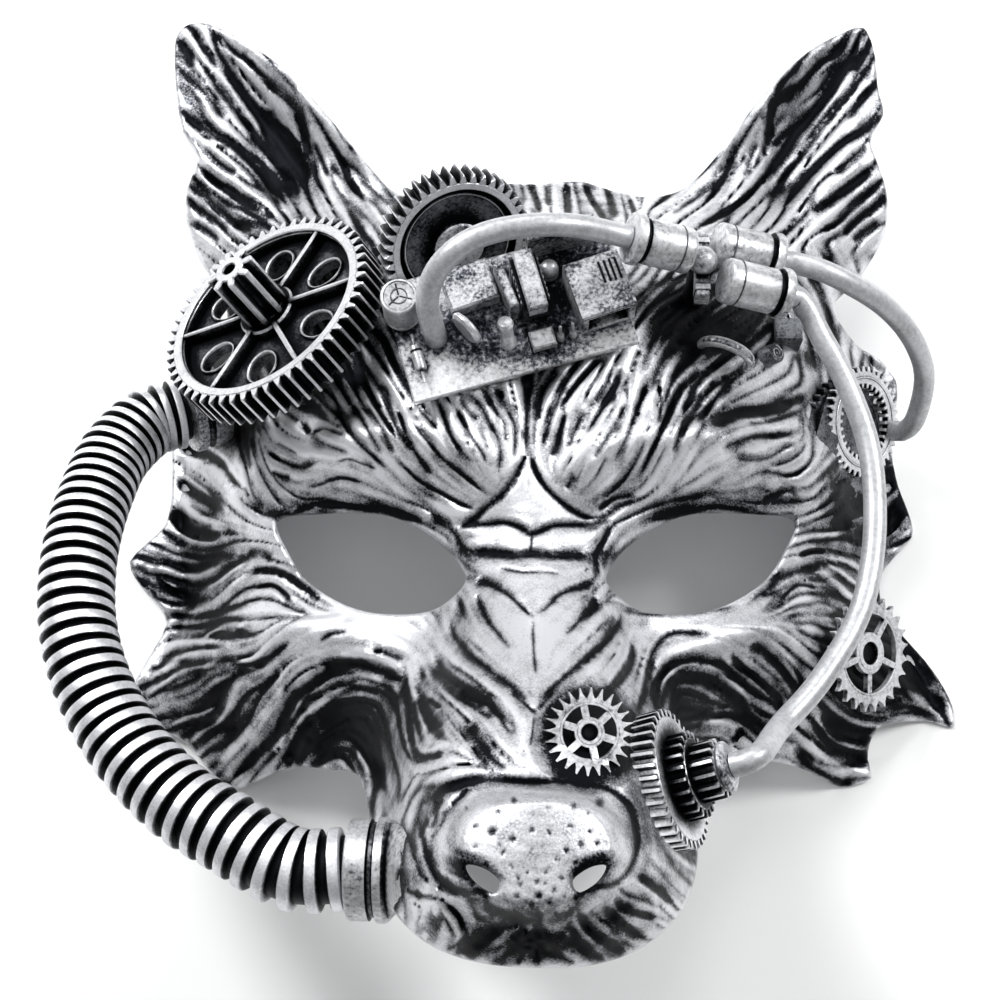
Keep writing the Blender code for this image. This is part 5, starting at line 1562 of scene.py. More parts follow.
    def build(self, workshop: Workshop) -> None:
        """Make the face as one closed wall: the sculpted outside, the plain inside and the edges between.

        Args:
            workshop: what finishes the pieces.
        """
        rings = self.rings()
        plan, outer = self.triangles(rings, self.outer_points(rings))
        top = self.form.height(plan[:, 0], plan[:, 1])
        rise, wash = self.relief(np.column_stack([plan, top]))
        edge = np.min([clearance(ring, plan) for ring in rings], axis=0)
        fade = np.clip((edge - self.plain) / self.fade, 0, 1)
        bend = self.roll - np.sqrt(np.maximum(self.roll**2 - np.clip(self.roll - edge, 0, self.roll) ** 2, 0))
        top_cut = np.maximum(top + rise * fade - bend, np.minimum(top - 0.8 * WALL, top - bend))
        top_cut = np.minimum(top_cut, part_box("mask_shell")[1][2])
        inner_points = self.clear(self.grid(self.inner_step), rings, self.inner_step / 2)
        inner_plan, inner = self.triangles(rings, inner_points)
        x, y = inner_plan.T
        lean = np.hypot(self.form.height(x + MM, y) - self.form.height(x - MM, y),
                        self.form.height(x, y + MM) - self.form.height(x, y - MM)) / (2 * MM)
        under = np.maximum(self.form.height(x, y) - WALL * np.sqrt(1 + np.minimum(lean, 5) ** 2), 0)
        points = np.concatenate([np.column_stack([plan, top_cut]), np.column_stack([inner_plan, under])])
        faces = [tuple(t) for t in outer.tolist()] + [tuple(t) for t in (inner[:, ::-1] + len(plan)).tolist()]
        inner_at = {tuple(point): i + len(plan) for i, point in enumerate(np.round(inner_plan, 7).tolist())}
        edges = {(a, b) for t in faces[: len(outer)] for a, b in ((t[0], t[1]), (t[1], t[2]), (t[2], t[0]))}
        for a, b in sorted(edges):
            if (b, a) not in edges:
                low, high = (inner_at[tuple(np.round(plan[i], 7).tolist())] for i in (b, a))
                faces.append((b, a, high, low))
        # A painted highlight along the rolled edges of the rim and the openings; the inside gets an even
        # wash.
        bright, width = self.rim_highlight
        wash = np.concatenate([wash - bright * np.clip(1 - edge / width, 0, 1),
                               np.full(len(inner_plan), self.inner_wash)])
        workshop.make("mask_shell", [((points, faces), MASK_PAINT)], smooth=65, settle=False,
                      attributes={"wash": wash})


def circle(radius: float, sides: int) -> np.ndarray:
    """A ring of points on a circle."""
    angle = 2 * math.pi * np.arange(sides) / sides
    return radius * np.column_stack([np.cos(angle), np.sin(angle)])


def wound(ring: np.ndarray) -> np.ndarray:
    """The ring, turned round if it runs clockwise.

    Args:
        ring: the ring, in metres.

    Returns:
        The same ring, anticlockwise.
    """
    x, y = ring.T
    area = (x * np.roll(y, -1) - y * np.roll(x, -1)).sum()
    return ring if area > 0 else ring[::-1]


def grown(ring: np.ndarray, distance: float) -> np.ndarray:
    """The anticlockwise ring with its sides moved outwards by a distance.

    Args:
        ring: the ring, in metres.
        distance: the way outwards, less than nought for inwards.

    Returns:
        The new ring.
    """
    before, after = ring - np.roll(ring, 1, axis=0), np.roll(ring, -1, axis=0) - ring
    ways = []
    for along in (before, after):
        ways.append(np.column_stack([along[:, 1], -along[:, 0]]) / np.linalg.norm(along, axis=1)[:, None])
    middle = ways[0] + ways[1]
    middle /= np.maximum(np.linalg.norm(middle, axis=1), 1e-9)[:, None]
    lean = np.clip((middle * ways[0]).sum(axis=1), 0.45, 1)
    return ring + distance * middle / lean[:, None]


def walls(low: int, high: int, count: int) -> list[tuple[int, ...]]:
    """The faces between two rings of count points, of which the first ones are low and high."""
    return [(low + i, low + (i + 1) % count, high + (i + 1) % count, high + i) for i in range(count)]


def skin(rings: Sequence[np.ndarray], loop: bool = False) -> Shell:
    """A shell stretched over rings of equally many points.

    Args:
        rings: (N, 3) rings, which run anticlockwise as seen from the next one.
        loop: whether the last one joins the first, so that there are no ends to close.

    Returns:
        The closed shell.
    """
    count, rows = len(rings[0]), len(rings)
    faces = []
    for row in range(rows if loop else rows - 1):
        faces += walls(row * count, (row + 1) % rows * count, count)
    if not loop:
        faces.append(tuple(reversed(range(count))))
        faces.append(tuple(range((rows - 1) * count, rows * count)))
    return np.concatenate(rings), faces


def prism(rings: Sequence[np.ndarray], low: float, high: float, bevel: float = 0.00018) -> Shell:
    """A plate with its edges bevelled and with holes.

    Args:
        rings: its outline, then its holes, as plan rings.
        low: height of its foot.
        high: height of its top.
        bevel: width of the bevel on every edge.

    Returns:
        The closed shell.
    """
    rings = [wound(ring) for ring in rings]
    levels = ((low, bevel), (low + bevel, 0.0), (high - bevel, 0.0), (high, bevel))
    points, faces, starts = [], [], []
    for number, ring in enumerate(rings):
        starts.append(sum(len(rows) for rows in points))
        inward = -1 if number == 0 else 1
        for level, cut in levels:
            rows = grown(ring, inward * cut) if cut else ring
            points.append(np.column_stack([rows, np.full(len(ring), level)]))
        count = len(ring)
        for row in range(3):
            at = starts[-1] + row * count
            faces += [face if number == 0 else face[::-1] for face in walls(at, at + count, count)]
    corners, edges, index = [], [], []
    for start, ring in zip(starts, rings):
        count, first = len(ring), len(corners)
        top = np.concatenate(points)[start + 3 * count : start + 4 * count, :2]
        corners += [Vector(point) for point in top]
        edges += [(first + i, first + (i + 1) % count) for i in range(count)]
        index += [(start + 3 * count + i, start + i) for i in range(count)]
    flat, _, found, origins, _, _ = delaunay_2d_cdt(corners, edges, [], 0, 1e-9)
    plan, found = np.array(flat), np.array(found)
    a, b, c = (plan[found[:, i]] for i in range(3))
    centres = (a + b + c) / 3
    kept = between([grown(rings[0], -bevel), *(grown(ring, bevel) for ring in rings[1:])], centres)
    tops = np.array([tuple(corner) for corner in corners])
    for triangle, turned in zip(found[kept].tolist(), (np.cross(b - a, c - a) < 0)[kept]):
        ends = [origins[i][0] if origins[i] else int(np.abs(tops - plan[i]).sum(axis=1).argmin())
                for i in (reversed(triangle) if turned else triangle)]
        pairs = [index[end] for end in ends]
        faces.append(tuple(top for top, _ in pairs))
        faces.append(tuple(foot for _, foot in reversed(pairs)))
    return np.concatenate(points), faces


def block(low: Row, high: Row, bevel: float = 0.00018) -> Shell:
    """A bevelled box between two corners."""
    ring = np.array([(low[0], low[1]), (high[0], low[1]), (high[0], high[1]), (low[0], high[1])])
    return prism([ring], low[2], high[2], bevel)


def lathe(profile: Sequence[Row], sides: int, loop: bool = False) -> Shell:
    """A solid of revolution about Z.

    Args:
        profile: (radius, height) rows up its outside, and for a loop down its inside too.
        sides: number of sides.
        loop: whether the profile closes on itself, round an open bore.

    Returns:
        The closed shell.
    """
    rings = [np.column_stack([circle(radius, sides), np.full(sides, height)]) for radius, height in profile]
    return skin(rings, loop)


def turned(paint: Paint, sides: int, rows: Sequence[Row], scale: Row = (MM, MM)) -> Part:
    """A painted solid of revolution, from rows of radius and height in shares of scale, or in millimetres."""
    return lathe([(radius * scale[0], height * scale[1]) for radius, height in rows], sides), paint


def boxed(paint: Paint, low: Row, high: Row, bevel: float = 0.18) -> Part:
    """A painted and bevelled box between two corners, in millimetres."""
    low, high = (tuple(MM * part for part in corner) for corner in (low, high))
    return block(low, high, MM * bevel), paint


def centred(paint: Paint, size: Row, bevel: float = 0.18) -> Part:
    """A painted box that stands on Z = 0 about the Z axis, in millimetres."""
    length, width, tall = size
    return boxed(paint, (-length / 2, -width / 2, 0), (length / 2, width / 2, tall), bevel)


def ring_band(inner: float, outer: float, low: float, high: float, sides: int = 64,
              bevel: float = 0.0002) -> Shell:
    """A round band with a bore, its edges bevelled.

    Args:
        inner: radius of the bore.
        outer: radius of the outside.
        low: height of its foot.
        high: height of its top.
        sides: number of sides.
        bevel: width of the bevels.

    Returns:
        The closed shell.
    """
    return lathe([(outer - bevel, low), (outer, low + bevel), (outer, high - bevel), (outer - bevel, high),
                  (inner + bevel, high), (inner, high - bevel), (inner, low + bevel), (inner + bevel, low)],
                 sides, True)


def bead(radius: float, thick: float, height: float, sides: int = 40, around: int = 8) -> Shell:
    """A round bead, a ring of round section, at a height."""
    angle = 2 * math.pi * np.arange(around) / around
    return lathe([(radius + thick * math.cos(a), height + thick * math.sin(a)) for a in angle], sides, True)


def sweep(route: np.ndarray, radius: float, sides: int) -> Shell:
    """A rod along a route, closed at both ends.

    Args:
        route: (N, 3) places of its middle.
        radius: its radius.
        sides: number of sides.

    Returns:
        The closed shell.
    """
    along = np.gradient(route, axis=0)
    along /= np.linalg.norm(along, axis=1)[:, None]
    side = np.cross(along[0], (0.0, 0.0, 1.0))
    if np.linalg.norm(side) < 0.1:
        side = np.cross(along[0], (0.0, 1.0, 0.0))
    ring = circle(radius, sides)
    rings = []
    for centre, way in zip(route, along):
        side = side - way * side.dot(way)
        side /= np.linalg.norm(side)
        rings.append(centre + ring[:, :1] * side + ring[:, 1:] * np.cross(way, side))
    return skin(rings)


def toothed(teeth: int, tip: float, tooth: float, corners: Sequence[Row]) -> np.ndarray:
    """The outline of a toothed wheel.

    Args:
        teeth: number of teeth.
        tip: radius over the teeth.
        tooth: height of a tooth.
        corners: (share of the pitch, share of the height) rows across one tooth.

    Returns:
        The anticlockwise ring.
    """
    pitch = 2 * math.pi / teeth
    rows = [(tip - tooth * (1 - rise), pitch * (i + share)) for i in range(teeth) for share, rise in corners]
    return np.array([(radius * math.cos(angle), radius * math.sin(angle)) for radius, angle in rows])


POINTED = ((-0.40, 0.0), (-0.16, 0.45), (-0.04, 1.0), (0.04, 1.0), (0.16, 0.45), (0.40, 0.0))
ROUNDED = ((-0.36, 0.0), (-0.24, 0.55), (-0.10, 0.95), (0.10, 0.95), (0.24, 0.55), (0.36, 0.0))


def spun(degrees: float, axis: str = "Z") -> Matrix:
    """A turn about an axis."""
    return Matrix.Rotation(math.radians(degrees), 4, axis)


def towards(place: Vector, axis: Row | Vector, spin: float = 0.0) -> Matrix:
    """A placement at place whose Z axis lies along axis, turned by spin in radians about it."""
    turn = Vector(axis).to_track_quat("Z", "Y").to_matrix().to_4x4()
    return Matrix.Translation(place) @ turn @ Matrix.Rotation(spin, 4, "Z")


class Repeater:
    """Copies a closed shell along a route with a Geometry Nodes tree that is built once."""

    NAME = "copies_along_route"
    INPUTS = (("Curve", "NodeSocketGeometry"), ("Copy", "NodeSocketObject"), ("Length", "NodeSocketFloat"),
              ("Paint", "NodeSocketMaterial"))

    def tree(self) -> bpy.types.NodeTree:
        """The node tree: a copy on each point of the curve, then real geometry and its paint.

        Returns:
            The node tree, made once.
        """
        found = bpy.data.node_groups.get(self.NAME)
        if found is not None:
            return found
        group = bpy.data.node_groups.new(self.NAME, "GeometryNodeTree")
        for name, kind in self.INPUTS:
            group.interface.new_socket(name, in_out="INPUT", socket_type=kind)
        group.interface.new_socket("Geometry", in_out="OUTPUT", socket_type="NodeSocketGeometry")
        tree = Tree(group)
        given = tree.add("NodeGroupInput").outputs
        points = tree.add("GeometryNodeCurveToPoints", {"Curve": given["Curve"]}, mode="EVALUATED").outputs
        copy = tree.add("GeometryNodeObjectInfo", {"Object": given["Copy"]}).outputs["Geometry"]
        stretch = tree.math("MULTIPLY", given["Length"], tree.add("GeometryNodeInputRadius").outputs[0])
        scale = tree.add("ShaderNodeCombineXYZ", {0: 1.0, 1: 1.0, 2: stretch})
        copies = tree.add("GeometryNodeInstanceOnPoints", {
            "Points": points["Points"], "Instance": copy, "Rotation": points["Rotation"],
            "Scale": scale.outputs[0]})
        real = tree.add("GeometryNodeRealizeInstances", {"Geometry": copies.outputs["Instances"]})
        dressed = tree.add("GeometryNodeSetMaterial", {
            "Geometry": real.outputs["Geometry"], "Material": given["Paint"]})
        tree.add("NodeGroupOutput", {0: dressed.outputs["Geometry"]})
        return group

    def copies(self, route: np.ndarray, shell: Shell, length: float, paint: Paint, cyclic: bool = False,
               widths: Sequence[float] | None = None) -> Part:
        """Place copies of a shell along a route.

        Args:
            route: (N, 3) places of the copies.
            shell: the shell: its Z lies along the route, and on a level ring its X points outwards.
            length: metres along the route to one unit of the shell's Z.
            paint: the copies' paint.
            cyclic: whether the route closes on itself.
            widths: each copy's size along the route, as a share.

        Returns:
            All copies as one shell, with their paint.
        """
        mesh = bpy.data.meshes.new("copy")
        mesh.from_pydata(shell[0].tolist(), [], shell[1])
        copy = bpy.data.objects.new("copy", mesh)
        curve = bpy.data.curves.new("route", "CURVE")
        curve.dimensions = "3D"
        spline = curve.splines.new("POLY")
        spline.points.add(len(route) - 1)
        spline.use_cyclic_u = cyclic
        for point, place, width in zip(spline.points, route, widths or [1.0] * len(route)):
            point.co = (*place, 1)
            point.radius = width
        holder = bpy.data.objects.new("route", curve)
        for made in (copy, holder):
            bpy.context.scene.collection.objects.link(made)
        modifier = holder.modifiers.new("copies", "NODES")
        modifier.node_group = self.tree()
        values = {"Copy": copy, "Length": length, "Paint": paint.material()}
        for item in modifier.node_group.interface.items_tree:
            if item.name in values:
                modifier[item.identifier] = values[item.name]
        bpy.context.view_layer.update()
        graph = bpy.context.evaluated_depsgraph_get()
        made_mesh = bpy.data.meshes.new_from_object(holder.evaluated_get(graph))
        places = np.empty(3 * len(made_mesh.vertices))
        made_mesh.vertices.foreach_get("co", places)
        faces = [tuple(polygon.vertices) for polygon in made_mesh.polygons]
        for made in (copy, holder):
            bpy.data.objects.remove(made)
        bpy.data.meshes.remove(made_mesh)
        return (places.reshape(-1, 3), faces), paint

    def teeth(self, count: int, radius: float, height: float, low: float, high: float, paint: Paint,
              point: float = 0.22, bottom: float = 0.72) -> Part:
        """Long teeth round a wheel, as copies of one bar.

        Args:
            count: number of teeth.
            radius: radius that they stand on.
            height: height of a tooth.
            low: level of their lower ends.
            high: level of their upper ends.
            paint: their paint.
            point: width of a tooth's top, as a share of the pitch.
            bottom: width of its foot, as a share of the pitch.

        Returns:
            All teeth as one shell, with their paint.
        """
        rows = ((-0.0004, bottom), (0.0, bottom), (0.6 * height, 0.6 * bottom), (height, point))
        outline = [(x, -z) for x, z in rows] + [(x, z) for x, z in reversed(rows)]
        deep, trim, drawn_in = (high - low) / 2, 0.00025, 0.86
        ends = ((-deep, drawn_in), (trim - deep, 1.0), (deep - trim, 1.0), (deep, drawn_in))
        rings = [np.array([(x * share if x > 0 else x, y, z * share) for x, z in outline])
                 for y, share in ends]
        ring = circle(radius, count)
        route = np.column_stack([ring, np.full(len(ring), (low + high) / 2)])
        return self.copies(route, skin(rings), math.pi * radius / count, paint, cyclic=True)


@dataclass
class Wheel:
    """What every wheel has: a place on the face, a hidden post, and paint.

    Attributes:
        form: the face that it stands on.
        repeater: what copies its teeth.
        post_radius: radius of the hidden post.
    """

    form: FaceForm
    repeater: Repeater
    post_radius: float = 0.0030

    def post(self, place: Vector, axis: Vector, top: float, radius: float | None = None) -> Shell:
        """The hidden post from the wheel's level top down to the face.

        Args:
            place: where the piece stands.
            axis: its axis.
            top: height of its top along the axis.
            radius: its radius, where it is not the usual one.

        Returns:
            The closed shell.
        """
        foot = -self.form.reach(place, axis) - 0.0006
        radius = radius or self.post_radius
        return placed(lathe([(radius, min(foot, top - 0.0005)), (radius, top)], 20), towards(place, axis))


@dataclass
class LargeWheel(Wheel):
    """The large wheel on the left of the forehead: ribs, a web with six holes and a long pinion.

    Attributes:
        radius: radius over the teeth.
        width: width of the toothed band.
        tooth: height of a tooth.
        teeth: number of teeth.
        rim: thickness of the band under the teeth.
        hub: radius of the hub.
        hole: middling radius of the web's oval holes.
        holes: number of holes, and of ribs between them.
        pinion: radius over the pinion's leaves.
        pinion_length: its length over the wheel's face.
        spin: turn of the wheel in radians.
    """

    radius: float = 0.0298
    width: float = 0.0095
    tooth: float = 0.0023
    teeth: int = 54
    rim: float = 0.0024
    hub: float = 0.0078
    hole: float = 0.0042
    holes: int = 6
    pinion: float = 0.0066
    pinion_length: float = 0.0150
    spin: float = math.radians(10)

    def place(self) -> tuple[Vector, Vector]:
        """Its middle and its axis."""
        return self.form.on_face(-0.684, 0.378, 0.0235), Vector((-0.458, 0.345, 0.813)).normalized()

    def build(self, workshop: Workshop) -> None:
        """Make the wheel.

        Args:
            workshop: what finishes the pieces.
        """
        middle, axis = self.place()
        at = towards(middle, axis, self.spin)
        foot = self.radius - self.tooth
        bore = foot - self.rim
        low, high = -0.72 * self.width, -0.42 * self.width
        parts = [(ring_band(bore, foot, -self.width, 0, 108, 0.0003), WHEEL_PAINT),
                 self.repeater.teeth(self.teeth, foot, self.tooth, -self.width, -0.0001, WHEEL_PAINT),
                 (bead(bore + 0.0001, 0.00035, -0.0012, 96), WHEEL_PAINT)]
        rib = block((self.hub - 0.0008, -0.0006, low), (bore + 0.0005, 0.0006, -0.0004), 0.00028)
        holes, ribs = [], []
        for i in range(self.holes):
            pitch = 2 * math.pi / self.holes
            turn = np.array(Matrix.Rotation(pitch * (i + 0.5), 2))
            centre = turn @ (0.58 * self.radius, 0)
            holes.append(circle(1, 28) * (1.12 * self.hole, 0.92 * self.hole) @ turn.T + centre)
            lip = prism([grown(holes[-1], 0.0007), holes[-1]], high - 0.0003, high + 0.0008, 0.00025)
            parts.append((lip, WHEEL_PAINT))
            ribs.append((placed(rib, Matrix.Rotation(pitch * i, 4, "Z")), WHEEL_PAINT))
        hub, pinion = self.hub, self.pinion_length
        leaf = toothed(8, self.pinion, 0.0025, ((-0.30, 0), (-0.24, 0.5), (-0.15, 0.9), (0, 1), (0.15, 0.9),
                                                (0.24, 0.5), (0.30, 0)))
        parts += [(prism([circle(bore + 0.0006, 72), *holes], low, high), DARK_PAINT), *ribs,
                  (lathe([(hub, low - 0.0005), (hub, -0.0014), (hub - 0.0005, -0.0009),
                          (hub - 0.0014, -0.0011), (hub - 0.0018, -0.0018), (0.0030, -0.0018)], 48),
                   WHEEL_PAINT),
                  (prism([leaf, circle(0.0017, 24)], -0.002, pinion, 0.0003), WHEEL_PAINT),
                  (ring_band(0.0030, 0.0052, -0.0018, -0.0004, 40), WHEEL_PAINT),
                  # A black rod inside the pinion's bore: painted shade of the deep bore.
                  (lathe([(0.0016, 0.002), (0.0016, pinion - 0.0030)], 20), BLACK_PAINT)]
        post = self.post(middle, axis, high - 0.001)
        workshop.make("large_wheel", [*stood(parts, at), (post, BLACK_PAINT)])


@dataclass
class CrownWheel(Wheel):
    """The wheel that stands on the crown behind the board, with a dished web and a flat boss.

    Attributes:
        radius: radius over the teeth.
        width: width of the toothed band, and measure of the heights inside it.
        tooth: height of a tooth.
        teeth: number of teeth.
    """

    radius: float = 0.0190
    width: float = 0.0070
    tooth: float = 0.0021
    teeth: int = 42

    def build(self, workshop: Workshop) -> None:
        """Make the wheel.

        Args:
            workshop: what finishes the pieces.
        """
        place = self.form.on_face(-0.188, 0.458, 0.0145)
        at = towards(place, Vector((0.368, -0.73, 0.575)).normalized())
        foot = self.radius - self.tooth
        bore = foot - 0.0018
        tall = (1, self.width)
        parts = [
            (ring_band(bore, foot, -self.width, 0, 90), WHEEL_PAINT),
            self.repeater.teeth(self.teeth, foot, self.tooth, -self.width, -0.0001, WHEEL_PAINT, 0.08, 0.85),
            turned(BLACK_PAINT, 72, [(bore + 0.0004, -0.74), (bore + 0.0004, -0.50), (bore - 0.0004, -0.48),
                                     (bore - 0.0010, -0.50)], tall),
            turned(DARK_PAINT, 72, [(bore - 0.0011, -0.6), (bore - 0.0011, -0.26), (bore - 0.0015, -0.21),
                                    (bore - 0.0021, -0.22), (0.0094, -0.34), (0.0072, -0.38)], tall),
            (bead(bore - 0.0016, 0.0003, -0.21 * self.width, 72), WHEEL_PAINT),
            turned(CAST_PAINT, 48, [(0.0064, -0.45), (0.0064, 0.06), (0.0060, 0.11), (0.0020, 0.12)], tall),
            turned(WHEEL_PAINT, 20, [(0.0016, 0.0), (0.0016, 0.12), (0.0012, 0.17)], tall),
        ]
        workshop.make("crown_wheel", stood(parts, at))


@dataclass
class FlatWheel(Wheel):
    """A thin watch wheel with pointed teeth and straight spokes, over a black backing.

    Attributes:
        node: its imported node.
        middle: its place in shares, and its rise above the face in metres.
        axis: its axis.
        spin: its turn in degrees.
        sizes: radius over the teeth, hub radius and width of the rim, in metres.
        spokes: number of spokes.
        post_share: radius of its post, as a share of the usual one.
        teeth: number of teeth.
        tooth: height of a tooth.
        thick: thickness of the wheel.
        bar: half the width of a spoke.
    """

    node: str = "cheek_wheel"
    middle: Row = (0.866, -0.274, 0.0075)
    axis: Row = (0.635, -0.173, 0.752)
    spin: float = -18.0
    sizes: Row = (0.0152, 0.0054, 0.0026)
    spokes: int = 5
    post_share: float = 1.0
    teeth: int = 24
    tooth: float = 0.0022
    thick: float = 0.0016
    bar: float = 0.0008

    def window(self, start: float, end: float, inner: float, outer: float) -> np.ndarray:
        """The opening between two spokes, whose middles lie at the angles start and end.

        Args:
            start: angle of the first spoke, in radians.
            end: angle of the second.
            inner: radius at its foot.
            outer: radius at its top.

        Returns:
            The anticlockwise ring.
        """
        rows = []
        for radius, count, sign in ((inner, 7, -1), (outer, 11, 1)):
            trim = math.asin(self.bar / radius)
            angles = np.linspace(start + trim, end - trim, count)[::sign]
            rows.append(radius * np.column_stack([np.cos(angles), np.sin(angles)]))
        return np.concatenate(rows)

    def build(self, workshop: Workshop) -> None:
        """Make the wheel.

        Args:
            workshop: what finishes the pieces.
        """
        radius, hub, rim = self.sizes
        place = self.form.on_face(*self.middle)
        axis = Vector(self.axis).normalized()
        at = towards(place, axis, math.radians(self.spin))
        pitch = 2 * math.pi / self.spokes
        inner = radius - self.tooth - rim
        windows = [self.window(pitch * i, pitch * (i + 1), hub, inner) for i in range(self.spokes)]
        plate = prism([toothed(self.teeth, radius, self.tooth, POINTED), *windows, circle(0.58 * hub, 32)],
                      -self.thick, 0, 0.006 * radius)
        parts = [
            (plate, WORN_PAINT),
            (ring_band(0.56 * hub, 0.82 * hub, -self.thick, 0.00012, 40, 0.00015), WORN_PAINT),
            (ring_band(inner - 0.0001, inner + 0.0005, -self.thick, 0.00010, 64, 0.0001), WORN_PAINT),
            (lathe([(0.88 * hub, -2 * self.thick), (0.88 * hub, -0.75 * self.thick)], 32), BLACK_PAINT),
        ]
        post = self.post(place, axis, -1.5 * self.thick, self.post_share * self.post_radius)
        workshop.make(self.node, [*stood(parts, at), (post, BLACK_PAINT)])


@dataclass
class TempleWheels(Wheel):
    """The two wheels at the right temple: an open ring with teeth inside and out, and one behind it.

    Attributes:
        radius: radius over the ring's outer teeth.
        width: width of the ring.
        tooth: height of an outer tooth of both.
        back_radius: radius over the teeth of the wheel behind.
        back_width: its width.
        back_shift: how far its middle lies off the ring's.
    """

    radius: float = 0.0150
    width: float = 0.0022
    tooth: float = 0.0014
    back_radius: float = 0.0165
    back_width: float = 0.0030
    back_shift: Row = (-0.006, 0.002)

    def place(self) -> tuple[Vector, Vector]:
        """Middle and axis of the ring."""
        return self.form.on_face(0.881, 0.228, 0.0095), Vector((0.666, -0.222, 0.712)).normalized()

    def build(self, workshop: Workshop) -> None:
        """Make both wheels.

        Args:
            workshop: what finishes the pieces.
        """
        middle, axis = self.place()
        at = towards(middle, axis)
        inner = 0.62 * self.radius
        teeth_inside = toothed(30, inner + 0.0009, 0.0011, ((-0.3, 0), (-0.2, 1), (0.2, 1), (0.3, 0)))
        outline = toothed(40, self.radius, self.tooth, ROUNDED)
        parts = [(prism([outline, teeth_inside], -self.width, 0, 0.0002), WHEEL_PAINT),
                 (bead(0.80 * self.radius, 0.00025, -0.00005, 64), WHEEL_PAINT)]
        workshop.make("temple_ring", stood(parts, at))
        behind = at @ Matrix.Translation((*self.back_shift, -self.width - GAP))
        back = toothed(36, self.back_radius, self.tooth, ROUNDED)
        parts = [(prism([back], -self.back_width, 0, 0.0002), DARK_PAINT),
                 (bead(0.84 * self.back_radius, 0.0003, -0.0001, 64), DARK_PAINT),
                 (bead(0.46 * self.back_radius, 0.0003, -0.0001, 48), DARK_PAINT)]
        post = self.post(behind.translation, axis, -0.5 * self.back_width, 1.6 * self.post_radius)
        workshop.make("temple_back_wheel", [*stood(parts, behind), (post, BLACK_PAINT)])


@dataclass
class WheelStack(Wheel):
    """Three wheels in one on the side of the muzzle, and the washer where the inner tube ends.

    Attributes:
        radius: radius over the teeth of the largest wheel.
        width: its width.
        middle_top: height of the middle wheel over it.
        small_top: height of the smallest one.
        washer_height: height of the washer.
        tube_radius: radius of the tube that ends there.
    """

    radius: float = 0.0157
    width: float = 0.0056
    middle_top: float = 0.0042
    small_top: float = 0.0098
    washer_height: float = 0.0018
    tube_radius: float = 0.00275

    def place(self) -> tuple[Vector, Vector]:
        """Middle of the largest wheel's face, and the axis."""
        return spot(0.32, -0.584, 0.688), Vector((0.892, 0.183, 0.42)).normalized()

    def end(self) -> Vector:
        """Where the inner tube ends."""
        middle, axis = self.place()
        return middle + (self.small_top + self.washer_height + 2 * GAP) * axis

    def build(self, workshop: Workshop) -> None:
        """Make the stack and its washer.

        Args:
            workshop: what finishes the pieces.
        """
        middle, axis = self.place()
        at = towards(middle, axis)
        parts = []
        for radius, teeth, low, high in ((self.radius, 36, -self.width, 0.0),
                                         (0.62 * self.radius, 22, -0.0008, self.middle_top),
                                         (0.42 * self.radius, 14, self.middle_top - 0.0004, self.small_top)):
            tooth = min(0.0017, 0.16 * radius + 0.0003)
            foot = radius - tooth
            parts.append((lathe([(foot - 0.0002, low), (foot, low + 0.0002), (foot, high - 0.0002),
                                 (foot - 0.0002, high)], 72), WHEEL_PAINT))
            parts.append(self.repeater.teeth(teeth, foot, tooth, low, high - 0.0001, WHEEL_PAINT, 0.30, 0.62))
        post = self.post(middle, axis, -0.002, 2 * self.post_radius)
        workshop.make("wheel_stack", [*stood(parts, at), (post, BLACK_PAINT)])
        on_top = at @ Matrix.Translation((0, 0, self.small_top + GAP))
        washer = turned(CAST_PAINT, 40, [(1.8, 0), (2.05, 0.25), (2.05, 0.6), (1.8, 0.85), (1.55, 0.95),
                                         (1.2, 1)], (self.tube_radius, self.washer_height))
        workshop.make("stack_washer", stood([washer], on_top), settle=False)


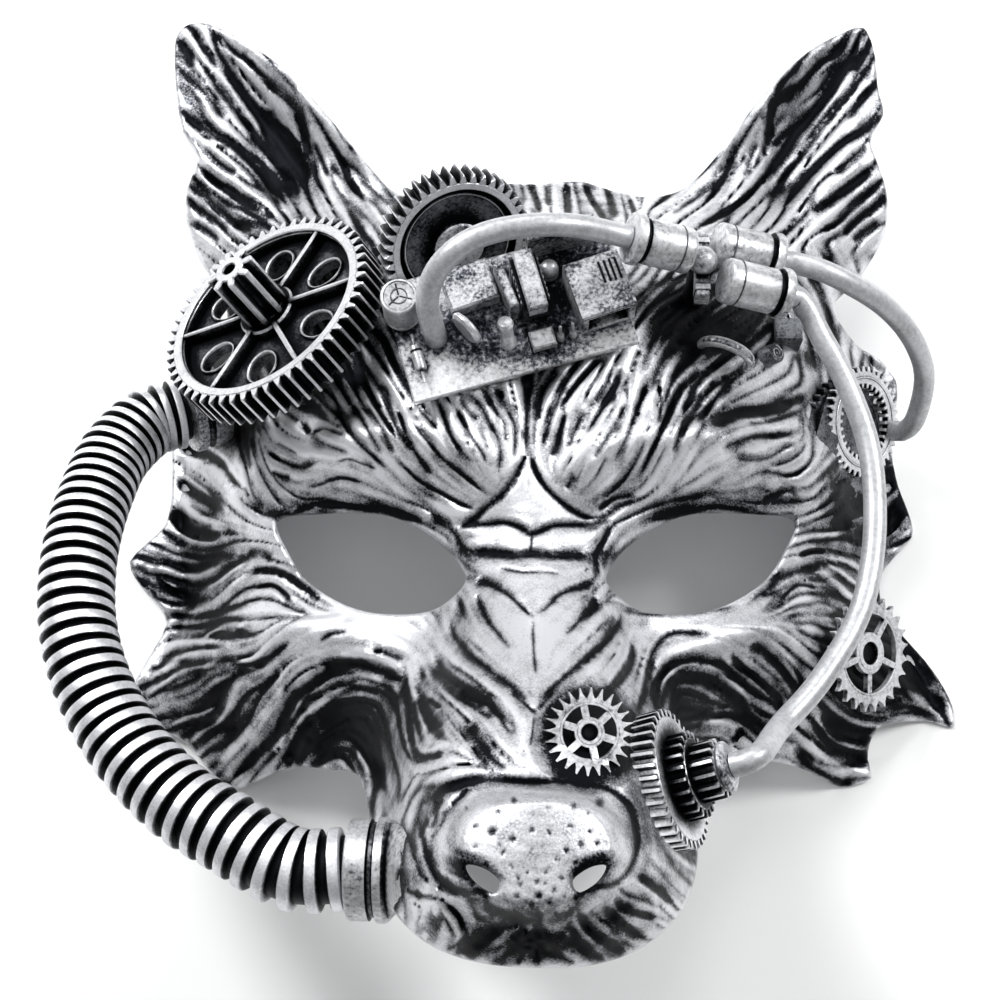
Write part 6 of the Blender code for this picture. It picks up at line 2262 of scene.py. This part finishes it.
@dataclass
class Board:
    """The circuit board and what stands on it. Places on it are shares of its length and width.

    Attributes:
        form: the face under it.
        length: length of the board.
        width: its width.
        thick: its thickness.
        turn: its turn in degrees.
        can_radius: radius of the can.
        can_height: its height.
        diode_radius: radius of the diode.
        disc_radius: radius of the disc.
        stains_and_shade: dark paint stains and painted shade round the pieces on the board: middle and radii
            in shares, and depth.
    """

    form: FaceForm
    length: float = 0.056
    width: float = 0.031
    thick: float = 0.0015
    turn: float = 16.0
    can_radius: float = 0.0045
    can_height: float = 0.0125
    diode_radius: float = 0.0015
    disc_radius: float = 0.0047
    stains_and_shade: tuple[Row, ...] = ((0.40, 0.45, 0.26, 0.34, 0.55), (0.62, 0.42, 0.24, 0.38, 0.60),
                               (0.05, 0.72, 0.16, 0.26, 0.50), (0.88, 0.38, 0.16, 0.28, 0.6),
                               (0.70, 0.80, 0.34, 0.28, 0.5), (0.07, 0.30, 0.05, 0.14, 0.35),
                               (0.36, 0.20, 0.20, 0.10, 0.25), (0.18, 0.46, 0.10, 0.16, 0.45))

    def plate(self) -> Shell:
        """The bare board as one closed box with softened edges and a fine grid on its top.

        Returns:
            The closed shell.
        """
        soft, step = 0.0003, 0.0009
        rows = [np.concatenate([[0], np.linspace(soft, side - soft, int(side / step)), [side]])
                for side in (self.length, self.width)]
        x, y = np.meshgrid(*rows)
        edge = np.minimum(np.minimum(x, self.length - x), np.minimum(y, self.width - y))
        top = np.column_stack([x.ravel(), y.ravel(), np.where(edge < soft / 2, -soft, 0).ravel()])
        high, wide = x.shape
        at = np.arange(high * wide).reshape(high, wide)
        quads = np.stack([at[:-1, :-1], at[:-1, 1:], at[1:, 1:], at[1:, :-1]], axis=-1).reshape(-1, 4)
        ring = np.concatenate([at[0, :-1], at[:-1, -1], at[-1, :0:-1], at[:0:-1, 0]])
        low = top[ring] * (1, 1, 0) - (0, 0, self.thick)
        faces = [tuple(quad) for quad in quads.tolist()]
        first, count = len(top), len(ring)
        for i in range(count):
            after = (i + 1) % count
            faces.append((int(ring[after]), int(ring[i]), first + i, first + after))
        faces.append(tuple(range(first + count - 1, first - 1, -1)))
        return np.concatenate([top, low]), faces

    def frame(self) -> Matrix:
        """The placement of the board's near left corner, on its top face."""
        return Matrix.Translation(spot(-0.29, 0.133, 0.615)) @ spun(self.turn)

    def on(self, x: float, y: float, turn: float = 0.0, lean: float = 0.0) -> Matrix:
        """A placement on the board, turned and leaned in degrees."""
        place = self.frame() @ Matrix.Translation((x * self.length, y * self.width, GAP))
        return place @ spun(turn) @ spun(lean, "X")

    def build(self, workshop: Workshop) -> None:
        """Make the board, then each group of pieces on it.

        Args:
            workshop: what finishes the pieces.
        """
        plate = self.plate()
        x, y = plate[0][:, 0] / self.length, plate[0][:, 1] / self.width
        wash = np.zeros(len(x))
        # Dark stains of the paint, and painted shade round the pieces that stand on the board.
        for *centre, long, wide, shade in self.stains_and_shade:
            wash = np.maximum(wash, shade * np.exp(-(oval(x, y, centre, (long, wide)) ** 2)))
        parts = [(placed(plate, self.frame()), BOARD_PAINT)]
        edge = block((0.0003, 0.0003, -0.85 * self.thick),
                     (self.length - 0.0003, self.width - 0.0003, -0.0004))
        parts.append((placed(edge, self.frame()), BLACK_PAINT))
        for x, y in ((0.12, 0.25), (0.88, 0.25), (0.5, 0.78)):
            at = self.frame() @ Matrix.Translation((x * self.length, y * self.width, 0))
            foot = -self.form.reach(at.translation, Vector((0, 0, 1))) - 0.0006
            parts.append((placed(lathe([(0.003, foot), (0.003, -0.5 * self.thick)], 20), at), BLACK_PAINT))
        wash = np.concatenate([wash, np.zeros(sum(len(shell[0]) for shell, _ in parts[1:]))])
        workshop.make("circuit_board", parts, attributes={"wash": wash})
        self.build_round(workshop)
        self.build_square(workshop)
        self.build_jack(workshop)

    def put(self, workshop: Workshop, node: str, at: Matrix, *parts: Part) -> None:
        """Finish one piece of the board, built about its own foot."""
        workshop.make(node, stood(parts, at), settle=False)

    def build_round(self, workshop: Workshop) -> None:
        """The can, the diode, the disc, the resistor, the pins and the button.

        Args:
            workshop: what finishes the pieces.
        """
        r, h = self.can_radius, self.can_height
        can = turned(PALE_PAINT, 48, [(0.92, 0), (0.92, 0.05), (0.99, 0.08), (0.99, 0.13), (0.93, 0.17),
                                      (0.97, 0.21), (0.97, 0.90), (0.985, 0.96), (0.93, 0.995), (0.84, 1),
                                      (0.80, 0.985)], (r, h))
        vent = block((0.0002, -0.00015, 0.98 * h), (0.72 * r, 0.00015, 0.992 * h), 0.00005)
        vents = [(placed(vent, spun(120 * i + 90)), BLACK_PAINT) for i in range(3)]
        self.put(workshop, "capacitor_can", self.on(0.055, 0.72), can,
                 (bead(0.86 * r, 0.0003, 0.975 * h, 48), PALE_PAINT),
                 (bead(0.42 * r, 0.00012, 0.986 * h, 32), DARK_PAINT), *vents)
        lying = Matrix.Translation((0, 0, self.diode_radius)) @ spun(-90, "X")
        self.put(workshop, "axial_diode", self.on(0.068, 0.12) @ lying,
                 turned(PALE_PAINT, 28, [(1.0, 3.2), (1.3, 3.4), (1.4, 4.0), (1.4, 8.8), (1.3, 9.4),
                                         (0.9, 9.7)]),
                 *(turned(PALE_PAINT, 12, [(0.4, low), (0.4, high)])
                   for low, high in ((0, 3.5), (9.5, 12.5))),
                 (ring_band(0.0012, 0.00145, 0.0078, 0.0084, 28, 0.00005), BLACK_PAINT))
        upright = Matrix.Translation((0, 0, self.disc_radius)) @ spun(90, "Y")
        self.put(workshop, "disc_capacitor", self.on(0.30, 0.42, 28) @ upright,
                 turned(WHEEL_PAINT, 40, [(2.0, -1.1), (3.8, -1.0), (4.5, -0.4), (4.6, 0.1), (4.3, 0.7),
                                          (3.2, 1.1), (1.6, 1.1)]))
        self.put(workshop, "standing_resistor", self.on(0.455, 0.20, 0, -22),
                 turned(PALE_PAINT, 32, [(0.5, 0), (0.5, 1.2), (1.2, 1.8), (1.8, 2.4), (2.0, 3.3), (1.8, 4.3),
                                         (1.6, 5.0), (1.6, 8.2), (1.8, 9.0), (2.0, 9.9), (1.7, 10.7),
                                         (1.0, 11.0)]))
        pin = turned(PALE_PAINT, 20, [(0.9, 0), (0.9, 2.0), (0.7, 2.4), (0.4, 2.7), (0.4, 6.0), (0.2, 6.2)])
        for node, x in (("pin_left", 0.68), ("pin_right", 0.735)):
            self.put(workshop, node, self.on(x, 0.19, 0, -8), pin)
        self.put(workshop, "dome_button", self.on(0.715, 0.74),
                 turned(PALE_PAINT, 32, [(2.3, 0), (2.3, 2.8), (2.2, 3.4), (1.9, 4.2), (1.4, 4.7),
                                         (0.7, 5.0)]),
                 (ring_band(0.0020, 0.00232, 0.0021, 0.0025, 32, 0.00006), BLACK_PAINT))

    def build_square(self, workshop: Workshop) -> None:
        """The coil with its folded plate, the wall, the chip and the two plates.

        Args:
            workshop: what finishes the pieces.
        """
        turns = [boxed(CAST_PAINT, (-3.5, 1.6 * i - 0.5, 0.4), (3.5, 1.6 * i + 0.5, 10.1), 0.2)
                 for i in range(-3, 4)]
        self.put(workshop, "coil_block", self.on(0.605, 0.60), centred(DARK_PAINT, (6.6, 12.1, 10.3)), *turns,
                 boxed(CAST_PAINT, (-2.4, -7.8, 10.1), (2.4, 7.0, 12.2), 0.4),
                 boxed(CAST_PAINT, (-2.2, -7.8, 7.0), (2.2, -6.8, 11.8), 0.3))
        self.put(workshop, "coil_wall", self.on(0.505, 0.62, 6), centred(CAST_PAINT, (2.2, 11.5, 10.0), 0.3),
                 boxed(BLACK_PAINT, (-1.1, -5.0, 8.0), (1.12, 5.0, 8.5), 0.1))
        legs = [boxed(PALE_PAINT, (3.1 * side - 0.3, y - 0.4, 0), (3.2 * side, y + 0.4, 1.6), 0.08)
                for side in (-1, 1) for y in (-1.5, 0.0, 1.5)]
        self.put(workshop, "chip_block", self.on(0.60, 0.20),
                 boxed(PALE_PAINT, (-2.9, -2.3, 0.6), (2.9, 2.3, 3.6), 0.4), *legs)
        self.put(workshop, "back_plate", self.on(0.80, 0.93), centred(CAST_PAINT, (17.5, 2.4, 12.5), 0.4),
                 boxed(BLACK_PAINT, (-8.0, -1.22, 10.0), (8.0, -1.0, 10.6), 0.05))
        self.put(workshop, "low_plate", self.on(0.36, 0.76, 4), centred(CAST_PAINT, (12.0, 10.5, 5.2), 0.5))

    def build_jack(self, workshop: Workshop) -> None:
        """The jack: a shell with a mouth in front, slots on top and a clip in the mouth.

        Args:
            workshop: what finishes the pieces.
        """
        half, front, tall = 6.75, 7.25, 10.5
        outline, mouth = (MM * np.array([(-x, low), (x, low), (x, high), (-x, high)])
                          for x, low, high in ((half, 0, tall), (5.0, 1.4, 8.2)))
        tunnel = placed(prism([outline, mouth], -0.0032, MM * front, 0.0003), spun(90, "X"))
        slots = [boxed(BLACK_PAINT, (x - 0.3, -0.3, tall - 0.4), (x + 0.3, 5.3, tall + 0.04), 0.04)
                 for x in np.linspace(1.4, 5.4, 4)]
        self.put(workshop, "jack_shell", self.on(0.885, 0.42, 3), (tunnel, CAST_PAINT),
                 boxed(CAST_PAINT, (-half, 2.6, 0), (half, front, tall), 0.3),
                 boxed(BLACK_PAINT, (-4.9, 1.8, 1.5), (4.9, 3.0, 8.1), 0.1),
                 boxed(BLACK_PAINT, (-6.2, -front - 0.03, 9.0), (6.2, 0.4 - front, 9.4), 0.05), *slots)


@dataclass
class Joint:
    """The three-way tube joint and the small fittings beside it.

    Attributes:
        form: the face under it.
        radius: radius of a barrel.
        flange: radius of its flange.
        left_length: length of the left barrel.
        right_length: length of the two others.
        ball: radius of the ball in the middle.
    """

    form: FaceForm
    radius: float = 0.0055
    flange: float = 0.0063
    left_length: float = 0.0155
    right_length: float = 0.0165
    ball: float = 0.0035

    def barrels(self) -> list[tuple[str, Vector, Vector, float]]:
        """Node, place, axis and length of each barrel.

        Returns:
            One row for each barrel.
        """
        left = Vector((-0.92, 0.07, 0.38)).normalized()
        right = Vector((0.94, -0.10, -0.33)).normalized()
        return [("left_barrel", spot(0.363, 0.406, 0.704), left, self.left_length),
                ("upper_barrel", spot(0.437, 0.452, 0.632), right, self.right_length),
                ("lower_barrel", spot(0.447, 0.360, 0.676), right, self.right_length)]

    def ends(self) -> list[tuple[Vector, Vector]]:
        """Where the tubes leave the barrels, with their axes."""
        return [(place + (length + GAP) * axis, axis) for _, place, axis, length in self.barrels()]

    def barrel(self, length: float) -> list[Part]:
        """One barrel, from its open end to its flange, with the black groove before the flange.

        Args:
            length: its length.

        Returns:
            Its painted shells, about its own axis.
        """
        r, f = self.radius, self.flange
        groove = length - 0.0030
        body = lathe([(0.88 * r, 0), (0.96 * r, 0.0002), (r, 0.0007), (r, 0.0018), (r, groove - 0.0010),
                      (0.97 * r, groove - 0.0006), (0.90 * r, groove - 0.0004)], 56)
        neck = lathe([(0.89 * r, groove - 0.0008), (0.89 * r, groove + 0.0010)], 48)
        collar = lathe([(0.90 * r, groove + 0.0006), (0.94 * f, groove + 0.0007), (f, groove + 0.0011),
                        (f, length - 0.0006), (0.96 * f, length - 0.0001), (0.80 * f, length)], 56)
        return [(body, PALE_PAINT), (neck, BLACK_PAINT), (collar, PALE_PAINT),
                (bead(0.99 * r, 0.0002, 0.0032, 56, 6), DARK_PAINT)]

    def build(self, workshop: Workshop) -> None:
        """Make the barrels, the yoke with its ball, and the fittings.

        Args:
            workshop: what finishes the pieces.
        """
        for node, place, axis, length in self.barrels():
            workshop.make(node, stood(self.barrel(length), towards(place, axis)), settle=False)
        foot = spot(0.400, 0.405, 0.60)
        long, wide, tall = 3.4, 16.5, 6.2
        middle = foot + Vector((0, 0, MM * tall + 0.45 * self.ball))
        around = np.linspace(0.12, math.pi - 0.12, 14)
        ball = lathe([(self.ball * math.sin(a), -self.ball * math.cos(a)) for a in around], 32)
        stand = -self.form.reach(foot, Vector((0, 0, 1))) - 0.0006
        bands = [boxed(PALE_PAINT, (-0.56 * long, y - 0.8, 0.8), (0.56 * long, y + 0.8, tall + 0.3), 0.2)
                 for y in (-6.0, 6.0)]
        post = (lathe([(0.003, stand), (0.003, 0.001)], 24), BLACK_PAINT)
        yoke = stood([centred(CAST_PAINT, (long, wide, tall), 0.3), post, *bands], Matrix.Translation(foot))
        workshop.make("joint_yoke", [*yoke, (placed(ball, Matrix.Translation(middle)), PALE_PAINT)])
        self.build_fittings(workshop)

    def build_fittings(self, workshop: Workshop) -> None:
        """The half ring, the square plate and the round screw.

        Args:
            workshop: what finishes the pieces.
        """
        middle, radius = self.form.on_face(0.475, 0.285, 0.0015), 0.0072
        arc = np.array([middle + radius * Vector((0.85 * math.cos(a), -0.33 * math.cos(a), math.sin(a)))
                        for a in np.linspace(-0.4, math.pi + 0.4, 40)])
        lean = Vector((0.33, 0.85, 0)).normalized() * 0.0005
        parts = [(sweep(arc, 0.16 * radius, 16), CAST_PAINT)]
        parts += [(sweep(arc + side * np.array(lean), 0.13 * radius, 14), PALE_PAINT) for side in (-1, 1)]
        workshop.make("half_ring", parts)
        place = self.form.on_face(0.655, 0.375, 0.006)
        plate = boxed(DARK_PAINT, (-3.5, -3.0, -10.0), (3.5, 3.0, 0), 0.4)
        workshop.make("square_plate", stood([plate], Matrix.Translation(place)))
        at = towards(self.form.on_face(0.615, 0.315, 0.0035), Vector((0.55, 0.15, 0.8)).normalized())
        turns = np.linspace(0, 4 * math.pi, 60)
        spiral = np.column_stack([0.00016 * turns * np.cos(turns), 0.00016 * turns * np.sin(turns),
                                  np.full(60, 0.0005)])
        screw = turned(DARK_PAINT, 32, [(2.6, -6.0), (2.6, 0.0), (2.4, 0.4), (1.8, 0.6)])
        workshop.make("round_screw", stood([screw, (sweep(spiral, 0.0002, 8), CAST_PAINT)], at))


@dataclass
class Pipes:
    """The three smooth tubes and the ribbed hose with its two ends.

    Attributes:
        repeater: what copies the hose's rings.
        radius: radius of the smooth tubes.
        lead: straight stretch at a tube's end.
        hose: radius over the hose's rings.
        groove: depth of the grooves between them.
        rings: number of rings.
        growth: how much wider the last rings stand than the middle ones, as a share.
        collar: radius of the hose's ends.
        eased: passes that ease a tube's bends.
    """

    repeater: Repeater
    radius: float = 0.00275
    lead: float = 0.0030
    hose: float = 0.0093
    groove: float = 0.0019
    rings: int = 42
    growth: float = 0.15
    collar: float = 0.0112
    eased: int = 14

    def leads(self, end: Vector, axis: Vector) -> list[Vector]:
        """The first points of a tube that leaves its end square, along the axis."""
        return [end + reach * self.lead * axis for reach in (0, 1, 2)]

    def tube(self, workshop: Workshop, node: str, points: Sequence[Vector]) -> None:
        """Make one smooth tube.

        Args:
            workshop: what finishes the pieces.
            node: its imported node.
            points: places that it goes through, its two ends among them.
        """
        route = np.array([tuple(points[0]), *smooth_route(points[1:-1], 0.0016), tuple(points[-1])])
        for _ in range(self.eased):
            route[2:-2] = (route[1:-3] + 2 * route[2:-2] + route[3:-1]) / 4
        workshop.make(node, [(sweep(route, self.radius, 28), TUBE_PAINT)], smooth=50, settle=False)

    def build(self, workshop: Workshop, board: Board, joint: Joint, temple: TempleWheels,
              stack: WheelStack) -> None:
        """Make the tubes between the other pieces, then the hose.

        Args:
            workshop: what finishes the pieces.
            board: where the first tube starts.
            joint: where the tubes meet.
            temple: where the second one ends.
            stack: where the third one ends.
        """
        (left, left_axis), (upper, right_axis), (lower, _) = joint.ends()
        from_board = board.on(0.165, 0.46).translation + Vector((0, 0, GAP))
        link = [*self.leads(from_board, Vector((0, 0, 1))), *(spot(*row) for row in LINK_ROUTE)]
        self.tube(workshop, "link_tube", [*link, *self.leads(left, left_axis)[::-1]])
        middle, axis = temple.place()
        across = axis.cross(Vector((0, 1, 0))).normalized()
        landing = middle - 0.8 * temple.radius * across * math.copysign(1, -across.x) + 2 * GAP * axis
        outer = [*self.leads(upper, right_axis), *(spot(*row) for row in OUTER_ROUTE)]
        self.tube(workshop, "outer_tube", [*outer, *self.leads(landing, axis)[::-1]])
        inner = [*self.leads(lower, right_axis), *(spot(*row) for row in INNER_ROUTE)]
        self.tube(workshop, "inner_tube", [*inner, *self.leads(stack.end(), stack.place()[1])[::-1]])
        self.build_hose(workshop)

    def build_hose(self, workshop: Workshop) -> None:
        """Make the hose: a black core with silver rings, and the socket and collar at its ends.

        Args:
            workshop: what finishes the pieces.
        """
        axis = Vector((0.985, -0.02, 0.05)).normalized()
        start, end = spot(*HOSE_ROUTE[0]), spot(-0.415, -0.738, 0.624)
        away = (spot(*HOSE_ROUTE[1]) - start).normalized()
        route = smooth_route([start, start + 0.004 * away, *(spot(*row) for row in HOSE_ROUTE[1:-1]),
                              end - 0.013 * axis, end - 2 * GAP * axis], 0.0012)
        steps = np.linalg.norm(np.diff(route, axis=0), axis=1)
        lengths = np.concatenate([[0], np.cumsum(steps)])
        share = (np.arange(self.rings) + 0.6) / self.rings
        spread = share - self.growth * share * (1 - share)
        at = np.column_stack([np.interp(spread * lengths[-1], lengths, column) for column in route.T])
        r = self.hose
        rows = [(r - self.groove - 0.0003, -1), (r - 0.0006, -0.98), (r - 0.0001, -0.78), (r, -0.4)]
        ring = lathe([*rows, *((radius, -height) for radius, height in reversed(rows))], 44, True)
        widths = [float(1 + self.growth * (2 * part - 1)) for part in share]
        parts = [(sweep(route, r - self.groove, 32), BLACK_PAINT),
                 self.repeater.copies(at, ring, 0.31 * lengths[-1] / self.rings, HOSE_PAINT, widths=widths)]
        workshop.make("ribbed_hose", parts, settle=False)
        scale = (self.collar, MM)
        shell = turned(CAST_PAINT, 48, [(0.92, -9.5), (0.99, -7.0), (0.99, -4.5), (0.93, -4.0), (0.93, -3.0),
                                        (1, -2.5), (1, -0.6), (0.96, 0)], scale)
        workshop.make("hose_socket", stood([shell], towards(start - 2 * GAP * away, away)))
        shell = turned(PALE_PAINT, 56, [(0.88, 0), (0.97, 0.3), (1, 0.9), (1, 5.0), (0.93, 5.4), (0.93, 6.2),
                                        (1.03, 6.7), (1.04, 8.5), (0.98, 9.5), (0.7, 14.4)], scale)
        workshop.make("hose_collar", stood([shell], towards(end, axis)))


@dataclass(frozen=True)
class Studio:
    """The white floor, the soft lights and the plain sky of the photo.

    Attributes:
        floor: half the side of the floor, in metres.
        sky: strength of the even light from all round.
        aim: height over the floor that every lamp points at.
        lamps: rows of x, y and z, side and power of each soft lamp, in metres and watts.
    """

    floor: float = 3.0
    sky: float = 0.26
    aim: float = 0.05
    lamps: tuple[Row, ...] = ((-0.48, 0.42, 0.62, 0.24, 7.0), (0.55, 0.22, 0.58, 0.24, 3.8),
                              (0.08, 0.66, 0.58, 0.28, 2.0), (0.0, 0.12, 1.1, 1.3, 3.4))

    def build(self, shift: Vector) -> None:
        """Make the floor, the lamps and the sky.

        Args:
            shift: way from the tables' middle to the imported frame's.
        """
        side = self.floor
        mesh = bpy.data.meshes.new("floor")
        mesh.from_pydata([(-side, -side, 0), (side, -side, 0), (side, side, 0), (-side, side, 0)], [],
                         [(0, 1, 2, 3)])
        material = bpy.data.materials.new("white_paper")
        material.use_nodes = True
        tree = Tree(material.node_tree)
        shader = tree.add("ShaderNodeBsdfPrincipled", {
            "Base Color": (0.90, 0.90, 0.90, 1), "Roughness": 0.8})
        tree.add("ShaderNodeOutputMaterial", {"Surface": shader.outputs["BSDF"]})
        mesh.materials.append(material)
        floor = bpy.data.objects.new("floor", mesh)
        floor.location = (0, 0, -0.0002)
        bpy.context.scene.collection.objects.link(floor)
        for number, (x, y, z, size, power) in enumerate(self.lamps):
            light = bpy.data.lights.new(f"lamp_{number}", "AREA")
            light.size = size
            light.energy = power
            lamp = bpy.data.objects.new(light.name, light)
            lamp.location = Vector((x, y, z)) + shift
            lamp.rotation_euler = Vector((x, y, z - self.aim)).to_track_quat("Z", "Y").to_euler()
            bpy.context.scene.collection.objects.link(lamp)
        world = bpy.data.worlds.new("sky")
        world.use_nodes = True
        tree = Tree(world.node_tree)
        sky = tree.add("ShaderNodeBackground", {"Color": (0.98, 0.99, 1.0, 1), "Strength": self.sky})
        tree.add("ShaderNodeOutputWorld", {"Surface": sky.outputs["Background"]})
        bpy.context.scene.world = world
        bpy.context.scene.view_settings.view_transform = "Standard"


def main() -> None:
    """Load the frame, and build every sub-assembly in turn."""
    logging.basicConfig(level=logging.INFO, format="%(name)s %(message)s")
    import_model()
    ring = rounded(RIM, (HALF_WIDTH, HALF_LENGTH)).min(axis=0)
    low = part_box("mask_shell")[0]
    shift = Vector((low[0] - ring[0], low[1] - ring[1], 0))
    form, view = FaceForm(), PhotoView()
    workshop = Workshop(form, shift)
    MaskFace(form, view).build(workshop)
    repeater = Repeater()
    board, joint = Board(form), Joint(form)
    temple, stack = TempleWheels(form, repeater), WheelStack(form, repeater)
    LargeWheel(form, repeater).build(workshop)
    CrownWheel(form, repeater).build(workshop)
    FlatWheel(form, repeater).build(workshop)
    FlatWheel(form, repeater, node="muzzle_wheel", middle=(0.112, -0.529, 0.0030), axis=(0.11, -0.132, 0.985),
              spin=3.0, sizes=(0.0094, 0.0032, 0.0014), spokes=6, post_share=0.6).build(workshop)
    for assembly in (temple, stack, board, joint):
        assembly.build(workshop)
    Pipes(repeater).build(workshop, board, joint, temple, stack)
    Studio().build(shift)
    view.add_camera(shift)


if __name__ == "__main__":
    main()
